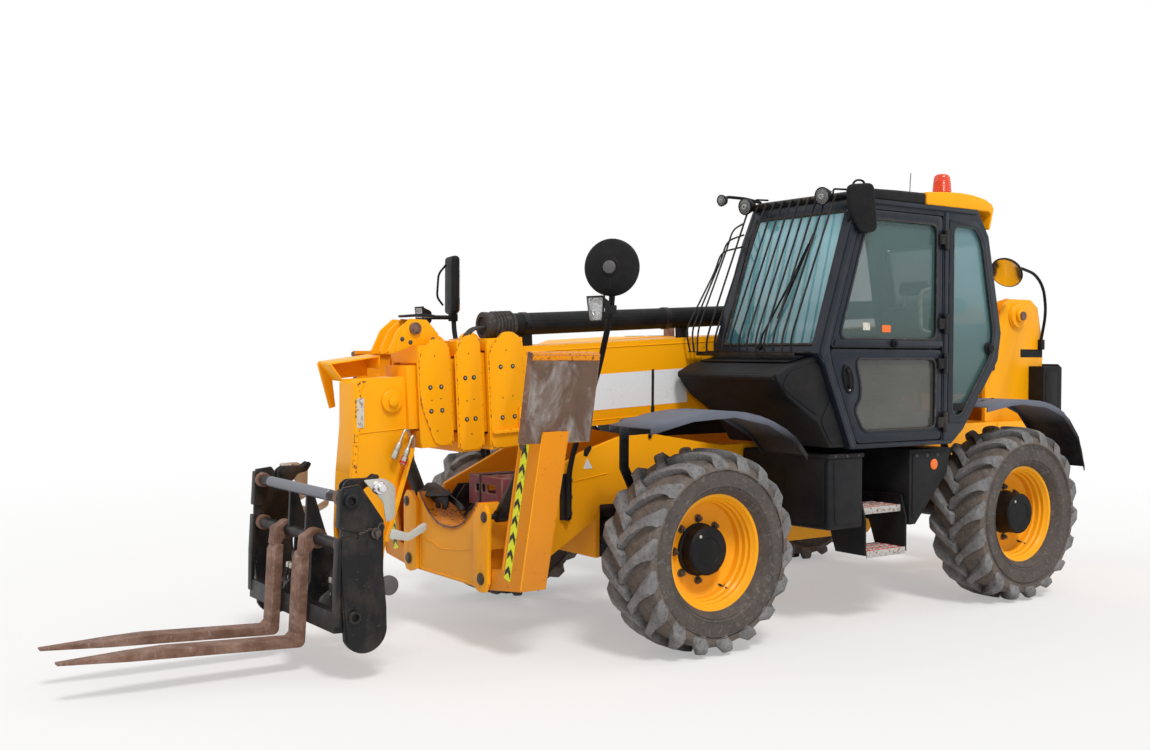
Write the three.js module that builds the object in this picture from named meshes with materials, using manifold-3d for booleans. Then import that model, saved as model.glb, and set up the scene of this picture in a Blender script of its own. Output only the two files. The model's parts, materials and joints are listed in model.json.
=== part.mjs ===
// Telehandler: four-wheel-steer chassis, side cab, side engine pod, four-stage boom with pallet forks.
// Millimetres. +X forward, +Y left, +Z up. Pieces are laid out with x = 0 on the front axle line;
// the whole group is then shifted so the origin sits under the middle of the bounding box.
import * as THREE from 'three';
import { mergeVertices } from 'three/addons/utils/BufferGeometryUtils.js';
import Module from 'manifold-3d';

const wasm = await Module();
wasm.setup();

// ---------- driving dimensions ----------
const seat = 0.3;              // gap between fixed pieces that bear on each other
const runningGap = 0.5;        // gap around a pin, a shaft or a slide pad
const wheelbase = 2750;
const track = 1986;
const tyreWidth = 400;
const frontTyreRadius = 565;
const rearTyreRadius = 585;
const rimSeatRadius = 305.5;
const rimLipRadius = 330;
const rimHalfWidth = 140;
const kingpinY = 720;
const hubDrumRadius = 110;
const plateInnerY = 370;       // chassis side plates
const plateThickness = 30;
const towerInnerY = 262;
const towerThickness = 30;
const cabInnerY = 240;
const cabOuterY = 1150;
const cabWall = 50;
const cabFloorZ = 1090;
const boomSlope = 3;           // degrees, nose down
const boomPivotX = -3850;
const boomPivotZ = 1960;
const boomAxisDrop = 283;      // boom centreline under the pivot
const sectionWall = 12;
const sectionStep = 25;        // each section is this much smaller all round than the one outside
const outerHalfHeight = 250;
const outerHalfWidth = 200;
const boomPinRadius = 50;
const tiltPivotX = 1600;
const tiltPivotZ = 410;
const forkTilt = 3;            // degrees, tips up
const forkLength = 1198;
const forkThickness = 45;
const forkWidth = 120;
const forkSpread = 175;
const forkShaftRadius = 30;
const legPivotY = 420;
const legPivotZ = 420;
const beamFrontX = 1040;

// ---------- materials ----------
function paint(colour, roughness, metalness = 0) {
  return new THREE.MeshStandardMaterial({ color: colour, roughness, metalness });
}
const yellow = () => paint(0xf9a602, 0.45);
const black = () => paint(0x1c1d20, 0.6);
const rubber = () => paint(0x3a3634, 0.9);
const steel = () => paint(0x9a9da0, 0.35, 0.9);
const rust = () => paint(0x6b4f43, 0.8, 0.3);
const glass = () => new THREE.MeshStandardMaterial(
  { color: 0x9fb8b4, roughness: 0.05, transparent: true, opacity: 0.35 },
);
const upholstery = () => paint(0x202124, 0.9);

// ---------- shape helpers ----------
function solid(geometry) {
  const bare = geometry.index ? geometry.clone() : geometry;
  bare.deleteAttribute('normal');
  bare.deleteAttribute('uv');
  const merged = mergeVertices(bare, 1e-3);
  return new wasm.Manifold(new wasm.Mesh({
    numProp: 3,
    vertProperties: new Float32Array(merged.attributes.position.array),
    triVerts: new Uint32Array(merged.index.array),
  }));
}

function geometryOf(body) {
  const mesh = body.getMesh();
  const geometry = new THREE.BufferGeometry();
  geometry.setAttribute('position', new THREE.BufferAttribute(new Float32Array(mesh.vertProperties), 3));
  geometry.setIndex(new THREE.BufferAttribute(new Uint32Array(mesh.triVerts), 1));
  geometry.computeVertexNormals();
  return geometry;
}

function piece(parent, name, body, material) {
  const mesh = new THREE.Mesh(geometryOf(body), material);
  mesh.name = name;
  parent.add(mesh);
  return mesh;
}

function box([x0, x1], [y0, y1], [z0, z1]) {
  const geometry = new THREE.BoxGeometry(x1 - x0, y1 - y0, z1 - z0);
  geometry.translate((x0 + x1) / 2, (y0 + y1) / 2, (z0 + z1) / 2);
  return solid(geometry);
}

function outline(points) {
  return points instanceof THREE.Shape ? points : new THREE.Shape(
    points.map(([a, b]) => new THREE.Vector2(a, b)),
  );
}

const planeMatrices = {
  // outline axes (a, b) and the extrusion axis, as columns
  xz: new THREE.Matrix4().makeBasis(
    new THREE.Vector3(1, 0, 0),
    new THREE.Vector3(0, 0, 1),
    new THREE.Vector3(0, -1, 0),
  ),
  yz: new THREE.Matrix4().makeBasis(
    new THREE.Vector3(0, 1, 0),
    new THREE.Vector3(0, 0, 1),
    new THREE.Vector3(1, 0, 0),
  ),
  xy: new THREE.Matrix4(),
};

// Extrudes an outline drawn in one plane between two places on the third axis.
function plate(plane, points, [from, to], curveSegments = 8) {
  const geometry = new THREE.ExtrudeGeometry(
    outline(points),
    { depth: to - from, bevelEnabled: false, curveSegments },
  );
  geometry.translate(0, 0, plane === 'xz' ? -to : from);
  geometry.applyMatrix4(planeMatrices[plane]);
  return solid(geometry);
}

// Round bar or disc along one axis.
function rod(axis, radius, [from, to], [a, b], sides = 16) {
  const geometry = new THREE.CylinderGeometry(radius, radius, to - from, sides);
  const middle = (from + to) / 2;
  if (axis === 'x') {
    geometry.rotateZ(Math.PI / 2);
    geometry.translate(middle, a, b);
  } else if (axis === 'y') {
    geometry.translate(a, middle, b);
  } else {
    geometry.rotateX(Math.PI / 2);
    geometry.translate(a, b, middle);
  }
  return solid(geometry);
}

// Round bar between two points.
function bar(start, end, radius, sides = 12) {
  const a = new THREE.Vector3(...start);
  const b = new THREE.Vector3(...end);
  const along = b.clone().sub(a);
  const geometry = new THREE.CylinderGeometry(radius, radius, along.length(), sides);
  geometry.applyQuaternion(
    new THREE.Quaternion().setFromUnitVectors(new THREE.Vector3(0, 1, 0), along.normalize()),
  );
  const middle = a.add(b).multiplyScalar(0.5);
  geometry.translate(middle.x, middle.y, middle.z);
  return solid(geometry);
}

// Round tube along a smooth curve through points.
function bentBar(points, radius, steps, sides = 8) {
  const curve = new THREE.CatmullRomCurve3(points.map((p) => new THREE.Vector3(...p)));
  const section = new THREE.Shape();
  section.absarc(0, 0, radius, 0, Math.PI * 2);
  const geometry = new THREE.ExtrudeGeometry(
    section,
    { steps, extrudePath: curve, curveSegments: sides / 2 },
  );
  return solid(geometry);
}

// Turned part about the Y axis from (radius, y) points, moved to (x, z).
function turned(profile, segments) {
  const points = profile.map(([r, y]) => new THREE.Vector2(r, y));
  return solid(new THREE.LatheGeometry(points, segments, Math.PI / segments));
}

function join(...bodies) {
  return bodies.reduce((sum, next) => sum.add(next));
}

function mirrorY(body) {
  return body.mirror([0, 1, 0]);
}

// Outline of a convex polygon moved inwards by a distance.
function inset(points, distance) {
  const area = points.reduce((sum, [x, y], i) => {
    const [nx, ny] = points[(i + 1) % points.length];
    return sum + x * ny - nx * y;
  }, 0);
  const turn = Math.sign(area);
  const lines = points.map(([x, y], i) => {
    const [nx, ny] = points[(i + 1) % points.length];
    const length = Math.hypot(nx - x, ny - y);
    const normal = [(-(ny - y) / length) * turn, ((nx - x) / length) * turn];
    return { point: [x + normal[0] * distance, y + normal[1] * distance], along: [nx - x, ny - y] };
  });
  return lines.map((line, i) => {
    const before = lines[(i + lines.length - 1) % lines.length];
    const cross = before.along[0] * line.along[1] - before.along[1] * line.along[0];
    const dx = line.point[0] - before.point[0];
    const dy = line.point[1] - before.point[1];
    const t = (dx * line.along[1] - dy * line.along[0]) / cross;
    return [before.point[0] + before.along[0] * t, before.point[1] + before.along[1] * t];
  });
}

const radians = (degrees) => THREE.MathUtils.degToRad(degrees);

// ---------- frame groups ----------
const machine = new THREE.Group();
const rearGuardX = -4250;
const forkBackX = 391;
const forkUnderZ = -296;
const forkRise = forkUnderZ * Math.sin(radians(forkTilt));
const forkReach = (forkBackX + forkLength) * Math.cos(radians(forkTilt)) - forkRise;
const forkTipX = tiltPivotX + forkReach;
machine.position.x = -(forkTipX + rearGuardX) / 2;

// ---------- wheels ----------
const sides = [['left', 1], ['right', -1]];
const axles = [
  { end: 'front', x: 0, radius: frontTyreRadius, hubFace: 88 },
  { end: 'rear', x: -wheelbase, radius: rearTyreRadius, hubFace: 132 },
];
const spindleY = 60;           // hub inner face, inboard of the wheel's middle

const wheelSegments = 24;      // a flat facet, not an edge, stands on the ground
function tyreBody(standingRadius) {
  const radius = standingRadius / Math.cos(Math.PI / wheelSegments);
  const half = tyreWidth / 2;
  const bead = rimHalfWidth - 11.5;
  const right = [
    [rimSeatRadius + runningGap, bead],
    [rimLipRadius + 4, bead],
    [radius - 150, half],
    [radius - 50, half - 6],
    [radius, half - 60],
  ];
  const left = right.map(([r, y]) => [r, -y]).reverse();
  return turned([...right, ...left, right[0]].reverse(), wheelSegments);
}

function rimBody(hubFace) {
  const wall = rimSeatRadius - 12;
  const flange = rimHalfWidth - 11;
  return turned([
    [0, -spindleY],
    [100, -spindleY],
    [100, -12],
    [wall, -30],
    [wall, -rimHalfWidth],
    [rimLipRadius, -rimHalfWidth],
    [rimLipRadius, -flange],
    [rimSeatRadius, -flange],
    [rimSeatRadius, flange],
    [rimLipRadius, flange],
    [rimLipRadius, rimHalfWidth],
    [wall, rimHalfWidth],
    [wall, -15],
    [135, 25],
    [135, hubFace],
    [0, hubFace],
  ], wheelSegments);
}

for (const { end, x, radius, hubFace } of axles) {
  for (const [side, sign] of sides) {
    const wheel = new THREE.Group();
    wheel.position.set(x, (sign * track) / 2, radius);
    wheel.rotation.z = sign > 0 ? 0 : Math.PI;
    piece(wheel, `tyre_${end}_${side}`, tyreBody(radius), rubber());
    piece(wheel, `rim_${end}_${side}`, rimBody(hubFace), yellow());
    machine.add(wheel);
  }
}

// ---------- axles, knuckles and fenders ----------
const yokeGap = 118;           // half the height between the yoke arms
const trunnionHalf = 230;

function axleBody(z) {
  let body = join(
    rod('y', 90, [-620, 620], [0, z]),
    rod('x', 60, [-trunnionHalf, trunnionHalf], [0, z], 12),
    rod('y', 165, [-130, 130], [0, z], 16),
  );
  for (const sign of [1, -1]) {
    const inner = box(
      [-60, 60],
      sign > 0 ? [590, 630] : [-630, -590],
      [z - yokeGap - 35, z + yokeGap + 35],
    );
    body = body.add(inner);
    for (const up of [1, -1]) {
      const low = up > 0 ? yokeGap : -yokeGap - 35;
      body = body.add(
        box([-60, 60], sign > 0 ? [600, kingpinY] : [-kingpinY, -600], [z + low, z + low + 35]),
      );
      body = body.add(rod('z', 60, [z + low, z + low + 35], [0, sign * kingpinY], 12));
    }
  }
  return body;
}

const knucklePlateY = 765;
function knuckleBody(z) {
  return join(
    rod('z', 48, [z - yokeGap + runningGap, z + yokeGap - runningGap], [0, kingpinY], 20),
    rod('y', hubDrumRadius, [kingpinY, track / 2 - spindleY - runningGap], [0, z]),
    box([-175, 175], [knucklePlateY, knucklePlateY + 22], [z - 62, z + 62]),
  );
}

// Fender: a bent sheet over the tyre on a flat arm bolted to the knuckle.
function fenderBody(top, z, armX) {
  const thickness = 8;
  const curve = new THREE.CatmullRomCurve3(top.map(([x, y]) => new THREE.Vector3(x, y, 0)));
  const outer = curve.getPoints(11).map((p) => [p.x, p.y]);
  const inner = outer.map(([x, y]) => {
    const length = Math.hypot(x, y - z);
    return [x * (1 - thickness / length), z + (y - z) * (1 - thickness / length)];
  }).reverse();
  const sheet = plate('xz', [...outer, ...inner], [fenderInnerY, fenderOuterY]);
  const heightAt = (x) => {
    const i = outer.findIndex((p) => p[0] < x);
    const [[x0, z0], [x1, z1]] = [outer[i - 1], outer[i]];
    return z0 + ((z1 - z0) * (x - x0)) / (x1 - x0);
  };
  const [armRear, armFront] = [armX - 28, armX + 28];
  const reach = Math.sign(armX);
  const armOutline = [
    [reach * 118, z - 50],
    [reach * 170, z - 50],
    [reach * 172, z + 60],
    [armFront, z + 450],
    [armFront, heightAt(armFront) - 4],
    [armRear, heightAt(armRear) - 4],
    [armRear, z + 460],
    [reach * 118, z + 70],
  ];
  const armOuterY = knucklePlateY + 1;
  const arm = plate('xz', armOutline, [armOuterY - 16, armOuterY]);
  const shelf = plate('xz', [
    [armRear, heightAt(armRear) - 16],
    [armFront, heightAt(armFront) - 16],
    [armFront, heightAt(armFront) - 4],
    [armRear, heightAt(armRear) - 4],
  ], [armOuterY - 16, fenderInnerY + 30]);
  return join(sheet, arm, shelf);
}
const fenderInnerY = 805;
const fenderOuterY = 1172;
const frontFenderTop = [[490, 1262], [200, 1325], [-100, 1340], [-350, 1290], [-560, 1185], [-660, 1080]];
const rearFenderTop = [
  [440, 1318], [180, 1355], [70, 1360], [-200, 1335], [-400, 1265], [-580, 1090],
  [-655, 880],
];

for (const { end, x, radius } of axles) {
  const axleGroup = new THREE.Group();
  axleGroup.position.x = x;
  machine.add(axleGroup);
  piece(axleGroup, `axle_${end}`, axleBody(radius), black());
  const top = end === 'front' ? frontFenderTop : rearFenderTop;
  for (const [side, sign] of sides) {
    const knuckle = join(knuckleBody(radius), fenderBody(top, radius, 350));
    piece(axleGroup, `knuckle_fender_${end}_${side}`, sign > 0 ? knuckle : mirrorY(knuckle), black());
  }
}

// ---------- chassis ----------
const plateOuterY = plateInnerY + plateThickness;
const beamRearX = 850;
const chassisRearX = -4200;
const rearWebX = -wheelbase - 720;    // front face of the cross web behind the rear axle
const sidePlate = [
  [beamRearX - seat, 420],
  [beamRearX - seat, 860],
  [570, 990],
  [380, 1080],
  [110, 1160],
  [-150, 1170],
  [-700, 1080],
  [-1000, cabFloorZ - seat],
  [-wheelbase + 600, cabFloorZ - seat],
  [-wheelbase + 300, 1150],
  [chassisRearX, 1150],
  [chassisRearX, 560],
  [-wheelbase - 700, 500],
  [-wheelbase - 510, 640],
  [-wheelbase - 250, 790],
  [-wheelbase + 250, 790],
  [-wheelbase + 510, 640],
  [-wheelbase + 700, 430],
  [-800, 430],
  [-560, 600],
  [-250, 770],
  [250, 770],
  [290, 680],
  [630, 480],
  [700, 420],
];
function chassisBody() {
  const left = plate('xz', sidePlate, [plateInnerY, plateOuterY]);
  const stowedProp = box([560, 830], [plateInnerY - 95, plateInnerY + 1], [760, 850]);
  let body = join(left, mirrorY(left), stowedProp);
  const across = [-plateInnerY - 1, plateInnerY + 1];
  for (const { x, radius } of axles) {
    for (const end of [1, -1]) {
      const face = x + end * (trunnionHalf + runningGap);
      const span = end > 0 ? [face, face + 30] : [face - 30, face];
      body = body.add(box(span, across, [radius - 110, 800]));
    }
  }
  body = body.add(box([-2050, -850], across, [430, 450]));
  body = body.add(box([-4190, -4160], across, [560, 1150]));
  body = body.add(box([rearWebX - 30, rearWebX], across, [520, 1150]));
  body = body.add(box([-4190, rearWebX], across, [560, 580]));
  const tower = [
    [-3470, 700],
    [-3470, 1500],
    [-3640, 1900],
    [-3700, 2040],
    [-3780, 2090],
    [-4030, 2090],
    [-4120, 2030],
    [-4190, 1750],
    [-4190, 700],
  ];
  const towerSpan = [towerInnerY, towerInnerY + towerThickness];
  const towerPlate = join(
    plate('xz', tower, towerSpan),
    rod('y', 105, [towerInnerY, towerInnerY + towerThickness + 12], [boomPivotX, boomPivotZ], 24),
    box([-3500, -3470], [towerInnerY, plateOuterY], [1000, 1150]),
  ).subtract(rod('y', boomPinRadius + runningGap, [0, 500], [boomPivotX, boomPivotZ], 24));
  body = join(body, towerPlate, mirrorY(towerPlate));
  for (const sign of [1, -1]) {
    const lug = plate(
      'xz',
      [[-1290, 445], [-1110, 445], [-1140, 690], [-1260, 690]],
      sign > 0 ? [100, 125] : [-125, -100],
    );
    body = body.add(
      lug.add(rod('y', 60, sign > 0 ? [100, 125] : [-125, -100], [liftBase[0], liftBase[1]], 24)),
    );
  }
  return body.subtract(rod('y', 32.5, [-130, 130], [liftBase[0], liftBase[1]], 20));
}
const liftBase = [-1200, 650];
const liftEye = [-3100, 1220];
piece(machine, 'chassis_frame', chassisBody(), yellow());

// ---------- front beam with stabiliser lugs ----------
const lugHole = 22.6;
const ramBase = [450, 760];
const ramEye = [800, 1170];
const cutHalf = 330;
function beamBody() {
  const shape = new THREE.Shape();
  shape.moveTo(-395, 360);
  shape.lineTo(395, 360);
  shape.lineTo(395, 560);
  shape.lineTo(365, 820);
  shape.lineTo(cutHalf, 820);
  shape.bezierCurveTo(250, 740, 190, 655, 0, 650);
  shape.bezierCurveTo(-190, 655, -250, 740, -cutHalf, 820);
  shape.lineTo(-365, 820);
  shape.lineTo(-395, 560);
  let body = plate('yz', shape, [beamRearX, beamFrontX], 6);
  const lug = [
    [330, 370], [400, 345], [455, 350], [485, 400], [490, 780], [455, 825], [400, 825],
    [330, 760],
  ];
  for (const span of [[beamFrontX + 5, beamFrontX + 27], [beamRearX, beamRearX + 22]]) {
    body = join(body, plate('yz', lug, span), mirrorY(plate('yz', lug, span)));
  }
  for (const sign of [1, -1]) {
    body = body.add(
      box([beamFrontX - 1, beamFrontX + 6], sign > 0 ? [330, 380] : [-380, -330], [370, 760]),
    );
  }
  const legClear = [[350, 330], [560, 330], [560, 600], [350, 560]];
  for (const sign of [1, -1]) {
    const cut = plate('yz', legClear, [legRearX - 6, beamFrontX + 5]);
    body = body.subtract(sign > 0 ? cut : mirrorY(cut));
    for (const [y, z, r] of [[legPivotY, legPivotZ, lugHole], [ramBase[0], ramBase[1], 16.5]]) {
      body = body.subtract(rod('x', r, [beamRearX - 5, beamFrontX + 40], [sign * y, z], 20));
    }
  }
  const ramClear = [[398, 561], [560, 561], [560, 900], [398, 900]];
  for (const sign of [1, -1]) {
    const cut = plate('yz', ramClear, [beamRearX + 22, beamFrontX + 5]);
    body = body.subtract(sign > 0 ? cut : mirrorY(cut));
  }
  return body;
}
const legRearX = 880;
piece(machine, 'stabiliser_beam', beamBody(), yellow());

// ---------- stabiliser legs, pads and their rams ----------
const legPlate = 16;
const legOutline = [[400, 375], [420, 358], [775, 400], [985, 1250], [770, 1250], [585, 490], [400, 470]];
const padTilt = radians(11);
function legBody() {
  const front = plate('yz', legOutline, [beamFrontX - legPlate, beamFrontX - 1]);
  const rear = plate('yz', legOutline, [legRearX, legRearX + legPlate]);
  const web = plate('yz', [[755, 400], [775, 400], [985, 1250], [965, 1250]], [legRearX, beamFrontX - 1]);
  const sole = plate('yz', [[430, 360], [775, 400], [775, 420], [430, 380]], [legRearX, beamFrontX - 1]);
  const pivotTube = rod('x', 48, [legRearX, beamFrontX - 1], [legPivotY, legPivotZ]);
  const pin = rod('x', lugHole - runningGap, [beamRearX, beamFrontX + 30], [legPivotY, legPivotZ], 20);
  const tongue = plate('yz', [[880, 1230], [975, 1230], [955, 1420], [905, 1420]], [930, 985]);
  return join(front, rear, web, sole, pivotTube, pin, tongue);
}
function padBody() {
  const length = 470;
  const depth = [735, 1150];
  const toPad = ([across, along]) => [
    975 + across * Math.cos(padTilt) + along * Math.sin(padTilt),
    1425 - across * Math.sin(padTilt) + along * Math.cos(padTilt),
  ];
  const half = length / 2;
  const sheet = plate(
    'yz',
    [[0, -half], [28, -half], [28, half], [-30, half], [-30, half - 22], [0, half - 22]].map(toPad),
    depth,
  );
  let body = sheet;
  for (const span of [[900, 931], [984, 1015]]) {
    body = body.add(
      plate('yz', [[1, -110], [1, 90], [-45, 40], [-75, 0], [-75, -40], [-30, -80]].map(toPad), span),
    );
  }
  return body;
}
function ram(
  {
    base, eye, pinAxisLength, pinRadius, eyeWidth, eyeRadius, barrelRadius, rodRadius,
    barrelEnd, rodStart, boreStart,
  },
) {
  // Lies along +X from the base pin; the pins lie along Y.
  const span = Math.hypot(eye[0] - base[0], eye[1] - base[1]);
  const bore = rod('x', rodRadius + runningGap, [boreStart, barrelEnd + 5], [0, 0], 20);
  const barrel = join(
    rod('y', eyeRadius, [-eyeWidth / 2, eyeWidth / 2], [0, 0]),
    rod('y', pinRadius, [-pinAxisLength / 2, pinAxisLength / 2], [0, 0], 20),
    box([0, eyeRadius + 12], [-eyeWidth / 2, eyeWidth / 2], [-eyeRadius * 0.7, eyeRadius * 0.7]),
    rod('x', barrelRadius, [eyeRadius + 4, barrelEnd], [0, 0]),
  ).subtract(bore);
  const piston = join(
    rod('x', rodRadius, [rodStart, span - eyeRadius * 0.6], [0, 0], 20),
    rod('y', eyeRadius, [-eyeWidth / 2, eyeWidth / 2], [span, 0]),
  );
  return { barrel, piston };
}
const stabiliserRam = {
  base: ramBase,
  eye: ramEye,
  pinAxisLength: 190,
  pinRadius: 16,
  eyeWidth: 60,
  eyeRadius: 34,
  barrelRadius: 40,
  rodRadius: 22,
  barrelEnd: 420,
  rodStart: 90,
  boreStart: 70,
};
for (const [side, sign] of sides) {
  const flip = (body) => (sign > 0 ? body : mirrorY(body));
  piece(machine, `stabiliser_leg_${side}`, flip(join(legBody(), padBody())), yellow());
  const { barrel, piston } = ram(stabiliserRam);
  const group = new THREE.Group();
  const slope = Math.atan2(ramEye[1] - ramBase[1], ramEye[0] - ramBase[0]);
  group.position.set((legRearX + beamFrontX) / 2, sign * ramBase[0], ramBase[1]);
  group.rotation.set(sign > 0 ? slope : -slope, 0, sign > 0 ? Math.PI / 2 : -Math.PI / 2, 'XYZ');
  piece(group, `stabiliser_barrel_${side}`, barrel, black());
  piece(group, `stabiliser_rod_${side}`, piston, steel());
  machine.add(group);
}

// ---------- boom ----------
const boom = new THREE.Group();
boom.position.set(boomPivotX, 0, boomPivotZ);
boom.rotation.y = radians(boomSlope);
machine.add(boom);
const axisZ = -boomAxisDrop;
const sections = [0, 1, 2, 3].map((i) => ({
  halfHeight: outerHalfHeight - i * sectionStep,
  halfWidth: outerHalfWidth - i * sectionStep,
}));
const collars = [
  { span: [4530, 4770], halfWidth: 214, low: -607, high: 22 },
  { span: [4820, 4950], halfWidth: 190, low: -607, high: 16 },
  { span: [4990, 5180], halfWidth: 165, low: -565, high: 4 },
];
const sectionRear = [-60, 600, 700, 800];
const noseRearU = 5195;

function tube(i, front) {
  const { halfHeight, halfWidth } = sections[i];
  return box([sectionRear[i], front], [-halfWidth, halfWidth], [axisZ - halfHeight, axisZ + halfHeight]);
}
function hollow(i, front) {
  const { halfHeight, halfWidth } = sections[i];
  const h = halfHeight - sectionWall;
  const w = halfWidth - sectionWall;
  return box([sectionRear[i] - 1, front], [-w, w], [axisZ - h, axisZ + h]);
}
// Slide pads inside the mouth of section i, bearing on section i + 1.
function pads(i) {
  const outer = sections[i];
  const inner = sections[i + 1];
  const [from, to] = [collars[i].span[0] + 40, collars[i].span[1] - 20];
  const w = outer.halfWidth - sectionWall + 1;
  const h = outer.halfHeight - sectionWall + 1;
  const body = [];
  for (const sign of [1, -1]) {
    const ys = [inner.halfWidth + runningGap, w];
    const zs = [inner.halfHeight + runningGap, h];
    body.push(box([from, to], sign > 0 ? ys : [-ys[1], -ys[0]], [axisZ - 90, axisZ + 90]));
    const band = sign > 0 ? [axisZ + zs[0], axisZ + zs[1]] : [axisZ - zs[1], axisZ - zs[0]];
    body.push(box([from, to], [-90, 90], band));
  }
  return join(...body);
}
function sectionBody(i) {
  const collar = collars[i];
  const ring = box(collar.span, [-collar.halfWidth, collar.halfWidth], [collar.low, collar.high]);
  return tube(i, collar.span[1]).add(ring).subtract(hollow(i, collar.span[1] + 1)).add(pads(i));
}

function outerBoomBody() {
  const rearGap = towerInnerY - 8;
  const ear = [
    [-150, 0], [-110, 100], [0, 140], [120, 120], [420, -30], [420, -500], [-60, -533],
    [-150, -400],
  ];
  const earSpan = [outerHalfWidth - 2, outerHalfWidth + 22];
  const left = plate('xz', ear, earSpan).add(rod('y', 120, [outerHalfWidth + 20, rearGap], [0, 0], 24));
  const pin = rod(
    'y',
    boomPinRadius,
    [-towerInnerY - towerThickness - 14, towerInnerY + towerThickness + 14],
    [0, 0],
    24,
  );
  const eyeAt = toBoom(liftEye);
  const lug = plate('xz', [
    [eyeAt[0] - 240, axisZ - outerHalfHeight + 1],
    [eyeAt[0] + 170, axisZ - outerHalfHeight + 1],
    [eyeAt[0] + 80, eyeAt[1] - 70],
    [eyeAt[0] - 120, eyeAt[1] - 70],
  ], [84, 108]);
  return join(sectionBody(0), left, mirrorY(left), pin, lug, mirrorY(lug));
}
// A point on the machine at rest, as (along, above) from the boom pivot.
function toBoom([x, z]) {
  const dx = x - boomPivotX;
  const dz = z - boomPivotZ;
  const c = Math.cos(radians(boomSlope));
  const s = Math.sin(radians(boomSlope));
  return [dx * c - dz * s, dx * s + dz * c];
}

const noseHalfWidth = 95;
const nosePlate = 16;
const tiltTop = [1450, 1385];
const tiltLever = [tiltPivotX - 80, tiltPivotZ - 140];
function noseBody() {
  const sidePoints = [
    [1340, 1520],
    [1645, 1505],
    [1668, 1485],
    [1668, 1250],
    [1690, 1000],
    [1702, 700],
    [1690, 480],
    [1668, 360],
    [1600, 330],
    [1530, 360],
    [1500, 480],
    [1478, 620],
    [1340, 1030],
  ].map(toBoom);
  const noseSide = plate('xz', sidePoints, [noseHalfWidth - nosePlate, noseHalfWidth]);
  const frontStrip = [
    [1645, 1505],
    [1668, 1485],
    [1668, 1250],
    [1690, 1000],
    [1701, 720],
    [1685, 720],
    [1674, 1000],
    [1652, 1250],
    [1652, 1480],
    [1640, 1490],
  ].map(toBoom);
  const topStrip = [[1340, 1520], [1646, 1505], [1646, 1489], [1340, 1504]].map(toBoom);
  const rearStrip = [
    [1340, 1225], [1340, 1030], [1362, 965], [1378, 970], [1356, 1033], [1356, 1225],
  ].map(toBoom);
  const across = [-noseHalfWidth, noseHalfWidth];
  const boss = rod('y', 60, [noseHalfWidth - 1, noseHalfWidth + 18], toBoom(tiltTop), 24);
  let body = join(
    noseSide,
    mirrorY(noseSide),
    plate('xz', frontStrip, across),
    plate('xz', topStrip, across),
  );
  body = join(body, plate('xz', rearStrip, across), boss, mirrorY(boss));
  const mouthU = noseRearU + 40;
  const mouthPlate = box(
    [mouthU - sectionWall, mouthU],
    [-sections[3].halfWidth, sections[3].halfWidth],
    [axisZ - sections[3].halfHeight, axisZ + sections[3].halfHeight],
  );
  const ramRoom = rod('y', 95, [16 - noseHalfWidth, noseHalfWidth - 16], toBoom(tiltTop), 24);
  body = join(tube(3, mouthU).subtract(hollow(3, mouthU + 1)), mouthPlate.subtract(ramRoom), body);
  const bore = rod('y', 30 + runningGap, [-200, 200], toBoom([tiltPivotX, tiltPivotZ]), 20);
  const topBore = rod('y', 26 + runningGap, [-200, 200], toBoom(tiltTop), 20);
  return body.subtract(bore).subtract(topBore);
}
const headRib = [
  [5020, 3], [5180, 3], [5320, -40], [5330, -20], [5270, 90], [5190, 150], [5090, 140],
  [5020, 60],
];
function sectionThreeBody() {
  const rib = plate('xz', headRib, [96, 112]);
  const middle = plate('xz', headRib, [-8, 8]);
  const pin = rod('y', 22, [-125, 125], [5170, 95], 16);
  return join(sectionBody(2), rib, mirrorY(rib), middle, pin);
}
piece(boom, 'boom_outer', outerBoomBody(), yellow());
piece(boom, 'boom_section_2', sectionBody(1), yellow());
piece(boom, 'boom_section_3', sectionThreeBody(), yellow());
piece(boom, 'boom_nose', noseBody(), yellow());

const hoseTubeRadius = 65;
function hoseTubeBody() {
  const height = 95;
  const y = 90;
  let body = rod('x', hoseTubeRadius, [420, 4700], [y, height], 20);
  for (const u of [600, 1900, 3200, 4400]) {
    body = body.add(box([u, u + 60], [y - 30, y + 30], [-boomAxisDrop + outerHalfHeight + seat, height]));
  }
  return body;
}
piece(boom, 'hose_tube', hoseTubeBody(), black());

// ---------- lift ram ----------
const liftRam = {
  base: liftBase,
  eye: liftEye,
  pinAxisLength: 246,
  pinRadius: 32,
  eyeWidth: 120,
  eyeRadius: 55,
  barrelRadius: 78,
  rodRadius: 42,
  barrelEnd: 1800,
  rodStart: 500,
  boreStart: 470,
};
{
  const group = new THREE.Group();
  const { barrel, piston } = ram(liftRam);
  group.position.set(liftBase[0], 0, liftBase[1]);
  group.rotation.y = -Math.atan2(liftEye[1] - liftBase[1], liftEye[0] - liftBase[0]);
  piece(group, 'lift_barrel', barrel, black());
  piece(group, 'lift_rod', piston, steel());
  machine.add(group);
}

// ---------- tilt ram, inside the nose ----------
const tiltRam = {
  base: tiltTop,
  eye: tiltLever,
  pinAxisLength: 2 * noseHalfWidth + 30,
  pinRadius: 26,
  eyeWidth: 80,
  eyeRadius: 42,
  barrelRadius: 55,
  rodRadius: 32,
  barrelEnd: 800,
  rodStart: 380,
  boreStart: 110,
};
{
  const group = new THREE.Group();
  const { barrel, piston } = ram(tiltRam);
  group.position.set(tiltTop[0], 0, tiltTop[1]);
  group.rotation.y = -Math.atan2(tiltLever[1] - tiltTop[1], tiltLever[0] - tiltTop[0]);
  piece(group, 'tilt_barrel', barrel, black());
  piece(group, 'tilt_rod', piston, steel());
  machine.add(group);
}

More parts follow.
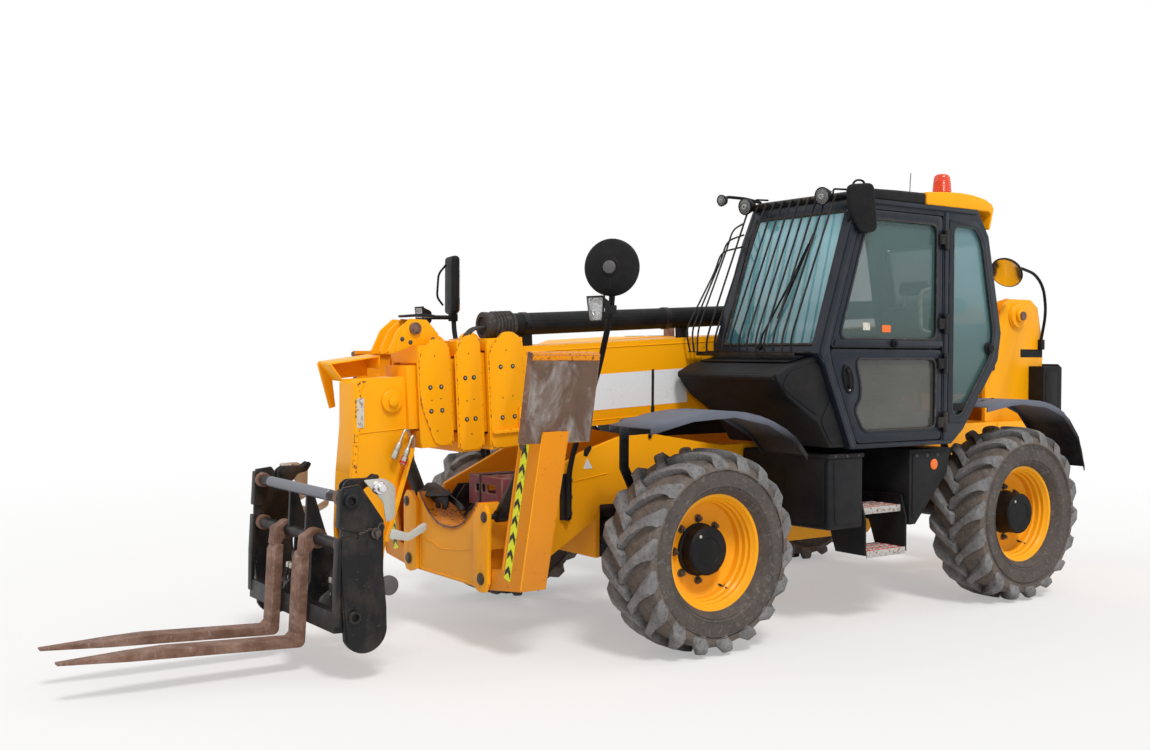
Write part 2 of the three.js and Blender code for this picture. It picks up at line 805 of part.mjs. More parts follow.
// ---------- carriage and forks ----------
const carriage = new THREE.Group();
carriage.position.set(tiltPivotX, 0, tiltPivotZ);
carriage.rotation.y = -radians(forkTilt);
machine.add(carriage);
const shaftAt = [347, 261];
const carriagePlateY = [568, 592];
function carriageBody() {
  const side = new THREE.Shape();
  side.moveTo(112, -150);
  side.absarc(232, -150, 120, Math.PI, 1.85 * Math.PI);
  side.lineTo(372, 60);
  side.lineTo(388, 330);
  side.lineTo(388, 555);
  side.lineTo(300, 570);
  side.lineTo(160, 392);
  side.lineTo(148, 140);
  const sidePlateBody = plate('xz', side, carriagePlateY, 8);
  const hub = [
    [-45, -40], [0, -62], [80, -90], [330, -170], [385, -170], [385, -60], [330, 20],
    [330, 225], [370, 255], [372, 500], [340, 500], [250, 260], [60, 62], [0, 62],
    [-45, 40],
  ];
  const hubPlate = plate('xz', hub, [noseHalfWidth + 6, noseHalfWidth + 28]);
  const shaft = rod('y', 30, [-noseHalfWidth - 30, noseHalfWidth + 30], [0, 0], 20);
  const c = Math.cos(radians(forkTilt));
  const s = Math.sin(radians(forkTilt));
  const lever = [-80 * c + -140 * s, 80 * s + -140 * c];
  const along = Math.atan2(lever[1], lever[0]);
  const across = along + Math.PI / 2;
  const reach = Math.hypot(...lever) + 45;
  const leverOutline = [
    [50 * Math.cos(across), 50 * Math.sin(across)],
    [reach * Math.cos(along) + 38 * Math.cos(across), reach * Math.sin(along) + 38 * Math.sin(across)],
    [reach * Math.cos(along) - 38 * Math.cos(across), reach * Math.sin(along) - 38 * Math.sin(across)],
    [-50 * Math.cos(across), -50 * Math.sin(across)],
  ];
  const leverPlate = plate('xz', leverOutline, [46, 66]);
  const frontBars = [
    rod('y', forkShaftRadius, [-590, 590], shaftAt, 20),
    rod('y', 28, [-590, 590], [365, 500], 20),
    box([330, forkBackX - seat - 0.2], [-570, 570], [-165, -65]),
    box([240, 330], [-570, 570], [-165, -150]),
  ];
  return join(
    sidePlateBody,
    mirrorY(sidePlateBody),
    hubPlate,
    mirrorY(hubPlate),
    shaft,
    leverPlate,
    mirrorY(leverPlate),
    ...frontBars,
  );
}
piece(carriage, 'carriage', carriageBody(), black());

function forkBody() {
  const half = forkWidth / 2;
  const tipX = forkBackX + forkLength;
  const profile = [
    [forkBackX, forkUnderZ],
    [tipX, forkUnderZ],
    [tipX, forkUnderZ + 10],
    [forkBackX + 700, forkUnderZ + forkThickness],
    [forkBackX + forkThickness + 20, forkUnderZ + forkThickness],
    [forkBackX + forkThickness, forkUnderZ + forkThickness + 20],
    [forkBackX + forkThickness, shaftAt[1] - 110],
    [forkBackX + 30, shaftAt[1] - 75],
    [forkBackX, shaftAt[1] - 75],
  ];
  const blade = plate('xz', profile, [-half, half]);
  const taper = plate('xy', [
    [forkBackX + forkLength - 330, -half - 1],
    [tipX + 1, -half - 1],
    [tipX + 1, -half + 34],
  ], [forkUnderZ - 1, forkUnderZ + forkThickness + 1]);
  const eyeSpan = [-half + 42, half];
  const eye = rod('y', 52, eyeSpan, shaftAt, 24);
  const bridge = plate('xz', [
    [shaftAt[0] + 20, shaftAt[1] - 40],
    [forkBackX, shaftAt[1] - 80],
    [forkBackX + 40, shaftAt[1] - 80],
    [forkBackX + 34, shaftAt[1] + 10],
    [shaftAt[0] + 20, shaftAt[1] + 44],
  ], eyeSpan);
  return join(blade, eye, bridge)
    .subtract(taper)
    .subtract(mirrorY(taper))
    .subtract(rod('y', forkShaftRadius + runningGap, [-half - 1, half + 1], shaftAt, 20));
}
for (const [side, sign] of sides) {
  const fork = forkBody().translate([0, forkSpread, 0]);
  piece(carriage, `fork_${side}`, sign > 0 ? fork : mirrorY(fork), rust());
}

// ---------- cab ----------
const cabProfile = [
  [-1040, cabFloorZ],
  [-800, 1610],
  [-760, 1660],
  [-1005, 2375],
  [-1100, 2590],
  [-2215, 2590],
  [-2330, 2425],
  [-2470, 1800],
  [-2440, 1620],
  [-2230, 1360],
  [-2090, 1180],
  [-1970, cabFloorZ],
];
const doorRearX = -1875;
const doorSplitZ = 1690;
const doorThickness = 42;
const doorInnerY = cabOuterY - doorThickness;
const hingeX = doorRearX - 8;
const hingeY = cabOuterY + 18;
const upperHinges = [1850, 2380];
const lowerHinges = [1230, 1600];
// Whole left-hand doorway, then each leaf inside it.
const upperDoorway = [
  [-858, doorSplitZ], [-1075, 2350], [-1140, 2530], [doorRearX, 2530],
  [doorRearX, doorSplitZ],
];
const lowerDoorway = [
  [-1095, 1118], [-880, 1600], [-858, doorSplitZ], [doorRearX, doorSplitZ],
  [doorRearX, 1118],
];
const doorway = [
  [-1095, 1118], [-880, 1600], [-858, doorSplitZ], [-1075, 2350], [-1140, 2530],
  [doorRearX, 2530], [doorRearX, 1118],
];
const quarterOpening = [
  [-1945, 1240], [-1945, 2500], [-2200, 2500], [-2285, 2390], [-2410, 1800], [-2380, 1640],
  [-2170, 1370], [-2070, 1240],
];
const windscreenLine = [[-806, 1704], [-1078, 2514]];
const rearWindowLine = [[-2440, 1856], [-2337, 2384]];
const rightOpening = [[-960, 1740], [-1150, 2480], [-2180, 2480], [-2310, 1800]];
const glassThickness = 6;
const cabWheelSweep = 668;     // the rear fender turns past the cab's corner inside this radius
function cabShellBody() {
  const outer = plate('xz', cabProfile, [cabInnerY, cabOuterY]);
  const cavity = plate('xz', inset(cabProfile, cabWall), [cabInnerY + cabWall, cabOuterY - cabWall]);
  const side = [cabOuterY - cabWall - 1, cabOuterY + 1];
  const inner = [cabInnerY - 1, cabInnerY + cabWall + 1];
  const span = [cabInnerY + 62, cabOuterY - 62];
  const screenHole = plate('xz', [[-720, 1700], [-900, 1700], [-1160, 2520], [-980, 2520]], span);
  const rearHole = plate('xz', [[-2380, 1850], [-2500, 1850], [-2420, 2390], [-2270, 2390]], span);
  const rightHole = plate('xz', rightOpening, inner);
  const recessFoot = plate('xz', quarterOpening, side);
  const roofHole = box([-2120, -1180], [cabInnerY + 90, cabOuterY - 90], [2500, 2600]);
  const wheelSweep = rod('z', cabWheelSweep, [1000, 1400], [-wheelbase, kingpinY], 48);
  let body = outer.subtract(cavity)
    .subtract(plate('xz', doorway, side))
    .subtract(recessFoot)
    .subtract(screenHole)
    .subtract(rearHole)
    .subtract(rightHole)
    .subtract(roofHole)
    .subtract(wheelSweep);
  for (const z of [...upperHinges, ...lowerHinges]) {
    for (const span of [[z + 35 + runningGap, z + 62], [z - 62, z - 35 - runningGap]]) {
      body = body.add(rod('z', 14, span, [hingeX, hingeY], 16));
      body = body.add(box([hingeX - 14, hingeX], [cabOuterY - 2, hingeY], span));
    }
  }
  return body;
}
piece(machine, 'cab_shell', cabShellBody(), black());
const roofUnderZ = 2590 + seat;
const roofPoints = [[-1085, roofUnderZ], [-1100, 2625], [-1250, 2655], [-1720, 2662], [-1720, roofUnderZ]];
const roofLamps = [315, 985].map((y) => join(
  rod('x', 50, [-1000, -950], [y, 2600], 14),
  box([-1200, -960], [y - 12, y + 12], [2640, 2652]),
));
const cabMirror = join(
  box([-1150, -1090], [cabOuterY + 14, cabOuterY + 42], [2400, 2640]),
  box([-1135, -1105], [cabOuterY - 60, cabOuterY + 15], [2622, 2638]),
  box([-1135, -1105], [cabOuterY - 60, cabOuterY - 30], [2600, 2638]),
);
piece(machine, 'cab_roof', join(
  plate('xz', roofPoints, [cabInnerY + 10, cabOuterY - 10]),
  cabMirror,
  ...roofLamps,
), black());
const visorPoints = [
  [-1720 - seat, roofUnderZ],
  [-1720 - seat, 2668],
  [-2050, 2690],
  [-2300, 2672],
  [-2395, 2625],
  [-2352, 2470],
  [-2338, 2474],
  [-2368, 2575],
  [-2340, roofUnderZ],
];
const beaconAt = [-2170, 900];
const beacon = join(
  rod('z', 54, [2670, 2716], beaconAt, 16),
  rod('z', 48, [2700, 2800], beaconAt, 12),
  solid(new THREE.SphereGeometry(48, 12, 6)).translate([...beaconAt, 2800]),
);
piece(
  machine,
  'roof_visor',
  plate('xz', visorPoints, [cabInnerY + 5, cabOuterY - 5]).add(beacon),
  yellow(),
);

// Doors: each leaf is a frame with its own glass.
const leafGap = 4;
const leafBorder = 62;
function leaf(points) {
  const edge = inset(points, leafGap);
  const frame = plate('xz', edge, [doorInnerY, cabOuterY]);
  const window = plate('xz', inset(points, leafBorder), [doorInnerY - 1, cabOuterY + 1]);
  return frame.subtract(window);
}
function pane(points) {
  const middle = (doorInnerY + cabOuterY) / 2;
  return plate(
    'xz',
    inset(points, leafBorder + seat),
    [middle - glassThickness / 2, middle + glassThickness / 2],
  );
}
function hinges(levels) {
  return levels.map((z) => join(
    rod('z', 14, [z - 35, z + 35], [hingeX, hingeY], 16),
    box([hingeX, hingeX + 50], [hingeY - 8, hingeY + 6], [z - 30, z + 30]),
    box([doorRearX + leafGap + 2, hingeX + 50], [cabOuterY - 2, hingeY + 6], [z - 30, z + 30]),
  ));
}
piece(machine, 'door_upper', join(leaf(upperDoorway), ...hinges(upperHinges)), black());
piece(machine, 'door_upper_glass', pane(upperDoorway), glass());
piece(machine, 'door_lower', join(leaf(lowerDoorway), ...hinges(lowerHinges)), black());
piece(machine, 'door_lower_glass', pane(lowerDoorway), glass());
piece(
  machine,
  'quarter_glass',
  plate('xz', inset(quarterOpening, seat), [cabOuterY - 20, cabOuterY - 14]),
  glass(),
);

function slopedPane(line, span, thickness) {
  const [[x0, z0], [x1, z1]] = line;
  const length = Math.hypot(x1 - x0, z1 - z0);
  const normal = [(z1 - z0) / length, -(x1 - x0) / length];
  return plate('xz', [
    [x0, z0],
    [x0 + normal[0] * thickness, z0 + normal[1] * thickness],
    [x1 + normal[0] * thickness, z1 + normal[1] * thickness],
    [x1, z1],
  ], span);
}
const screenSpan = [cabInnerY + 62 + seat, cabOuterY - 62 - seat];
piece(machine, 'windscreen', slopedPane(windscreenLine, screenSpan, glassThickness), glass());
piece(machine, 'rear_window', slopedPane(rearWindowLine, screenSpan, glassThickness), glass());
const rightPane = plate('xz', inset(rightOpening, seat), [cabInnerY + 14, cabInnerY + 14 + glassThickness]);
piece(machine, 'right_window', rightPane, glass());

// Seat, console and steering wheel.
const cabFloorTop = cabFloorZ + cabWall;
const cabMiddleY = (cabInnerY + cabOuterY) / 2;
const seatBase = box([-1900, -1560], [cabMiddleY - 170, cabMiddleY + 170], [cabFloorTop + seat, 1401]);
const seatProfile = [
  [-1520, 1400], [-1500, 1470], [-1530, 1510], [-1960, 1500], [-2080, 2080], [-2150, 2075],
  [-2060, 1440], [-2030, 1400],
];
piece(
  machine,
  'seat',
  seatBase.add(plate('xz', seatProfile, [cabMiddleY - 240, cabMiddleY + 240])),
  upholstery(),
);
const columnTilt = radians(25);
const wheelCentre = [-1160, 1690];
const hubStart = 6;            // hub underside along the column from the wheel centre
function onColumn(along, across) {
  return [
    wheelCentre[0] - along * Math.sin(columnTilt) + across * Math.cos(columnTilt),
    wheelCentre[1] + along * Math.cos(columnTilt) + across * Math.sin(columnTilt),
  ];
}
const consoleProfile = [
  [-1150, cabFloorTop + seat],
  [-1060, 1300],
  [-900, 1590],
  [-925, 1640],
  onColumn(hubStart - seat, 60),
  onColumn(hubStart - seat, -60),
  [-1240, cabFloorTop + seat],
];
piece(
  machine,
  'steering_console',
  plate('xz', consoleProfile, [cabMiddleY - 130, cabMiddleY + 130]),
  black(),
);
{
  const wheelGroup = new THREE.Group();
  wheelGroup.position.set(wheelCentre[0], cabMiddleY, wheelCentre[1]);
  wheelGroup.rotation.y = -columnTilt;
  const ring = new THREE.TorusGeometry(185, 14, 5, 16);
  const wheelBody = join(
    solid(ring).translate([0, 0, 60]),
    rod('z', 34, [hubStart, 76], [0, 0], 16),
    box([-180, 180], [-14, 14], [52, 66]),
    box([-14, 14], [-180, 180], [52, 66]),
  );
  piece(wheelGroup, 'steering_wheel', wheelBody, black());
  machine.add(wheelGroup);
}

// Cowl ahead of the screen and under the cab front.
const cowlPoints = [
  [-470, 1505], [-455, 1540], [-560, 1590], [-790, 1640], [-812, 1600], [-1040, 1100],
  [-900, 1100], [-800, 1250], [-560, 1400],
];
piece(machine, 'cab_cowl', plate('xz', cowlPoints, [cabInnerY, cabOuterY - 30])
  .subtract(plate('xz', inset(cabProfile, -seat - 0.2), [0, cabOuterY + 10])), black());

// Screen guard: upright rods between a top bar and a bottom tray.
function guardBody() {
  const topBar = rod('y', 13, [cabInnerY + 30, cabOuterY - 40], [-1035, 2600], 10);
  const tray = box([-690, -640], [cabInnerY, cabOuterY - 60], [1662, 1680]);
  const parts = [topBar, tray];
  const count = 11;
  for (let i = 0; i < count; i += 1) {
    const y = cabInnerY + 60 + ((cabOuterY - cabInnerY - 170) * i) / (count - 1);
    parts.push(bar([-1035, y, 2600], [-665, y, 1670], 7, 6));
  }
  for (const y of [cabInnerY + 50, cabOuterY - 75]) {
    parts.push(box([-800, -660], [y - 10, y + 10], [1662, 1676]));
    parts.push(box([-1110, -1030], [y - 10, y + 10], [2592, 2606]));
  }
  return join(...parts)
    .subtract(plate('xz', inset(cabProfile, -seat - 0.2), [0, cabOuterY + 10]))
    .subtract(plate('xz', inset(roofPoints, -seat - 0.2), [0, cabOuterY + 10]));
}
piece(machine, 'screen_guard', guardBody(), black());

// ---------- left side: tank box, steps, rear box ----------
const skirtInnerY = plateOuterY + seat;
const frontSkirt = plate(
  'xy',
  [[-1200, skirtInnerY], [-1200, 1110], [-905, 1110], [-870, 770], [-870, skirtInnerY]],
  [610, 1060],
);
piece(machine, 'side_box_front', frontSkirt, black());
const rearSkirt = plate(
  'xz',
  [[-1640, 1060], [-2040, 1060], [-2000, 900], [-1700, 590], [-1640, 590]],
  [skirtInnerY, 1095],
);
function stepsBody() {
  const treads = [
    box([-1600, -1245], [820, 1060], [690, 712]),
    box([-1600, -1245], [860, 1100], [430, 452]),
  ];
  const hangers = [[-1245, -1231], [-1614, -1600]].map((span) => plate('yz',
    [
      [skirtInnerY, 600], [skirtInnerY, 780], [1060, 780], [1100, 640], [1100, 430],
      [860, 430], [800, 600],
    ], span));
  const back = box([-1641, -1231], [skirtInnerY, skirtInnerY + 16], [600, 1060]);
  return join(...treads, ...hangers, back, rearSkirt);
}
piece(machine, 'steps', stepsBody(), black());

// ---------- right side: engine pod ----------
const podInnerY = -plateOuterY - seat;
const podOuterY = -1150;
const podSplitZ = 1240;
const podWheelSweep = 728;     // the rear wheel turns past the pod's corner inside this radius
function podBody() {
  const shell = box([-2040, -860], [podOuterY, podInnerY], [600, podSplitZ]);
  const room = box([-2010, -890], [podOuterY + 25, podInnerY - 25], [640, podSplitZ + 1]);
  return shell.subtract(room).subtract(rod('z', podWheelSweep, [500, 1300], [-wheelbase, -kingpinY], 48));
}
piece(machine, 'engine_pod', podBody(), black());
piece(
  machine,
  'engine_block',
  box([-1900, -1000], [podOuterY + 130, podInnerY - 60], [640 + seat, 1560]),
  steel(),
);
const coverFootZ = podSplitZ + seat;
const coverOuter = [
  [-2060, coverFootZ], [-2075, 1690], [-2040, 1745], [-900, 1775], [-420, 1745],
  [-215, 1680], [-205, 1420], [-800, 1420], [-860, coverFootZ],
];
function coverBody() {
  const shell = plate('xz', coverOuter, [podOuterY, podInnerY - 15]);
  const roomSpan = [podOuterY + 25, podInnerY + 5];
  const rearRoom = plate(
    'xz',
    [[-2035, podSplitZ - 5], [-2050, 1680], [-2025, 1720], [-885, 1745], [-885, podSplitZ - 5]],
    roomSpan,
  );
  const frontRoom = plate(
    'xz',
    [[-886, 1440], [-886, 1745], [-430, 1718], [-240, 1660], [-230, 1400], [-780, 1400]],
    roomSpan,
  );
  const hingeBar = rod('x', 12, [-1900, -700], [podInnerY - 6, coverHingeZ], 12);
  return shell.subtract(rearRoom).subtract(frontRoom).add(hingeBar);
}
const coverHingeZ = podSplitZ + 490;
piece(machine, 'engine_cover', coverBody(), yellow());

// ---------- rear guard ----------
const guardHalfWidth = 430;
const guardTopZ = 1590;
const guardPlate = plate('xz', [
  [chassisRearX - seat, 540],
  [rearGuardX, 620],
  [rearGuardX, guardTopZ - 30],
  [chassisRearX - seat, guardTopZ],
], [-guardHalfWidth, guardHalfWidth]);
const cheek = box(
  [chassisRearX - 1, -4010],
  [towerInnerY + towerThickness + seat, guardHalfWidth],
  [1150 + seat, guardTopZ - 20],
);
piece(machine, 'rear_guard', join(guardPlate, cheek, mirrorY(cheek)), black());

// ---------- mirrors, lamps, beacon ----------
function armWithDisc(points, armRadius, centre, yaw, radius) {
  const disc = rod('x', radius, [-22, 22], [0, 0], 20)
    .rotate([0, 0, yaw])
    .translate(centre);
  return join(bentBar(points, armRadius, 12, 6), disc);
}
const headlight = join(
  rod('x', 72, [745, 805], [1085, 1880], 16),
  rod('x', 50, [700, 746], [1085, 1880], 12),
  box([620, 705], [1000, 1095], [1870, 1890]),
);
const mirrorArmLeft = [
  [500, 425, 700], [500, 440, 1000], [500, 560, 1250], [560, 800, 1560], [630, 980, 1800],
  [650, 1045, 1950], [650, 1050, 2100],
];
piece(machine, 'mirror_left', join(
  armWithDisc(mirrorArmLeft, 16, [665, 1050, 2100], 34, 150),
  box([478, 522], [plateOuterY + seat, 441], [700, 960]),
  headlight,
), black());
const mirrorArmRight = [
  [500, -425, 700],
  [500, -440, 1000],
  [500, -520, 1250],
  [545, -700, 1560],
  [550, -800, 1800],
  [530, -830, 1950],
  [530, -830, 2100],
];
const oblongMirror = box([-25, 25], [-95, 95], [-185, 185])
  .rotate([0, 0, -30])
  .translate([545, -830, 2090]);
piece(machine, 'mirror_right', join(
  bentBar(mirrorArmRight, 16, 12, 6),
  oblongMirror,
  box([478, 522], [-441, -plateOuterY - seat], [700, 960]),
  box([545, 640], [-850, -805], [1870, 1890]),
  mirrorY(headlight).translate([-40, 190, 0]),
), black());
const rearMirror = join(
  bentBar(
    [[-4150, 310, 1740], [-4150, 350, 2000], [-4000, 375, 2250], [-3700, 380, 2320], [-3600, 380, 2290]],
    12,
    10,
    6,
  ),
  rod('x', 125, [-18, 18], [0, 0], 20).rotate([0, 0, 10]).translate([-3600, 380, 2290]),
  box([-4175, -4125], [towerInnerY + towerThickness + seat, 325], [1700, 1780]),
);
piece(machine, 'mirror_rear', rearMirror, black());
export default machine;
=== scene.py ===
import json
import math
import bpy
from mathutils import Matrix, Vector


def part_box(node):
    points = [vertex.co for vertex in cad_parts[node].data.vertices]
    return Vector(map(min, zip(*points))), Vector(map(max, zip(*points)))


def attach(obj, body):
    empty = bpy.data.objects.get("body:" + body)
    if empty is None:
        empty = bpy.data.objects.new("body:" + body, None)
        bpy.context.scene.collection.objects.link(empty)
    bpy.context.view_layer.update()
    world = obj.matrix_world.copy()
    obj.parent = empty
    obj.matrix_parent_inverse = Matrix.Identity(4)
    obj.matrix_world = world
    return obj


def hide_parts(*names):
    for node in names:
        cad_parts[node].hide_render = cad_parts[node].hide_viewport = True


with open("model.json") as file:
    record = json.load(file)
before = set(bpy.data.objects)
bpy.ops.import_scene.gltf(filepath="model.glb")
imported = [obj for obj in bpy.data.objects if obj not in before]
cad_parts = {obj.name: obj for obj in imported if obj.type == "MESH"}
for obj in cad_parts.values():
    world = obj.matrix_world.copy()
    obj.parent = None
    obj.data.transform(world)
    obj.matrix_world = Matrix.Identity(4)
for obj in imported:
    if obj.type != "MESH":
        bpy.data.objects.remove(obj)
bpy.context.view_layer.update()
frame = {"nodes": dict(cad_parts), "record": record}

# Places are written in metres ahead of the front axle, left of the middle and above the ground.
frontAxleX = sum(corner.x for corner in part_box("tyre_front_left")) / 2
rearAxleX = sum(corner.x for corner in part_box("tyre_rear_left")) / 2


def at(x, y, z):
    return Vector((x + frontAxleX, y, z))


# camera
view = {
    "place": at(4.5457, 6.2287, 1.6519),
    "turn": -125.205,
    "tilt": -0.998,
    "roll": 0.302,
    "lens": 38.91,
}


def aimCamera():
    turn, tilt, roll = (math.radians(view[word]) for word in ("turn", "tilt", "roll"))
    forward = Vector((math.cos(tilt) * math.cos(turn), math.cos(tilt) * math.sin(turn), math.sin(tilt)))
    right = forward.cross(Vector((0, 0, 1))).normalized()
    above = right.cross(forward)
    rightRolled = right * math.cos(roll) + above * math.sin(roll)
    aboveRolled = above * math.cos(roll) - right * math.sin(roll)
    bpy.ops.object.camera_add(location=view["place"])
    camera = bpy.context.object
    camera.data.lens = view["lens"]
    camera.data.sensor_width = 36
    camera.data.clip_end = 200
    turned = Matrix((rightRolled, aboveRolled, -forward)).transposed()
    camera.rotation_euler = turned.to_euler()
    bpy.context.scene.camera = camera


aimCamera()
print("camera placed")


# working helpers
def deselectAll():
    if bpy.context.object and bpy.context.object.mode != "OBJECT":
        bpy.ops.object.mode_set(mode="OBJECT")
    bpy.ops.object.select_all(action="DESELECT")


def pick(piece):
    deselectAll()
    piece.select_set(True)
    bpy.context.view_layer.objects.active = piece


def applyPlace(piece):
    pick(piece)
    bpy.ops.object.transform_apply(location=True, rotation=True, scale=True)


def applyModifiers(piece):
    pick(piece)
    for modifier in list(piece.modifiers):
        bpy.ops.object.modifier_apply(modifier=modifier.name)


def smooth(piece, degrees=35):
    pick(piece)
    bpy.ops.object.shade_smooth_by_angle(angle=math.radians(degrees))


def roundEdges(piece, width=0.004, segments=2, degrees=30):
    # edge faces take the second material slot, which holds the worn finish
    bevel = piece.modifiers.new("edges", "BEVEL")
    bevel.width = width
    bevel.segments = segments
    bevel.limit_method = "ANGLE"
    bevel.angle_limit = math.radians(degrees)
    bevel.material = 1
    bevel.use_clamp_overlap = True
    applyModifiers(piece)
    smooth(piece)
    return piece


def block(name, low, high, width=0.004, segments=2):
    deselectAll()
    bpy.ops.mesh.primitive_cube_add(size=1, location=(low + high) / 2)
    piece = bpy.context.object
    piece.name = name
    piece.scale = high - low
    applyPlace(piece)
    twoSlots(piece)
    if width:
        roundEdges(piece, width, segments)
    return piece


def twoSlots(piece):
    while len(piece.data.materials) < 2:
        piece.data.materials.append(None)


def aroundLine(piece, start, end):
    # turns a piece built along Z from the origin so that it runs from start to end
    along = end - start
    piece.matrix_world = Matrix.Translation(start) @ along.to_track_quat("Z", "Y").to_matrix().to_4x4()
    applyPlace(piece)
    return piece


def drum(name, start, end, radius, width=0.004, sides=32, endRadius=None, segments=2):
    # a round bar, boss, barrel or cone with softened rims
    length = (end - start).length
    deselectAll()
    bpy.ops.mesh.primitive_cone_add(vertices=sides, radius1=radius, radius2=endRadius or radius, depth=length,
        location=(0, 0, length / 2))
    piece = bpy.context.object
    piece.name = name
    applyPlace(piece)
    twoSlots(piece)
    if width:
        roundEdges(piece, width, segments, 40)
    else:
        smooth(piece)
    return aroundLine(piece, start, end)


def faceOutwards(piece):
    pick(piece)
    bpy.ops.object.mode_set(mode="EDIT")
    bpy.ops.mesh.select_all(action="SELECT")
    bpy.ops.mesh.normals_make_consistent(inside=False)
    bpy.ops.object.mode_set(mode="OBJECT")


def slab(name, corners, lift, width=0.003, segments=2):
    # a flat plate through the corners, thickened by the lift
    deselectAll()
    bpy.ops.mesh.primitive_circle_add(vertices=len(corners), radius=1, fill_type="NGON")
    piece = bpy.context.object
    piece.name = name
    for vertex, corner in zip(piece.data.vertices, corners):
        vertex.co = corner
    bpy.ops.object.mode_set(mode="EDIT")
    bpy.ops.mesh.select_all(action="SELECT")
    bpy.ops.mesh.extrude_region_move(TRANSFORM_OT_translate={"value": lift})
    faceOutwards(piece)
    twoSlots(piece)
    if width:
        roundEdges(piece, width, segments)
    return piece


def cutPlate(name, outline, span, plane="xz", width=0.003, segments=2):
    # an outline in one plane, extruded between two places on the third axis
    start, reach = span[0], span[1] - span[0]
    if plane == "xz":
        return slab(name, [at(a, start, b) for a, b in outline], Vector((0, reach, 0)), width, segments)
    return slab(name, [at(start, a, b) for a, b in outline], Vector((reach, 0, 0)), width, segments)


def roundedPath(points, bend, steps=5):
    # a path whose corners are turned into short arcs
    path = [points[0]]
    for before, corner, after in zip(points, points[1:], points[2:]):
        reach = min(bend, (before - corner).length * 0.48, (after - corner).length * 0.48)
        entry = corner + (before - corner).normalized() * reach
        leave = corner + (after - corner).normalized() * reach
        for step in range(steps + 1):
            share = step / steps
            path.append(entry.lerp(corner, share).lerp(corner.lerp(leave, share), share))
    path.append(points[-1])
    return path


def pipe(name, points, radius, bend=0.04, sides=8):
    deselectAll()
    bpy.ops.curve.primitive_nurbs_path_add()
    piece = bpy.context.object
    piece.name = name
    piece.data.splines.clear()
    path = roundedPath(points, bend)
    spline = piece.data.splines.new("POLY")
    spline.points.add(len(path) - 1)
    for point, spot in zip(spline.points, path):
        point.co = (*spot, 1)
    piece.data.bevel_depth = radius
    piece.data.bevel_resolution = sides // 4
    piece.data.use_fill_caps = True
    bpy.ops.object.convert(target="MESH")
    twoSlots(piece)
    smooth(piece)
    return piece


def joined(name, pieces):
    deselectAll()
    for piece in pieces:
        piece.select_set(True)
    bpy.context.view_layer.objects.active = pieces[0]
    bpy.ops.object.join()
    pieces[0].name = name
    return pieces[0]


def copied(piece, name, matrix):
    pick(piece)
    bpy.ops.object.duplicate()
    twin = bpy.context.object
    twin.name = name
    twin.matrix_world = matrix @ twin.matrix_world
    applyPlace(twin)
    return twin


def mirrored(piece, name):
    # the same piece on the right-hand side
    twin = copied(piece, name, Matrix.Scale(-1, 4, (0, 1, 0)))
    faceOutwards(twin)
    return twin


def ringOf(piece, count):
    # repeats a piece round the Y axis through the origin
    deselectAll()
    bpy.ops.object.empty_add(rotation=(0, 2 * math.pi / count, 0))
    turn = bpy.context.object
    array = piece.modifiers.new("ring", "ARRAY")
    array.count = count
    array.use_relative_offset = False
    array.use_object_offset = True
    array.offset_object = turn
    applyModifiers(piece)
    bpy.data.objects.remove(turn)


def lathe(name, profile, steps=48):
    # turns (radius, place along Y) points round the Y axis at the origin
    deselectAll()
    bpy.ops.mesh.primitive_circle_add(vertices=len(profile), radius=1, fill_type="NOTHING")
    piece = bpy.context.object
    piece.name = name
    for vertex, (radius, along) in zip(piece.data.vertices, profile):
        vertex.co = (0, along, radius)
    bpy.ops.object.mode_set(mode="EDIT")
    bpy.ops.mesh.select_all(action="SELECT")
    bpy.ops.mesh.spin(steps=steps, angle=2 * math.pi, center=(0, 0, 0), axis=(0, 1, 0))
    bpy.ops.mesh.select_all(action="SELECT")
    bpy.ops.mesh.remove_doubles(threshold=0.00005)
    bpy.ops.mesh.dissolve_degenerate()
    faceOutwards(piece)
    twoSlots(piece)
    smooth(piece, 30)
    return piece


def cutAway(piece, tool):
    # removes the tool's volume from the piece
    cutter = piece.modifiers.new("cut", "BOOLEAN")
    cutter.object = tool
    cutter.operation = "DIFFERENCE"
    cutter.solver = "EXACT"
    applyModifiers(piece)
    bpy.data.objects.remove(tool)
    return piece


def nodeCopy(node, name):
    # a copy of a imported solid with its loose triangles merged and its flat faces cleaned
    source = frame["nodes"][node]
    piece = bpy.data.objects.new(name, source.data.copy())
    bpy.context.scene.collection.objects.link(piece)
    piece.data.materials.clear()
    twoSlots(piece)
    pick(piece)
    bpy.ops.object.mode_set(mode="EDIT")
    bpy.ops.mesh.select_all(action="SELECT")
    bpy.ops.mesh.remove_doubles(threshold=0.0001)
    bpy.ops.mesh.dissolve_limited(angle_limit=math.radians(1))
    bpy.ops.object.mode_set(mode="OBJECT")
    return piece


def coat(piece, finish, worn=None):
    # the finish and the worn one that shows along the edges
    piece.data.materials[0] = finishes[finish]
    piece.data.materials[1] = finishes[worn or edgeOf.get(finish, finish)]


def place(piece, finish, body="root", slotName=None, worn=None, node=None):
    # gives a piece its finishes, the body that carries it and the node that it stands for
    coat(piece, finish, worn)
    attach(piece, body)
    slotName or next(name for name, members in slotsOf.items() if finish in members)
    if node:
        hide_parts(node)


def bodyOf(node):
    return next(body for body, names in frame["record"]["behaviour"]["bodies"].items() if node in names)


def softened(node, finish, width=0.004, segments=2):
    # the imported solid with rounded, worn edges
    piece = nodeCopy(node, node + "_finished")
    if width:
        roundEdges(piece, width, segments)
    place(piece, finish, bodyOf(node), node=node)


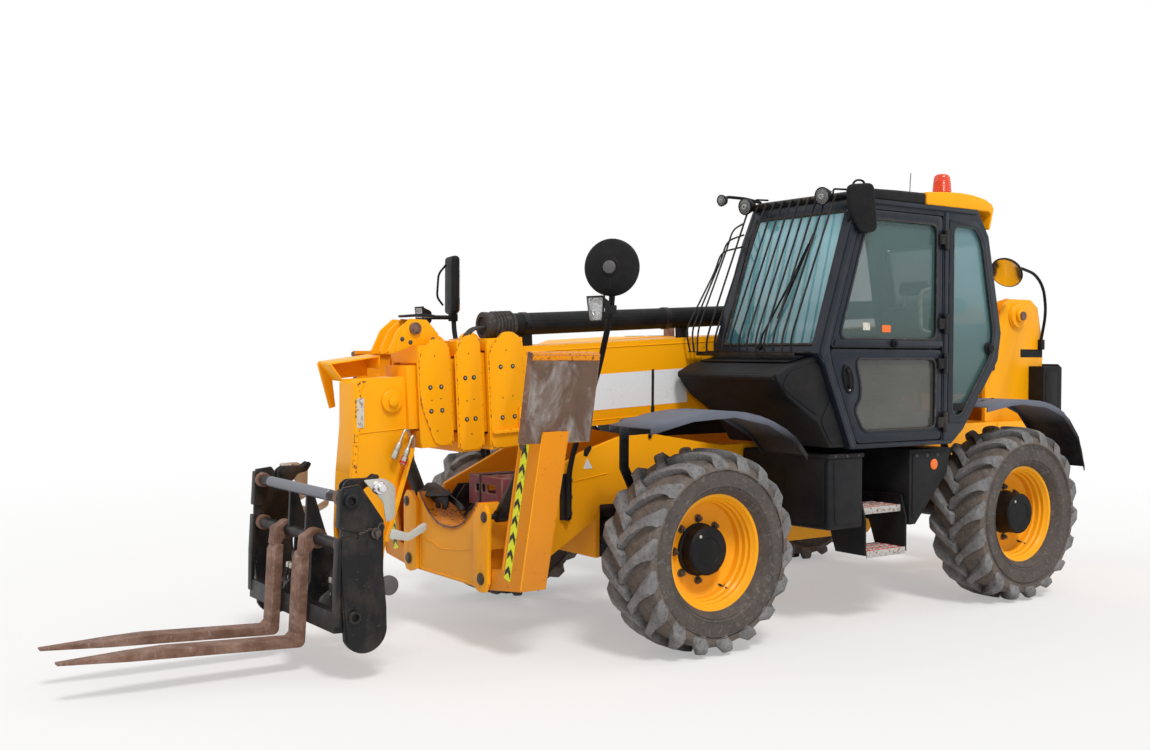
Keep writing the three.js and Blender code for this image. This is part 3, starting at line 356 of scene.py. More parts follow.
# finishes
class Wave:
    # a node socket that takes part in plain arithmetic
    def __init__(self, finish, socket):
        self.finish = finish
        self.socket = socket

    def joinUp(self, kind, first, second):
        return self.finish.node("ShaderNodeMath", {"operation": kind}, {0: first, 1: second})

    def __add__(self, other):
        return self.joinUp("ADD", self, other)

    def __mul__(self, other):
        return self.joinUp("MULTIPLY", self, other)

    def __sub__(self, other):
        return self.joinUp("SUBTRACT", self, other)

    def __rsub__(self, other):
        return self.joinUp("SUBTRACT", other, self)

    def __truediv__(self, other):
        return self.joinUp("DIVIDE", self, other)

    __radd__ = __add__
    __rmul__ = __mul__

    def above(self, level, softness):
        # 0 below the level and 1 above it, with a soft step between
        rise = (self - (level - softness)) / (2 * softness)
        return self.finish.node("ShaderNodeClamp", {}, {"Value": rise})

    def part(self, name):
        return Wave(self.finish, self.socket.node.outputs[name])


class Finish:
    def __init__(self, name, **fixed):
        self.material = bpy.data.materials.new(name)
        self.material.use_nodes = True
        self.tree = self.material.node_tree
        self.shader = self.tree.nodes["Principled BSDF"]
        for socket, value in fixed.items():
            self.shader.inputs[socket.replace("_", " ")].default_value = value
        self.place = self.node("ShaderNodeTexCoord", {}, {}, "Object")

    def node(self, kind, settings, sockets, output=0):
        made = self.tree.nodes.new(kind)
        for word, value in settings.items():
            if word == "stops":
                self.setStops(made.color_ramp, value)
            else:
                setattr(made, word, value)
        for socket, value in sockets.items():
            if isinstance(value, Wave):
                self.tree.links.new(value.socket, made.inputs[socket])
            else:
                made.inputs[socket].default_value = value
        return Wave(self, made.outputs[output])

    def setStops(self, ramp, stops):
        while len(ramp.elements) < len(stops):
            ramp.elements.new(0.5)
        for element, (spot, colour) in zip(ramp.elements, stops):
            element.position = spot
            element.color = colour

    def noise(self, scale, detail=4, roughness=0.55, place=None, distortion=0.0):
        return self.node("ShaderNodeTexNoise", {}, {"Vector": place or self.place, "Scale": scale, "Detail": detail,
            "Roughness": roughness, "Distortion": distortion})

    def stretched(self, x, y, z, turn=(0, 0, 0), shift=(0, 0, 0)):
        return self.node("ShaderNodeMapping", {}, {"Vector": self.place, "Scale": (x, y, z), "Rotation": turn,
            "Location": shift})

    def axis(self, letter):
        split = self.node("ShaderNodeSeparateXYZ", {}, {0: self.place})
        return split.part(letter)

    def mix(self, share, first, second):
        return self.node("ShaderNodeMix", {"data_type": "RGBA"}, {0: share, 6: first, 7: second}, 2)

    def feed(self, **values):
        for socket, value in values.items():
            self.tree.links.new(value.socket, self.shader.inputs[socket.replace("_", " ")])

    def bump(self, height, strength, distance=0.001):
        made = self.node("ShaderNodeBump", {}, {"Height": height, "Strength": strength, "Distance": distance})
        self.tree.links.new(made.socket, self.shader.inputs["Normal"])

    def done(self):
        return self.material


def paint(red, green, blue):
    return (red, green, blue, 1.0)


shades = {
    "yellow": paint(0.98, 0.38, 0.001),
    "yellowFaded": paint(1.0, 0.44, 0.004),
    # deeper yellow, used on the legs and stained parts: on the legs it is partly dirt, partly painted shade on their
    # front faces
    "yellowDeep": paint(0.74, 0.235, 0.001),
    "yellowDeepFaded": paint(0.86, 0.31, 0.003),
    "primer": paint(0.1, 0.055, 0.035),
    "rust": paint(0.19, 0.075, 0.03),
    "dust": paint(0.34, 0.25, 0.17),
    "black": paint(0.007, 0.007, 0.0085),
    # bluish tint: painted sky reflection in the cab black
    "cabSkyTinted": paint(0.009, 0.014, 0.023),
    "blackWorn": paint(0.085, 0.083, 0.082),
    "plastic": paint(0.0045, 0.0047, 0.0058),
    "plasticPale": paint(0.02, 0.022, 0.026),
    "fender": paint(0.008, 0.009, 0.012),
    # painted sky light: the pale bluish colour of the fender tops
    "fenderSkyLitTop": paint(0.15, 0.166, 0.21),
    "rubber": paint(0.04, 0.036, 0.034),
    "rubberDusty": paint(0.115, 0.092, 0.08),
    "treadDirt": paint(0.205, 0.16, 0.13),
    "lugTop": paint(0.3, 0.295, 0.3),
}


def yellowPaint(name, chipLevel, dirt=0.14, base="yellow"):
    made = Finish(name, Coat_Weight=0.06, Coat_Roughness=0.15, Specular_IOR_Level=0.16)
    fading = made.noise(1.7, 3)
    colour = made.mix(fading, shades[base], shades[base + "Faded"])
    low = made.axis("Z")
    grime = made.noise(6, 8, 0.7) * (1.15 - low).above(0.35, 0.5) * dirt
    grimy = made.mix(grime, colour, shades["dust"])
    chips = made.noise(55, 6, 0.62, distortion=0.4).above(chipLevel, 0.012)
    rusty = made.mix(made.noise(30, 3), shades["primer"], shades["rust"])
    made.feed(Base_Color=made.mix(chips, grimy, rusty), Roughness=0.34 + made.noise(9, 5) * 0.14 + chips * 0.35
        + grime * 0.5)
    made.bump(made.noise(240, 2) * 0.12 - chips * 0.9, 0.25, 0.0006)
    return made.done()


def blackPaint(name, wearLevel, roughness=0.38, dust=0.14, base="black"):
    made = Finish(name, Coat_Weight=0.05, Specular_IOR_Level=0.24)
    streaks = made.noise(9, 6, 0.65, made.stretched(1, 1, 0.6))
    dusty = made.mix(streaks.above(0.64, 0.2) * dust, shades[base], shades["dust"])
    wear = made.noise(38, 7, 0.68, distortion=0.6).above(wearLevel, 0.02)
    made.feed(Base_Color=made.mix(wear, dusty, shades["blackWorn"]), Roughness=roughness + made.noise(11, 5) * 0.22
        - wear * 0.1)
    made.bump(made.noise(180, 3) * 0.2 - wear * 0.5, 0.3, 0.0005)
    return made.done()


def mouldedPlastic(name, paleness=0.5, grain=700, base="plastic", dust=0.05, pale="plasticPale", skyLitFrom=None):
    made = Finish(name, Specular_IOR_Level=0.17)
    bleachAndSkyLight = made.noise(2.6, 5, 0.6).above(0.5, 0.25) * paleness
    if skyLitFrom:  # painted sky light: paler and bluer above this height, where the fender tops face the sky, with the random bleached patches mixed in
        bleachAndSkyLight = (bleachAndSkyLight * 0.35 + 0.65) * made.axis("Z").above(skyLitFrom, 0.06)
    dusty = made.mix(made.noise(7, 8, 0.7).above(0.62, 0.2) * dust, shades[base], shades["dust"])
    scratches = made.noise(22, 3, 0.5, made.stretched(1, 1, 9, (0.4, 0.7, 0.2))).above(0.7, 0.02) * 0.25
    made.feed(Base_Color=made.mix(bleachAndSkyLight + scratches, dusty, shades[pale]),
        Roughness=0.5 + made.noise(12, 4) * 0.15)
    made.bump(made.noise(grain, 2), 0.12, 0.0004)
    return made.done()


def tyreRubber(name, dustiness, base="rubberDusty"):
    made = Finish(name, Specular_IOR_Level=0.35)
    patches = made.noise(9, 8, 0.7).above(0.45, 0.3)
    marks = made.noise(60, 6, 0.65, distortion=0.8).above(0.57, 0.05) * 0.5
    colour = made.mix(patches * dustiness, shades["rubber"], shades[base])
    scuffs = made.noise(26, 5, 0.6, distortion=1.2).above(0.6, 0.05) * 0.35
    worn = made.mix(marks, colour, shades["rubber"])
    made.feed(Base_Color=made.mix(scuffs, worn, paint(0.21, 0.2, 0.19)), Roughness=0.72 + patches * 0.16 - scuffs
        * 0.3)
    made.bump(made.noise(90, 6, 0.7), 0.4, 0.0018)
    return made.done()


def rustySteel(name, bare=0.35):
    made = Finish(name, Metallic=0.25)
    patches = made.noise(7, 8, 0.72, made.stretched(1, 1, 1.6))
    ramp = made.node("ShaderNodeValToRGB", {"stops": [(0.25, paint(0.055, 0.032, 0.025)),
        (0.46, paint(0.17, 0.085, 0.055)), (0.6, paint(0.26, 0.155, 0.115)), (0.8, paint(0.36, 0.28, 0.24))]},
        {0: patches})
    rubbed = made.noise(16, 6, 0.6, made.stretched(6, 1, 1, (0.1, 0.5, 0.1))).above(0.64, 0.06) * bare
    made.feed(Base_Color=made.mix(rubbed, ramp, paint(0.36, 0.35, 0.34)), Roughness=0.72 - rubbed * 0.35)
    made.bump(made.noise(75, 8, 0.75), 0.45, 0.0012)
    return made.done()


def plainMetal(name, colour, roughness, metallic=1.0, grain=120):
    made = Finish(name, Metallic=metallic)
    spots = made.noise(grain, 5, 0.6)
    made.feed(Base_Color=made.mix(spots.above(0.62, 0.12) * 0.4, colour, shades["dust"]), Roughness=roughness
        + spots * 0.18)
    made.bump(spots, 0.1, 0.0004)
    return made.done()


def windowGlass(name, tint, alpha, cloudiness=0.12, sky=None, skyFrom=1.7, skyTo=2.6):
    # tinted glass with a soft film of dust, paler towards the sky it mirrors
    made = Finish(name, IOR=1.5, Specular_IOR_Level=0.8)
    film = made.noise(2.1, 5, 0.6).above(0.55, 0.3) * cloudiness
    height = made.node("ShaderNodeClamp", {}, {"Value": (made.axis("Z") - skyFrom) / (skyTo - skyFrom)})
    drift = made.noise(1.3, 3) * 0.5 + height * 0.75 - 0.12
    shade = made.mix(drift, tint, sky or tint)
    made.feed(Base_Color=made.mix(film, shade, paint(0.62, 0.66, 0.62)), Roughness=0.02 + film * 0.4,
        Alpha=alpha + film)
    made.material.surface_render_method = "BLENDED"
    return made.done()


def plainPaint(name, colour, roughness=0.4, wear=0.0, wearColour=None, metallic=0.0):
    made = Finish(name, Metallic=metallic)
    flakes = made.noise(48, 6, 0.65, distortion=0.5).above(0.62 - wear, 0.03) * (1 if wear else 0.15)
    made.feed(Base_Color=made.mix(flakes, colour, wearColour or shades["dust"]), Roughness=roughness
        + made.noise(15, 4) * 0.15)
    made.bump(made.noise(150, 3) - flakes * 0.5, 0.15, 0.0004)
    return made.done()


def lensGlass(name, colour):
    made = Finish(name, IOR=1.45, Coat_Weight=0.6)
    flutes = made.node("ShaderNodeTexWave", {"bands_direction": "Y"},
        {"Vector": made.place, "Scale": 28.0, "Distortion": 0.0})
    patches = made.noise(18, 3)
    made.feed(Base_Color=made.mix(flutes * patches, colour, paint(0.62, 0.64, 0.66)), Roughness=0.08 + patches
        * 0.12, Alpha=0.14 + flutes * 0.22)
    made.bump(flutes, 0.5, 0.002)
    made.material.surface_render_method = "BLENDED"
    return made.done()


def padSteel(name):
    # rusty plate with broad silvery patches where it scrapes the ground
    made = Finish(name, Metallic=0.3)
    rust = made.mix(made.noise(9, 8, 0.7), paint(0.075, 0.045, 0.032), paint(0.22, 0.13, 0.09))
    broad = made.noise(5.5, 6, 0.62, made.stretched(1, 1, 0.55, (0.3, 0, 0), (0.4, 0.2, 0.9)), 0.6).above(0.54, 0.07)
    fine = made.noise(34, 6, 0.6, made.stretched(1, 1, 0.25, (0.2, 0, 0))).above(0.52, 0.1)
    shine = broad * (0.35 + fine * 0.5)
    made.feed(Base_Color=made.mix(shine, rust, paint(0.42, 0.4, 0.38)), Roughness=0.72 - shine * 0.3)
    made.bump(made.noise(60, 8, 0.75) - shine * 0.4, 0.45, 0.0014)
    return made.done()


finishes = {
    "yellow": yellowPaint("yellow_paint", 0.735),
    "yellowEdge": yellowPaint("yellow_edge", 0.555),
    "yellowWorn": yellowPaint("yellow_worn", 0.575),
    # legs: deeper yellow and more grime, partly dirt, partly painted shade on their front faces
    "yellowDirtyShaded": yellowPaint("yellow_dull", 0.668, 0.25, "yellowDeep"),
    "yellowStained": yellowPaint("yellow_stained", 0.59, 0.45, "yellowDeep"),
    "yellowClean": yellowPaint("yellow_clean", 0.8, 0.08),
    "black": blackPaint("black_paint", 0.66),
    "blackEdge": blackPaint("black_edge", 0.5),
    # the cab black carries a bluish tint painted in for sky reflection
    "cabBlack": blackPaint("cab_black", 0.76, 0.3, 0.04, "cabSkyTinted"),
    "cabEdge": blackPaint("cab_edge", 0.62, 0.3, 0.04, "cabSkyTinted"),
    "plastic": mouldedPlastic("moulded_plastic"),
    # the fenders are paler and bluer above the given height: painted sky light on their tops, with bleached patches
    "fender": mouldedPlastic("fender_plastic", 0.8, 700, "fender", 0.1, "fenderSkyLitTop", 1.235),
    "fenderEdge": mouldedPlastic("fender_edge", 1.0, 700, "fender", 0.08, "fenderSkyLitTop", 1.15),
    "plasticSmooth": mouldedPlastic("smooth_plastic", 0.2, 1400),
    "plasticEdge": mouldedPlastic("plastic_edge", 0.95),
    "tyre": tyreRubber("tyre_wall", 0.95),
    "lug": tyreRubber("tyre_lug", 0.95, "lugTop"),
    "treadDirt": tyreRubber("tread_dirt", 0.95, "treadDirt"),
    "seal": tyreRubber("window_seal", 0.15),
    "rusty": rustySteel("rusty_steel"),
    "rustyRubbed": rustySteel("rubbed_steel", 1.0),
    "chrome": plainMetal("polished_rod", paint(0.75, 0.75, 0.76), 0.12),
    "zinc": plainMetal("zinc_plate", paint(0.56, 0.55, 0.5), 0.38),
    "iron": plainMetal("cast_iron", paint(0.11, 0.11, 0.115), 0.55, 0.6),
    "darkPin": plainMetal("dark_pin", paint(0.1, 0.085, 0.075), 0.45, 0.8),
    "windscreen": windowGlass("windscreen_glass", paint(0.01, 0.105, 0.125), 0.7, 0.01, paint(0.26, 0.6, 0.69), 1.6,
        2.5),
    "sideGlass": windowGlass("side_glass", paint(0.055, 0.09, 0.075), 0.4, 0.04, paint(0.1, 0.22, 0.22), 1.5, 2.6),
    "quarterGlass": windowGlass("quarter_tint", paint(0.07, 0.13, 0.11), 0.36, 0.03, paint(0.26, 0.5, 0.55), 1.3,
        2.5),
    "darkGlass": windowGlass("lower_glass", paint(0.045, 0.045, 0.036), 0.66, 0.12, paint(0.06, 0.06, 0.05), 0.9,
        1.7),
    "mirrorGlass": plainMetal("mirror_glass", paint(0.85, 0.87, 0.9), 0.03),
    "lens": lensGlass("lamp_lens", paint(0.55, 0.56, 0.57)),
    "beaconRed": plainPaint("beacon_lens", paint(0.72, 0.055, 0.012), 0.14),
    "orange": plainPaint("orange_reflector", paint(0.85, 0.16, 0.01), 0.25),
    "white": plainPaint("white_band", paint(0.78, 0.8, 0.82), 0.35),
    "label": plainPaint("blank_plate", paint(0.62, 0.6, 0.52), 0.5, 0.06),
    "hazard": plainPaint("warning_yellow", paint(0.8, 0.88, 0.02), 0.4, 0.02),
    "hazardDark": plainPaint("warning_black", paint(0.012, 0.013, 0.012), 0.4),
    "maroon": plainPaint("maroon_paint", paint(0.155, 0.014, 0.022), 0.5, 0.02, shades["primer"]),
    "treadRed": plainPaint("tread_red", paint(0.66, 0.06, 0.03), 0.55, 0.06, paint(0.5, 0.48, 0.46)),
    "treadPale": plainPaint("tread_pale", paint(0.46, 0.44, 0.42), 0.6, 0.05, shades["rust"]),
    "redRing": plainPaint("red_ring", paint(0.55, 0.01, 0.01), 0.4),
    "grabRed": plainPaint("grab_red", paint(0.55, 0.05, 0.01), 0.4),
    "hose": tyreRubber("hose_rubber", 0.25),
    "cream": plainPaint("cream_rail", paint(0.55, 0.53, 0.42), 0.45, 0.03),
    "padSole": padSteel("pad_sole"),
    "blued": plainMetal("blued_bar", paint(0.16, 0.17, 0.2), 0.32, 0.85),
}
print("finishes made")


def seatCloth(name):
    made = Finish(name, Sheen_Weight=0.3, Sheen_Roughness=0.5)
    weave = made.node("ShaderNodeTexVoronoi", {}, {"Vector": made.place, "Scale": 420.0}, "Distance")
    made.feed(Base_Color=made.mix(weave, paint(0.012, 0.012, 0.014), paint(0.045, 0.045, 0.05)),
        Roughness=0.85 + weave * 0.1)
    made.bump(weave, 0.4, 0.001)
    return made.done()


finishes["cloth"] = seatCloth("seat_cloth")

# what shows where an edge is worn
edgeOf = {
    "yellow": "yellowEdge", "yellowDirtyShaded": "yellowEdge", "yellowWorn": "yellowEdge", "yellowClean": "yellow",
    "black": "blackEdge", "cabBlack": "cabEdge", "plastic": "plasticEdge", "plasticSmooth": "plasticEdge",
    "fender": "fenderEdge", "rusty": "rustyRubbed", "padSole": "rustyRubbed",
}
# the finishes that belong to each slot of the record, with the slot's plain one first
slotsOf = {
    "yellow": ("yellow", "yellowWorn", "yellowDirtyShaded", "yellowStained", "yellowClean", "hazard", "maroon", "white",
        "label"),
    "black_paint": ("black", "cabBlack", "hazardDark", "treadRed", "treadPale"),
    "black_plastic": ("plastic", "plasticSmooth", "fender", "seal", "hose", "orange", "redRing"),
    "bright_steel": ("chrome", "zinc", "darkPin", "blued"),
    "glass": ("sideGlass", "windscreen", "quarterGlass", "darkGlass", "mirrorGlass", "lens", "beaconRed"),
    "fork_steel": ("rusty", "padSole"),
    "engine_iron": ("iron",),
    "seat_cloth": ("cloth",),
    "tyre": ("tyre",),
}


# shapes shared by the pieces below
def rounded(outline, reach, steps=4):
    # a closed outline whose corners are turned into short arcs
    path = []
    count = len(outline)
    for index, corner in enumerate(outline):
        before, after = Vector(outline[index - 1]), Vector(outline[(index + 1) % count])
        corner = Vector(corner)
        near = min(reach, (before - corner).length * 0.45, (after - corner).length * 0.45)
        entry = corner + (before - corner).normalized() * near
        leave = corner + (after - corner).normalized() * near
        for step in range(steps + 1):
            share = step / steps
            path.append(tuple(entry.lerp(corner, share).lerp(corner.lerp(leave, share), share)))
    return path


def shrunk(outline, step):
    # the outline moved inwards by the step
    area = sum(a[0] * b[1] - b[0] * a[1] for a, b in zip(outline, outline[1:] + outline[:1]))
    turn = 1 if area > 0 else -1
    moved = []
    for index, corner in enumerate(outline):
        before, after = Vector(outline[index - 1]), Vector(outline[(index + 1) % len(outline)])
        corner = Vector(corner)
        first, second = (corner - before).normalized(), (after - corner).normalized()
        normals = [Vector((-side.y, side.x)) * turn for side in (first, second)]
        middle = (normals[0] + normals[1]).normalized()
        moved.append(tuple(corner + middle * (step / max(0.3, middle.dot(normals[0])))))
    return moved


def framed(name, outline, opening, span, width=0.003):
    # a flat frame in the xz plane: its outline with a rounded opening cut through
    piece = cutPlate(name, outline, span, "xz", 0)
    low, high = min(span), max(span)
    cutAway(piece, cutPlate("opening", opening, (low - 0.02, high + 0.02), "xz", 0))
    return roundEdges(piece, width, 2, 28)


def spun(name, profile, start, end, steps=32):
    # (radius, share of the length) points turned round the line from start to end
    length = (end - start).length
    piece = lathe(name, [(radius, share * length) for radius, share in profile], steps)
    piece.matrix_world = Matrix.Rotation(math.pi / 2, 4, "X")
    applyPlace(piece)
    return aroundLine(piece, start, end)


def boltOn(spot, outward, size=0.011, ring=0.0):
    # a hexagon head on its washer, with a collar when the ring is given
    outward = outward.normalized()
    made = [drum("head", spot, spot + outward * size * 0.75, size, 0.0012, 6), drum("washer", spot,
        spot + outward * size * 0.22, size * 1.45, 0.001, 16)]
    if ring:
        made.append(drum("collar", spot, spot + outward * 0.003, ring, 0.001, 20))
    return joined("bolt", made)


def weld(name, points, radius=0.005):
    # a bead that follows an edge, with the small ripple of its passes
    bead = pipe(name, points, radius, 0.01, 8)
    pick(bead)
    ripple = bpy.data.textures.new("ripple", "CLOUDS")
    ripple.noise_scale = 0.012
    lumps = bead.modifiers.new("lumps", "DISPLACE")
    lumps.texture = ripple
    lumps.strength = radius * 0.7
    applyModifiers(bead)
    return bead


def bothSides(pieces, finish, bodies="root", slotName=None, worn=None):
    # the left-hand pieces joined as one, and its mirror image on the right
    left = joined(pieces[0].name, pieces)
    right = mirrored(left, left.name + "_right")
    left.name += "_left"
    bodies = (bodies, bodies) if isinstance(bodies, str) else bodies
    place(left, finish, bodies[0], slotName, worn)
    place(right, finish, bodies[1], slotName, worn)
# wheels, built round the origin with the outer side towards +Y and then copied to the four hubs
tyre = {
    "halfWidth": 0.2,
    "beadRadius": 0.312,
    "carcassShare": 0.925,
    "lugCount": 18,
    "lugHalfWidth": 0.041,
    "lugLean": -0.82,
    "ribs": (0.355, 0.372, 0.452, 0.463),
}


def carcassProfile(radius):
    half = tyre["halfWidth"]
    crown = radius * tyre["carcassShare"]
    bead = tyre["beadRadius"]
    outerSide = [(bead, half * 0.62), (bead + 0.012, half * 0.7)]
    for rib in tyre["ribs"]:
        bulge = half * (0.76 + 0.235 * math.sin(math.pi * min(1, (rib - bead) / (crown - bead)) ** 0.9))
        outerSide += [(rib - 0.004, bulge), (rib, bulge + 0.004), (rib + 0.004, bulge + 0.001)]
    outerSide += [(crown - 0.065, half * 0.985), (crown - 0.028, half * 0.93), (crown - 0.006, half * 0.72)]
    innerSide = [(reach, -along) for reach, along in reversed(outerSide)]
    return outerSide + [(crown, half * 0.35), (crown, -half * 0.35)] + innerSide + [(bead - 0.004, 0)]


def treadBar(radius):
    # one bar of the tread: a tapered block that runs slantwise from the middle over the shoulder
    thick = tyre["lugHalfWidth"]
    crown = radius * tyre["carcassShare"]
    lean = tyre["lugLean"]
    deselectAll()
    bpy.ops.mesh.primitive_grid_add(x_subdivisions=2, y_subdivisions=5, size=1)
    bar = bpy.context.object
    stations = [-0.012, 0.055, 0.115, 0.168, 0.196, 0.2]
    for vertex in bar.data.vertices:
        row = round((vertex.co.y + 0.5) * 5)
        column = round((vertex.co.x + 0.5) * 2) - 1
        along = stations[row]
        swell = (1.12, 0.92, 0.98, 1.1, 1.26, 1.3)[row]
        sag = (0, 0, 0.002, 0.012, 0.03, 0.062)[row]
        turn = (along * lean * (1.15 - along * 1.3) + column * thick * swell * 0.72) / radius
        reach = radius - sag
        vertex.co = (reach * math.sin(turn), along * 0.985, reach * math.cos(turn))
    bpy.ops.object.mode_set(mode="EDIT")
    bpy.ops.mesh.select_all(action="SELECT")
    bpy.ops.mesh.extrude_region_move()
    bpy.ops.transform.resize(value=(1.22, 0.97, 1), center_override=(0, 0.09, 0))
    bpy.ops.transform.translate(value=(0, 0, -(radius - crown) - 0.018))
    faceOutwards(bar)
    twoSlots(bar)
    for face in bar.data.polygons:  # only the worn top stays pale
        face.material_index = 0 if face.normal.z > 0.55 else 1
    roundEdges(bar, 0.0045, 2, 32)
    return bar


def buildTyre(radius, name):
    carcass = lathe(name, carcassProfile(radius), 72)
    bar = treadBar(radius)
    twin = copied(bar, "bar_twin", Matrix.Rotation(math.pi / tyre["lugCount"], 4, "Y")
        @ Matrix.Scale(-1, 4, (0, 1, 0)))
    faceOutwards(twin)
    pair = joined("bars", [bar, twin])
    ringOf(pair, tyre["lugCount"])
    coat(pair, "lug", "treadDirt")
    coat(carcass, "tyre", "treadDirt")
    for face in carcass.data.polygons:
        reach = math.hypot(face.center.x, face.center.z)
        face.material_index = 1 if reach > radius * tyre["carcassShare"] - 0.05 else 0
    return joined(name, [carcass, pair])


rim = {
    "halfWidth": 0.137,
    "seatRadius": 0.3045,
    "lipRadius": 0.327,
    "discDepth": -0.018,
    "capRadius": 0.135,
    "nutCircle": 0.172,
    "nutCount": 8,
}


def buildRim(capFace, name):
    half, seat, lip, disc = rim["halfWidth"], rim["seatRadius"], rim["lipRadius"], rim["discDepth"]
    barrel = seat - 0.01
    shell = lathe(name, [(0.1, disc - 0.055), (0.1, disc - 0.012), (0.225, disc - 0.014), (0.262, disc - 0.034),
        (barrel - 0.008, disc - 0.04), (barrel - 0.004, -half + 0.02), (lip - 0.006, -half), (lip, -half + 0.006),
        (lip - 0.003, -half + 0.013), (seat, -half + 0.016), (seat, half - 0.016), (lip - 0.003, half - 0.013),
        (lip, half - 0.006), (lip - 0.006, half), (barrel + 0.01, half - 0.004), (barrel + 0.002, half - 0.022),
        (barrel - 0.006, half - 0.03), (barrel - 0.006, half - 0.052), (barrel - 0.016, half - 0.062),
        (barrel - 0.016, half - 0.09), (barrel - 0.026, half - 0.1), (barrel - 0.026, disc + 0.018),
        (barrel - 0.05, disc + 0.004), (0.225, disc), (0.16, disc + 0.006), (0.06, disc + 0.006),
        (0.06, disc - 0.055),
        ], 64)
    coat(shell, "yellow")
    cap = lathe("cap", [(0, disc), (rim["capRadius"] + 0.012, disc), (rim["capRadius"] + 0.012, disc + 0.022),
        (rim["capRadius"], disc + 0.028), (rim["capRadius"], capFace - 0.012),
        (rim["capRadius"] - 0.01, capFace - 0.003), (rim["capRadius"] - 0.03, capFace), (0.078, capFace),
        (0.074, capFace - 0.004), (0.03, capFace - 0.004), (0, capFace - 0.004),
        ], 48)
    coat(cap, "plasticSmooth", "plasticSmooth")
    inner = lathe("inner", [(0, -0.052), (0.098, -0.052), (0.098, -0.04), (0, -0.04)], 32)
    coat(inner, "black")
    circle = rim["nutCircle"]
    nut = drum("nut", Vector((0, disc + 0.004, circle)), Vector((0, disc + 0.03, circle)), 0.0165, 0.002, 6)
    washer = drum("washer", Vector((0, disc + 0.002, circle)), Vector((0, disc + 0.009, circle)), 0.024, 0.002, 20)
    stud = drum("stud", Vector((0, disc + 0.02, circle)), Vector((0, disc + 0.04, circle)), 0.009, 0.002, 12)
    nuts = joined("nuts", [nut, washer, stud])
    ringOf(nuts, rim["nutCount"])
    coat(nuts, "darkPin")
    arcs = []
    for turn in range(3):
        start = 2 * math.pi * turn / 3
        arc = [Vector((0.088 * math.sin(start + step * 0.16), capFace - 0.001,
            0.088 * math.cos(start + step * 0.16))) for step in range(7)]
        arcs.append(pipe("arc", arc, 0.0028, 0.005, 6))
    lines = joined("arcs", arcs)
    coat(lines, "plastic")
    drain = drum("drain", Vector((0.062, capFace - 0.006, 0.085)), Vector((0.062, capFace + 0.0005, 0.085)), 0.01,
        0.002, 14)
    coat(drain, "zinc")
    valve = pipe("valve", [Vector((-0.15, disc, -0.21)), Vector((-0.155, disc + 0.03, -0.215)),
        Vector((-0.165, disc + 0.07, -0.228))], 0.006, 0.01)
    guard = block("guard", Vector((-0.205, disc + 0.002, -0.262)), Vector((-0.155, disc + 0.045, -0.205)), 0.006)
    coat(guard, "yellow")
    coat(valve, "seal")
    return joined(name, [shell, cap, inner, nuts, lines, drain, valve, guard])


def placeWheels():
    for end, capFace in (("front", 0.086), ("rear", 0.13)):
        low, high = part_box(f"tyre_{end}_left")
        radius = (high.z - low.z) / 2
        tyreShape = buildTyre(radius, f"tyre_{end}_shape")
        rimShape = buildRim(capFace, f"rim_{end}_shape")
        for side, facing in (("left", 1), ("right", -1)):
            low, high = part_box(f"tyre_{end}_{side}")
            spot = Matrix.Translation((low + high) / 2) @ Matrix.Scale(facing, 4, (0, 1, 0))
            for shape, node in ((tyreShape, f"tyre_{end}_{side}"), (rimShape, f"rim_{end}_{side}")):
                piece = copied(shape, node + "_detailed", spot)
                if facing < 0:
                    faceOutwards(piece)
                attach(piece, bodyOf(node))
                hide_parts(node)
        bpy.data.objects.remove(tyreShape)
        bpy.data.objects.remove(rimShape)


placeWheels()
print("wheels made")


# boom
boom = {
    "pinX": -3.85,
    "pinZ": 1.96,
    "slope": 3.0,
    "collars": ({"body": "boom", "span": (4.53, 4.77), "side": 0.214, "foot": -0.6, "crown": 0.055,
        "boltRows": (0.3, 0.74), "frontCut": 0.01}, {"body": "section_2", "span": (4.8, 4.965), "side": 0.19,
            "foot": -0.598, "crown": 0.046, "boltRows": (0.37, 0.73), "frontCut": 0.01}, {"body": "section_3",
            "span": (4.984, 5.186), "side": 0.165, "foot": -0.56, "crown": 0.034, "boltRows": (0.45, 0.67),
            "frontCut": 0.085},
    ),
    "cheekThickness": 0.011,
    "bandSpan": (3.3, 4.06),
    "bandRise": (-0.44, -0.225),
    "tubeSide": 0.09,
    "tubeRise": 0.095,
    "tubeRadius": 0.065,
}


def onBoom(along, side, rise):
    slope = math.radians(boom["slope"])
    return at(boom["pinX"] + along * math.cos(slope) + rise * math.sin(slope), side, boom["pinZ"] - along
        * math.sin(slope) + rise * math.cos(slope))


def boomPlate(name, outline, sides, width=0.003, segments=2):
    corners = [onBoom(along, sides[0], rise) for along, rise in outline]
    return slab(name, corners, Vector((0, sides[1] - sides[0], 0)), width, segments)


def finishBoomSections():
    for node, wide in (("boom_outer", 0.009), ("boom_section_2", 0.006), ("boom_section_3", 0.006),
            ("boom_nose", 0.005)):
        softened(node, "yellow", wide, 3)
    softened("hose_tube", "plasticSmooth", 0)


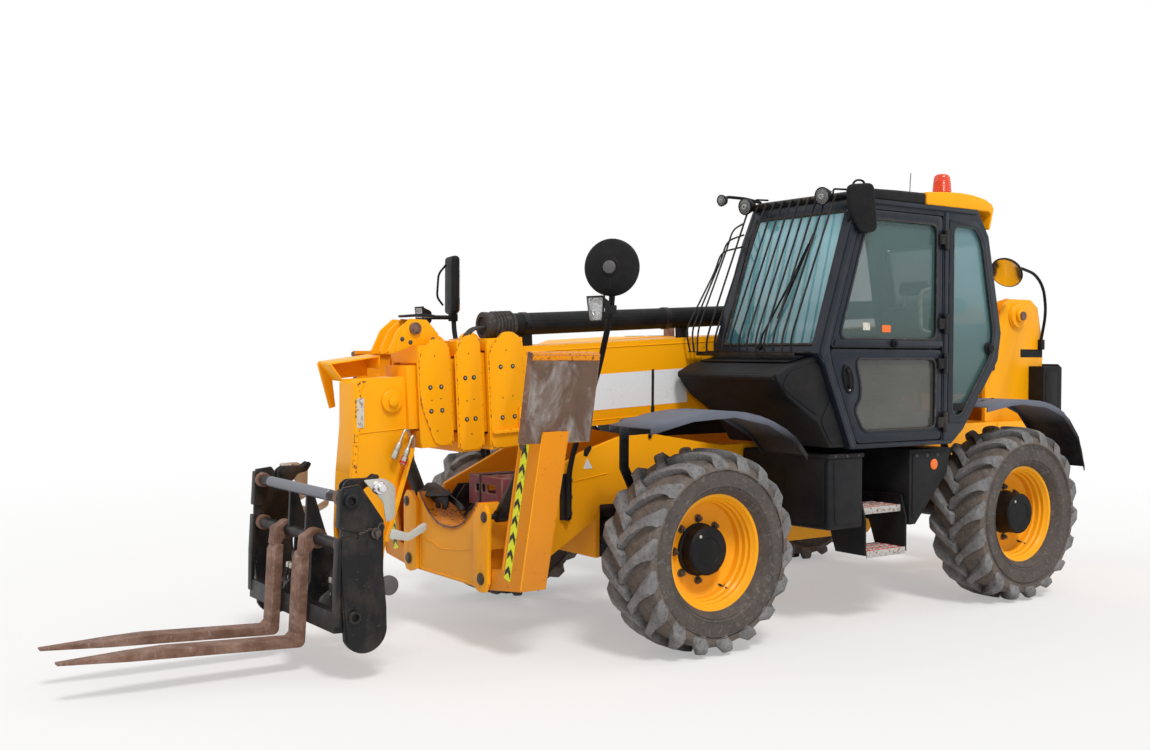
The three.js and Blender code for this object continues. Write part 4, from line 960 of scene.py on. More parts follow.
def collarCheeks():
    # the side plates that carry the slide pads, with their bolts set on black discs painted as the shade of their
    # recesses, and black dots painted as the shade of small holes
    for number, collar in enumerate(boom["collars"], 1):
        rear, front = collar["span"]
        side, foot, top = collar["side"] + 0.0004, collar["foot"], collar["crown"]
        wide = front - rear
        cut = collar["frontCut"]
        outline = rounded([(rear + 0.004, foot), (front - 0.004 - cut, foot),
            (front - 0.004, foot + 0.02 + cut * 2.6), (front - 0.004, top - wide * 0.42), (front - wide * 0.4, top),
            (rear + wide * 0.3, top + 0.004), (rear + 0.004, top - wide * 0.2)], 0.06, 6)
        cheek = boomPlate(f"collar_cheek_{number}", outline, (side, side + boom["cheekThickness"]), 0.0035, 2)
        bolts = []
        holes = []
        face = side + boom["cheekThickness"]
        for row in collar["boltRows"]:
            for share in (0.33, 0.67):
                spot = onBoom(rear + wide * share, face - 0.001, top + (foot - top) * row)
                bolts.append(boltOn(spot, Vector((0, 1, 0)), 0.0065))
                # black disc round each bolt: painted shade of its recess
                holes.append(drum("recess", spot, spot + Vector((0, 0.0024, 0)), 0.0135, 0.0008, 20))
        # black dots: painted shade of small holes in the cheek
        for share, row in ((0.5, 0.16), (0.36, 0.56), (0.64, 0.57), (0.5, 0.86)):
            hole = onBoom(rear + wide * share, face - 0.001, top + (foot - top) * row)
            holes.append(drum("plug", hole, hole + Vector((0, 0.002, 0)), 0.004, 0.0005, 12))
        bodies = collar["body"]
        bothSides([cheek], "yellow", bodies)
        bothSides([joined(f"collar_bolts_{number}", bolts)], "zinc", bodies)
        bothSides([joined(f"collar_plugs_{number}", holes)], "black", bodies, worn="black")
        seams = [weld("seam", [onBoom(edge, side + 0.002, foot + 0.02), onBoom(edge, side + 0.002, top - 0.1)],
            0.0045) for edge in (rear + 0.001, front - 0.001)]
        bothSides([joined(f"collar_seam_{number}", seams)], "yellow", bodies, worn="yellow")
    # the angled rib low on the first collar
    rib = boomPlate("collar_rib", [(4.56, -0.52), (4.765, -0.52), (4.765, -0.498), (4.585, -0.498), (4.585, -0.38),
        (4.56, -0.38)], (0.2255, 0.243), 0.003)
    bothSides([rib], "yellow", "boom")


def hoseTubeFront():
    # ribbed boot, clamp and the elbow under the front end of the hose tube
    side, rise, radius = boom["tubeSide"], boom["tubeRise"], boom["tubeRadius"]
    profile = [(0, 0), (radius + 0.004, 0)]
    for ring in range(6):
        start = 0.06 + ring * 0.11
        profile += [(radius + 0.005, start), (radius + 0.016, start + 0.03), (radius + 0.016, start + 0.06),
            (radius + 0.005, start + 0.09)]
    profile += [(radius + 0.012, 0.8), (radius + 0.014, 0.97), (radius + 0.006, 1), (radius - 0.012, 1),
        (radius - 0.016, 0.93), (0, 0.93)]
    boot = spun("tube_boot", profile, onBoom(4.52, side, rise), onBoom(4.722, side, rise), 36)
    place(boot, "seal", "boom")
    straps = []
    for along in (0.75, 2.05, 3.35, 4.42):
        straps.append(spun("strap", [(radius, 0), (radius + 0.005, 0.08), (radius + 0.005, 0.92), (radius, 1),
            (radius - 0.01, 1), (radius - 0.01, 0)], onBoom(along, side, rise), onBoom(along + 0.045, side, rise),
            28))
        straps.append(block("buckle", Vector((-0.02, -0.012, -0.012)), Vector((0.02, 0.012, 0.012)), 0.003))
        straps[-1].matrix_world = Matrix.Translation(onBoom(along + 0.022, side + radius + 0.006, rise))
        applyPlace(straps[-1])
    place(joined("tube_straps", straps), "black", "boom")
    hoses = []
    for index in range(3):
        shift = 0.02 * (index - 1)
        hoses.append(pipe("hose", [onBoom(4.705, side + shift, rise - 0.01),
            onBoom(4.78, side + shift, rise - 0.012), onBoom(4.83, side + shift, rise - 0.05),
            onBoom(4.85, side + shift, rise - 0.13)], 0.009, 0.04))
    place(joined("tube_hoses", hoses), "hose", "boom")


def boomMarks():
    low, high = boom["bandRise"]
    rear, front = boom["bandSpan"]
    band = boomPlate("side_band", rounded([(rear, low), (front, low), (front, high), (rear, high)], 0.004),
        (0.2003, 0.2016), 0)
    place(band, "white", "boom")
    # the seams along the outer section
    seams = [weld("seam", [onBoom(0.46, 0.2005, rise), onBoom(4.5, 0.2005, rise)], 0.0035) for rise in (-0.5, -0.066)]
    bothSides([joined("boom_seam", seams)], "yellow", "boom", worn="yellow")
    boss = spun("pivot_boss", [(0, 0), (0.095, 0), (0.095, 0.25), (0.088, 0.4), (0.052, 0.45), (0.052, 0.8),
        (0.046, 0.92), (0.03, 0.95), (0.02, 0.85), (0, 0.85)], at(boom["pinX"], 0.3, boom["pinZ"]),
        at(boom["pinX"], 0.352, boom["pinZ"]), 36)
    bothSides([boss], "yellow")
    pinEnd = drum("pivot_pin", at(boom["pinX"], 0.34, boom["pinZ"]), at(boom["pinX"], 0.362, boom["pinZ"]), 0.034,
        0.004, 24)
    bothSides([pinEnd], "rusty", "root", "bright_steel")


def headOfBoom():
    # pin and strap block between the curved ribs at the boom head
    pins = []
    for start, finish, radius in ((-0.138, -0.112, 0.034), (0.112, 0.138, 0.034), (-0.146, 0.146, 0.021)):
        pins.append(drum("pin", onBoom(5.17, start, 0.095), onBoom(5.17, finish, 0.095), radius, 0.003, 24))
    place(joined("head_pin", pins), "rusty", "section_3")
    strap = boomPlate("head_strap", rounded([(5.02, 0.15), (5.1, 0.16), (5.21, 0.158), (5.215, 0.172), (5.1, 0.176),
        (5.02, 0.166)], 0.008), (0.01, 0.09), 0.003)
    wheel = drum("roller", onBoom(5.1, 0.018, 0.1), onBoom(5.1, 0.086, 0.1), 0.052, 0.006, 36)
    place(joined("head_strap_block", [strap, wheel]), "black", "section_3")
    ribs = [boomPlate("rib", rounded([(5.03, 0.005), (5.17, 0.005), (5.3, -0.036), (5.255, 0.085), (5.185, 0.146),
        (5.09, 0.137), (5.03, 0.07)], 0.03, 4), (side, side + 0.007), 0.002) for side in (0.1125, 0.0865)]
    place(joined("head_rib_plates", ribs), "yellow", "section_3")
    bolts = [boltOn(onBoom(along, 0.1195, rise), Vector((0, 1, 0)), 0.009) for along,
        rise in ((5.06, 0.03), (5.2, 0.02), (5.25, 0.04))]
    place(joined("head_bolts", bolts), "darkPin", "section_3")


nose = {
    "face": 0.0953,
    "boss": (1.45, 1.385),
    "label": ((1.612, 1.245), (1.655, 1.245), (1.655, 1.405), (1.612, 1.405)),
}


def noseDetails():
    face = nose["face"]
    bossX, bossZ = nose["boss"]
    cap = spun("nose_boss", [(0, 0), (0.061, 0), (0.061, 0.42), (0.056, 0.5), (0.04, 0.52), (0.038, 0.56),
        (0.028, 0.57), (0.028, 0.95), (0.024, 1), (0, 1)], at(bossX, face, bossZ), at(bossX, face + 0.044, bossZ),
        36)
    bothSides([cap], "yellow", "section_4")
    # folded plate down the front edge
    edge = cutPlate("nose_edge", [(1.6, 1.497), (1.64, 1.495), (1.662, 1.48), (1.664, 1.25), (1.684, 1.0),
        (1.696, 0.7), (1.684, 0.49), (1.662, 0.375), (1.64, 0.372), (1.655, 0.49), (1.666, 0.7), (1.654, 1.0),
        (1.634, 1.25), (1.63, 1.44)], (face - 0.001, face + 0.004), "xz", 0.0015)
    bothSides([edge], "yellowWorn", "section_4")
    label = cutPlate("nose_label", rounded(nose["label"], 0.006), (face + 0.0042, face + 0.0055), "xz", 0)
    place(label, "label", "section_4")
    seams = [weld("seam", points, 0.004) for points in ([at(1.345, face, 1.235), at(1.64, face, 1.215)],
        [at(1.342, face, 1.02), at(1.48, face, 0.64), at(1.5, face, 0.492)],
        [at(1.48, face, 0.64), at(1.69, face, 0.64)])]
    bothSides([joined("nose_seam", seams)], "yellow", "section_4", worn="yellow")
    # hinge boss round the lower pin
    lower = spun("tilt_boss", [(0, 0), (0.062, 0), (0.062, 0.6), (0.056, 0.8), (0.04, 0.85), (0.034, 1), (0, 1)],
        at(1.6, face - 0.002, 0.41), at(1.6, face + 0.0045, 0.41), 32)
    bothSides([lower], "yellow", "section_4")
    # folded sheet that guards the far end of the head, with its rusty lip
    sheet = [
        cutPlate("sheet", [(1.425, 1.52), (1.425, 1.64), (1.72, 1.6), (1.728, 1.585), (1.655, 1.335), (1.62, 1.345),
            (1.64, 1.5)], (-0.262, -0.25), "xz", 0.002),
        slab("shelf", [at(1.425, -0.25, 1.64), at(1.72, -0.25, 1.6), at(1.72, -0.098, 1.59),
            at(1.425, -0.098, 1.632)], Vector((0, 0, -0.008)), 0.002),
        slab("lip", [at(1.42, -0.25, 1.642), at(1.42, -0.098, 1.634), at(1.42, -0.098, 1.56),
            at(1.42, -0.25, 1.56)], Vector((0.008, 0, 0)), 0.002),
        slab("gusset", [at(1.64, -0.25, 1.5), at(1.64, -0.098, 1.495), at(1.715, -0.098, 1.588),
            at(1.715, -0.25, 1.596)], Vector((0.008, 0, -0.006)), 0.002),
    ]
    place(joined("head_sheet", sheet), "yellow", "section_4", worn="rusty")


def noseHoses():
    # two bent steel pipes with quick couplings on the nose side, and the bar that guards them
    face = nose["face"]
    routes = (
        [at(1.33, face + 0.004, 1.14), at(1.345, face + 0.03, 1.2), at(1.385, face + 0.05, 1.24),
            at(1.425, face + 0.048, 1.15)],
        [at(1.32, face + 0.004, 1.105), at(1.325, face + 0.045, 1.17), at(1.352, face + 0.07, 1.205),
            at(1.385, face + 0.07, 1.12)],
    )
    pipes = [pipe("line", route, 0.0075, 0.035, 12) for route in routes]
    place(joined("nose_pipes", pipes), "zinc", "section_4")
    couplings = []
    rings = []
    for number, route in enumerate(routes):
        end = route[-1]
        along = (route[-1] - route[-2]).normalized()
        profile = [(0, 0), (0.01, 0), (0.012, 0.08), (0.017, 0.1), (0.017, 0.34), (0.014, 0.37), (0.0165, 0.4),
            (0.0165, 0.46), (0.014, 0.49), (0.019, 0.52), (0.019, 0.9), (0.016, 0.97), (0.012, 1), (0, 1)]
        couplings.append(spun("coupling", profile, end - along * 0.01, end + along * 0.085, 20))
        if number == 1:
            rings.append(spun("ring", [(0.012, 0), (0.021, 0), (0.021, 1), (0.012, 1), (0.012, 0)],
                end + along * 0.066, end + along * 0.078, 20))
            loop = [end + along * 0.07 + Vector((0.024 * math.cos(turn), 0.012, 0.035 * math.sin(turn)))
                for turn in [step * math.pi / 8 for step in range(17)]]
            rings.append(pipe("tether", loop, 0.0018, 0.002, 6))
    place(joined("nose_couplings", couplings), "zinc", "section_4")
    place(joined("coupling_ring", rings), "redRing", "section_4")
    guardBar = [
        slab("bar", [at(1.318, 0.118, 1.12), at(1.345, 0.118, 1.128), at(1.505, 0.118, 0.625),
            at(1.478, 0.118, 0.618)], Vector((0, 0.012, 0)), 0.003),
        slab("bar_web", [at(1.318, face, 1.12), at(1.326, face, 1.122), at(1.486, face, 0.62),
            at(1.478, face, 0.618)], Vector((0, 0.03, 0)), 0.0015),
    ]
    place(joined("nose_guard_bar", guardBar), "yellow", "section_4")


finishBoomSections()
collarCheeks()
hoseTubeFront()
boomMarks()
headOfBoom()
noseDetails()
noseHoses()
print("boom made")


# stabiliser beam and legs
legs = {
    "face": 1.0392,
    "stripFoot": (0.612, 0.452),
    "stripTop": (0.792, 1.19),
    "stripWidth": 0.062,
    "hazardCount": 8,
    "padMiddle": (0.975, 1.425),
    "padTilt": 11,
    "padHalf": 0.235,
}


def finishLegNodes():
    softened("stabiliser_beam", "yellow", 0.007, 3)
    for side in ("left", "right"):
        # the legs' deeper yellow is partly dirt, partly painted shade on their front faces
        softened(f"stabiliser_leg_{side}", "yellowDirtyShaded", 0.006, 3)
        softened(f"stabiliser_barrel_{side}", "black")
        softened(f"stabiliser_rod_{side}", "chrome", 0.003)


def hazardStrip():
    face = legs["face"]
    foot, top = Vector(legs["stripFoot"]), Vector(legs["stripTop"])
    along = (top - foot).normalized()
    across = Vector((along.y, -along.x))
    length, width = (top - foot).length, legs["stripWidth"]

    def onStrip(up, side):
        spot = foot + along * up + across * side
        return (spot.x, spot.y)

    base = cutPlate("strip", rounded([onStrip(0, 0), onStrip(length, 0), onStrip(length, width), onStrip(0, width)],
        0.006), (face, face + 0.0012), "yz", 0)
    marks = []
    step = length / legs["hazardCount"]
    for number in range(legs["hazardCount"]):
        low = number * step + step * 0.14
        rise, thick = width * 0.55, step * 0.36
        mark = [onStrip(low, 0.004), onStrip(low + rise, width / 2), onStrip(low, width - 0.004),
            onStrip(low + thick, width - 0.004), onStrip(low + thick + rise, width / 2), onStrip(low + thick, 0.004)]
        if low + thick + rise < length:
            marks.append(cutPlate("mark", mark, (face + 0.001, face + 0.0019), "yz", 0))
    bothSides([base], "hazard", ("leg_l", "leg_r"))
    bothSides([joined("leg_hazards", marks)], "hazardDark", ("leg_l", "leg_r"))


def onPad(depth, side):
    # places on the folded pad: the depth is outwards from its sole, the side runs up along it
    tilt = math.radians(legs["padTilt"])
    middle = legs["padMiddle"]
    return (middle[0] + depth * math.cos(tilt) + side * math.sin(tilt), middle[1] - depth * math.sin(tilt) + side
        * math.cos(tilt))


def padSoles():
    half = legs["padHalf"]
    skin = cutPlate("pad_sole", rounded([onPad(0.0282, -half + 0.003), onPad(0.031, -half + 0.003),
        onPad(0.031, half - 0.003), onPad(0.0282, half - 0.003)], 0.001), (0.738, 1.147), "yz", 0.001)
    bothSides([skin], "padSole", ("leg_l", "leg_r"))
    # the bent lip along the upper edge and the scuffed rims down the two sides
    lip = cutPlate("pad_lip", [onPad(0.029, half - 0.04), onPad(0.0345, half - 0.034), onPad(0.0345, half - 0.006),
        onPad(0.028, half + 0.0035), onPad(-0.012, half + 0.0035), onPad(-0.012, half - 0.0005),
        onPad(0.027, half - 0.001)], (0.734, 1.151), "yz", 0.0015)
    rims = [cutPlate("pad_rim", [onPad(-0.01, -half), onPad(0.0312, -half), onPad(0.0312, half),
        onPad(-0.01, half)], span, "yz", 0.001) for span in ((0.731, 0.7385), (1.1465, 1.1535))]
    bothSides([lip], "yellowStained", ("leg_l", "leg_r"), "fork_steel", "rustyRubbed")
    bothSides([joined("pad_rims", rims)], "rusty", ("leg_l", "leg_r"))


def legDetails():
    face = legs["face"]
    pivot = spun("leg_pivot", [(0, 0), (0.034, 0), (0.034, 0.4), (0.03, 0.5), (0.024, 0.5), (0.024, 0.9),
        (0.018, 1), (0, 1)], at(1.066, 0.42, 0.42), at(1.082, 0.42, 0.42), 32)
    base = spun("ram_pivot", [(0, 0), (0.03, 0), (0.03, 0.4), (0.026, 0.5), (0.02, 0.5), (0.02, 0.9), (0.014, 1),
        (0, 1)], at(1.066, 0.45, 0.76), at(1.08, 0.45, 0.76), 32)
    bothSides([pivot, base], "darkPin")
    seams = [weld("seam", [at(face + 0.0005, 0.604, 0.492), at(face + 0.0005, 0.772, 1.235)], 0.0035),
        weld("seam", [at(face + 0.0005, 0.776, 0.412), at(face + 0.0005, 0.975, 1.235)], 0.0035)]
    bothSides([joined("leg_seam", seams)], "yellow", ("leg_l", "leg_r"), worn="yellow")
    pinEnd = drum("ram_eye_pin", at(1.036, 0.8, 1.17), at(1.052, 0.8, 1.17), 0.026, 0.003, 24)
    keeper = cutPlate("keeper", rounded([(0.77, 1.15), (0.842, 1.19), (0.832, 1.21), (0.76, 1.172)], 0.006),
        (1.0395, 1.0445), "yz", 0.001)
    bothSides([joined("leg_eye", [pinEnd, keeper])], "darkPin", ("leg_l", "leg_r"))


def beamCut():
    # the smooth sweep of the cut in the beam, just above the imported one
    path = []
    for start, first, second, finish in (((0.334, 0.826), (0.252, 0.746), (0.192, 0.661), (0.0, 0.656)),
            ((0.0, 0.656), (-0.192, 0.661), (-0.252, 0.746), (-0.334, 0.826))):
        for step in range(17):
            share = step / 16
            rest = 1 - share
            weights = (rest ** 3, 3 * rest * rest * share, 3 * rest * share * share, share ** 3)
            spot = tuple(sum(weight * point[part] for weight, point in zip(weights, (start, first, second, finish)))
                for part in (0, 1))
            if not path or (Vector(path[-1]) - Vector(spot)).length > 0.002:
                path.append(spot)
    return path


def beamDetails():
    # the rolled rusty edge of the cut in the beam, the strip under it, its seams and a crease on its face
    edges = []
    curve = beamCut()
    for x in (1.0435, 0.8465):
        edges.append(pipe("edge", [at(x, side, rise) for side, rise in curve], 0.0055, 0.002, 12))
    place(joined("beam_cut_edge", edges), "rusty")
    liner = cutPlate("beam_liner", curve + [(side, rise - 0.014) for side, rise in reversed(curve)],
        (0.8455, 1.0445), "yz", 0)
    smooth(liner)
    place(liner, "yellowStained")
    seams = [weld("seam", [at(1.0412, side, 0.375), at(1.0412, side, 0.8)], 0.0045) for side in (0.322, -0.322)]
    seams += [weld("seam", [at(1.0412, -0.31, 0.372), at(1.0412, 0.31, 0.372)], 0.004)]
    place(joined("beam_seam", seams), "yellow", worn="yellow")
    creases = [weld("crease", [at(1.0408, -0.3, 0.56), at(1.0408, -0.05, 0.52), at(1.0408, 0.3, 0.56)], 0.003)]
    place(joined("beam_crease", creases), "yellow", worn="yellow")


def maroonProp():
    # the boom prop stowed between the side plates: a channel with windows, held by a strap
    prop = block("stowed_prop", at(0.6, 0.01, 0.785), at(0.905, 0.3695, 0.955), 0)
    cutAway(prop, block("inside", at(0.614, 0.024, 0.799), at(0.891, 0.3555, 0.941), 0))
    for low, high in ((0.085, 0.12), (0.152, 0.185), (0.21, 0.3)):
        cutAway(prop, block("window", at(0.85, low, 0.862), at(0.95, high, 0.906), 0))
    for low, high in ((0.075, 0.17), (0.205, 0.3)):
        for start in (0.64, 0.73, 0.82):
            cutAway(prop, block("window", at(start, low, 0.9), at(start + 0.06, high, 1.0), 0))
            cutAway(prop, block("window", at(start, -0.05, 0.85), at(start + 0.06, 0.05, 0.9), 0))
    roundEdges(prop, 0.006, 3)
    place(prop, "maroon", worn="rusty")
    strap = [block("strap", at(0.9045, 0.128, 0.78), at(0.909, 0.146, 0.9595), 0.001), block("strap",
        at(0.64, 0.128, 0.9545), at(0.909, 0.146, 0.9595), 0.001)]
    place(joined("prop_strap", strap), "black", "root", "black_plastic")
    # sloping black plate on the beam, the notched plate under it and its catch
    sloped = slab("sloped_plate", [at(1.012, -0.42, 0.81), at(0.945, -0.42, 0.866), at(0.934, -0.342, 0.875),
        at(0.978, -0.059, 0.838), at(0.998, -0.094, 0.822), at(1.026, -0.34, 0.798)], Vector((-0.0064, 0, -0.0077)),
        0.002)
    notched = cutPlate("notched_plate", [(-0.36, 0.815), (-0.1, 0.832), (-0.095, 0.77), (-0.125, 0.735),
        (-0.165, 0.735), (-0.165, 0.768), (-0.195, 0.768), (-0.195, 0.735), (-0.245, 0.735), (-0.245, 0.768),
        (-0.275, 0.768), (-0.275, 0.735), (-0.36, 0.735)], (0.976, 0.984), "yz", 0.0015)
    lever = cutPlate("catch", rounded([(-0.165, 0.828), (0.01, 0.778), (0.038, 0.756), (0.012, 0.736),
        (-0.175, 0.792)], 0.012, 3), (0.944, 0.953), "yz", 0.002)
    heads = [boltOn(at(0.984, side, rise), Vector((1, 0, 0)), 0.007) for side,
        rise in ((-0.13, 0.775), (-0.22, 0.788), (-0.305, 0.78))]
    heads.append(boltOn(at(0.953, 0.012, 0.757), Vector((1, 0, 0)), 0.008))
    place(joined("beam_bracket", [sloped, notched, lever]), "black")
    place(joined("beam_bracket_bolts", heads), "darkPin")
    shelf = block("prop_shelf", at(0.56, -0.369, 0.7), at(0.62, 0.369, 0.751), 0.003)
    place(shelf, "black")


def valveAndLines():
    # hoses, pipes and the valve block between the chassis plates, seen through the cut
    parts = [block("valve", at(0.3, -0.13, 0.72), at(0.52, 0.13, 0.86), 0.006, 2)]
    for number in range(4):
        spot = at(0.335 + number * 0.05, 0, 0.86)
        parts.append(drum("spool", spot, spot + Vector((0, 0, 0.05)), 0.018, 0.003, 20))
        parts.append(drum("spool_cap", spot + Vector((0, 0, 0.048)), spot + Vector((0, 0, 0.066)), 0.013, 0.002, 6))
    place(joined("valve_block", parts), "iron")
    lines = []
    for number in range(6):
        side = -0.11 + number * 0.044
        reach = 0.62 + 0.04 * (number % 3)
        lines.append(pipe("line", [at(0.51, side, 0.79), at(reach + 0.08, side * 1.3, 0.8),
            at(0.8, side * 1.9, 0.7 + 0.02 * (number % 2)), at(0.83, side * 2.1, 0.6), at(0.835, side * 2.2, 0.5)],
            0.01, 0.06, 10))
    for number in range(4):
        side = 0.16 + number * 0.028
        lines.append(pipe("line", [at(0.84, side, 0.69), at(0.7, side - 0.02, 0.72), at(0.4, side - 0.01, 0.7),
            at(-0.2, side, 0.74), at(-0.9, side, 0.74)], 0.009, 0.05, 10))
    place(joined("chassis_hoses", lines), "hose")
    bracket = [cutPlate("bracket", [(0.6, 0.7), (0.84, 0.7), (0.84, 0.78), (0.78, 0.86), (0.66, 0.86)],
        (-0.262, -0.252), "xz", 0.002), cutPlate("bracket", [(0.6, 0.7), (0.84, 0.7), (0.84, 0.78), (0.78, 0.86),
            (0.66, 0.86)], (-0.338, -0.328), "xz", 0.002), drum("spindle", at(0.72, -0.345, 0.8),
            at(0.72, -0.245, 0.8), 0.028, 0.003, 20)]
    place(joined("chassis_bracket", bracket), "black")


finishLegNodes()
hazardStrip()
padSoles()
legDetails()
beamDetails()
maroonProp()
valveAndLines()
print("beam and legs made")


# carriage and forks
carriage = {
    "pivotX": 1.6,
    "pivotZ": 0.41,
    "lean": 3.0,
    "plate": (0.568, 0.592),
    "heelRound": 0.034,
}


def onCarriage(ahead, side, rise):
    lean = math.radians(carriage["lean"])
    return at(carriage["pivotX"] + ahead * math.cos(lean) - rise * math.sin(lean), side, carriage["pivotZ"] + ahead
        * math.sin(lean) + rise * math.cos(lean))


def carriagePlate(name, outline, sides, width=0.002, segments=2):
    corners = [onCarriage(ahead, sides[0], rise) for ahead, rise in outline]
    return slab(name, corners, Vector((0, sides[1] - sides[0], 0)), width, segments)


def finishCarriageNodes():
    softened("carriage", "black")
    for side in ("left", "right"):
        node = f"fork_{side}"
        fork = nodeCopy(node, node + "_finished")
        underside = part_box(node)[0].z
        bpy.ops.object.mode_set(mode="EDIT")
        bpy.ops.mesh.select_mode(type="VERT")
        bpy.ops.mesh.select_all(action="DESELECT")
        bpy.ops.object.mode_set(mode="OBJECT")
        for vertex in fork.data.vertices:  # the heel is bent from one bar, so its outer corner is round
            vertex.select = vertex.co.z < underside + 0.002
        bpy.ops.object.mode_set(mode="EDIT")
        bpy.ops.mesh.bevel(offset=carriage["heelRound"], segments=5)
        bpy.ops.object.mode_set(mode="OBJECT")
        roundEdges(fork, 0.006, 3)
        place(fork, "rusty", bodyOf(node), node=node)


def cheekPlates():
    # outer skin of the side plates: rounded foot, the notch at the shaft and the hooked top
    skin = carriage["plate"][1]
    foot = [(0.232 + 0.116 * math.cos(turn), -0.15 + 0.116 * math.sin(turn))
        for turn in [math.radians(180 + step * 16) for step in range(10)]]
    lower = foot + [(0.368, 0.055), (0.384, 0.2), (0.384, 0.305), (0.33, 0.318), (0.3, 0.3), (0.292, 0.33),
        (0.384, 0.352), (0.384, 0.548), (0.302, 0.562), (0.164, 0.388), (0.152, 0.14), (0.124, -0.04)]
    plate = carriagePlate("cheek", lower, (skin - 0.0005, skin + 0.009), 0.003, 2)
    rail = carriagePlate("front_rail", rounded([(0.372, -0.13), (0.392, -0.13), (0.402, 0.1), (0.402, 0.3),
        (0.386, 0.3), (0.38, 0.1)], 0.006), (0.545, 0.6), 0.003, 2)
    hook = carriagePlate("hook", rounded([(0.345, 0.352), (0.402, 0.352), (0.402, 0.545), (0.345, 0.545)], 0.01),
        (0.548, 0.6), 0.004, 2)
    bothSides([plate, rail, hook], "black", "carriage_body")
    bosses = []
    for ahead, rise, radius, hole in ((0.3, -0.085, 0.034, 0.02), (0.35, 0.49, 0.036, 0.021)):
        profile = [(hole - 0.002, 0.1), (hole, 0.95), (radius - 0.006, 1), (radius, 0.75), (radius, 0), (0, 0),
            (0, 0.1), (hole - 0.002, 0.1)]
        bosses.append(spun("boss", profile, onCarriage(ahead, skin + 0.004, rise),
            onCarriage(ahead, skin + 0.03, rise), 32))
    bothSides([joined("carriage_boss", bosses)], "black", "carriage_body")


def latchAndPins():
    skin = carriage["plate"][1]
    plate = carriagePlate("latch_plate", rounded([(0.15, 0.48), (0.268, 0.59), (0.15, 0.6), (0.085, 0.56),
        (0.08, 0.4), (0.128, 0.372)], 0.02, 3), (0.552, 0.559), 0.0015)
    bothSides([plate], "zinc", "carriage_body")
    knob = spun("latch_knob", [(0, 0), (0.034, 0), (0.036, 0.3), (0.03, 0.5), (0.022, 0.55), (0.022, 0.9),
        (0.016, 1), (0, 1)], onCarriage(0.18, 0.545, 0.552), onCarriage(0.18, skin + 0.028, 0.552), 28)
    bothSides([knob], "chrome", "carriage_body")
    lever = carriagePlate("lever", rounded([(0.135, 0.3), (0.02, 0.285), (-0.075, 0.335), (-0.08, 0.368),
        (-0.06, 0.378), (0.025, 0.325), (0.12, 0.352)], 0.014, 3), (0.6, 0.607), 0.0015)
    bothSides([lever], "zinc", "carriage_body")
    pin = [drum("pin", onCarriage(0.205, skin, 0.33), onCarriage(0.205, skin + 0.042, 0.33), 0.016, 0.002, 20),
        drum("collar", onCarriage(0.205, skin + 0.008, 0.33), onCarriage(0.205, skin + 0.02, 0.33), 0.028, 0.003,
            24), pipe("split_pin", [onCarriage(0.205, skin + 0.034, 0.3), onCarriage(0.205, skin + 0.034, 0.365),
            onCarriage(0.19, skin + 0.034, 0.385), onCarriage(0.172, skin + 0.036, 0.372),
            onCarriage(0.176, skin + 0.036, 0.345)], 0.0035, 0.01, 8)]
    for link in range(7):
        centre = onCarriage(0.235 + 0.01 * link, skin + 0.018, 0.352 - 0.004 * link)
        turn = math.pi / 2 * (link % 2)
        loop = [centre + Vector((0.009 * math.cos(step), 0.005 * math.sin(step) * math.cos(turn),
            0.005 * math.sin(step) * math.sin(turn))) for step in [index * math.pi / 5 for index in range(11)]]
        pin.append(pipe("link", loop, 0.0016, 0.002, 6))
    bothSides([joined("carriage_pin", pin)], "darkPin", "carriage_body")
    roller = spun("roller", [(0, 0), (0.044, 0), (0.05, 0.12), (0.05, 0.88), (0.044, 1), (0, 1)],
        onCarriage(0.105, 0.562, 0.06), onCarriage(0.105, 0.588, 0.06), 32)
    bothSides([roller], "iron", "carriage_body")


def shaftDetails():
    # collars, hook blocks and sleeves on the two cross bars
    made = []
    for ahead, rise, radius in ((0.365, 0.5, 0.0285), (0.347, 0.261, 0.0305)):
        for side in (-0.545, 0.505):
            made.append(spun("sleeve", [(radius - 0.006, 0), (radius + 0.01, 0), (radius + 0.012, 0.1),
                (radius + 0.012, 0.9), (radius + 0.01, 1), (radius - 0.006, 1), (radius - 0.006, 0)],
                onCarriage(ahead, side, rise), onCarriage(ahead, side + 0.04, rise), 28))
    place(joined("shaft_sleeves", made), "rusty", "carriage_body")
    hooks = []
    for side in (-0.455, 0.41):
        outline = rounded([(0.33, 0.45), (0.33, 0.56), (0.3, 0.585), (0.18, 0.59), (0.15, 0.615), (0.128, 0.602),
            (0.15, 0.56), (0.205, 0.545), (0.28, 0.45)], 0.012, 3)
        hooks.append(carriagePlate("hook", outline, (side, side + 0.012), 0.002))
        hooks.append(carriagePlate("hook", outline, (side + 0.04, side + 0.052), 0.002))
        hooks.append(drum("hook_pin", onCarriage(0.3, side - 0.006, 0.545), onCarriage(0.3, side + 0.058, 0.545),
            0.014, 0.002, 20))
    place(joined("top_hooks", hooks), "black", "carriage_body")
    sleeve = spun("bar_skin", [(0.0275, 0), (0.0295, 0.002), (0.0295, 0.998), (0.0275, 1), (0.0275, 0)],
        onCarriage(0.365, -0.402, 0.5), onCarriage(0.365, 0.402, 0.5), 32)
    place(sleeve, "blued", "carriage_body")
    stop = carriagePlate("fork_stop", rounded([(0.3, 0.3), (0.322, 0.34), (0.322, 0.4), (0.29, 0.402),
        (0.282, 0.33)], 0.008), (-0.02, 0.03), 0.003)
    post = carriagePlate("fork_post", rounded([(0.29, -0.06), (0.312, -0.06), (0.318, 0.225), (0.29, 0.225)],
        0.006), (-0.012, 0.018), 0.003)
    place(joined("fork_stops", [stop, post]), "black", "carriage_body")


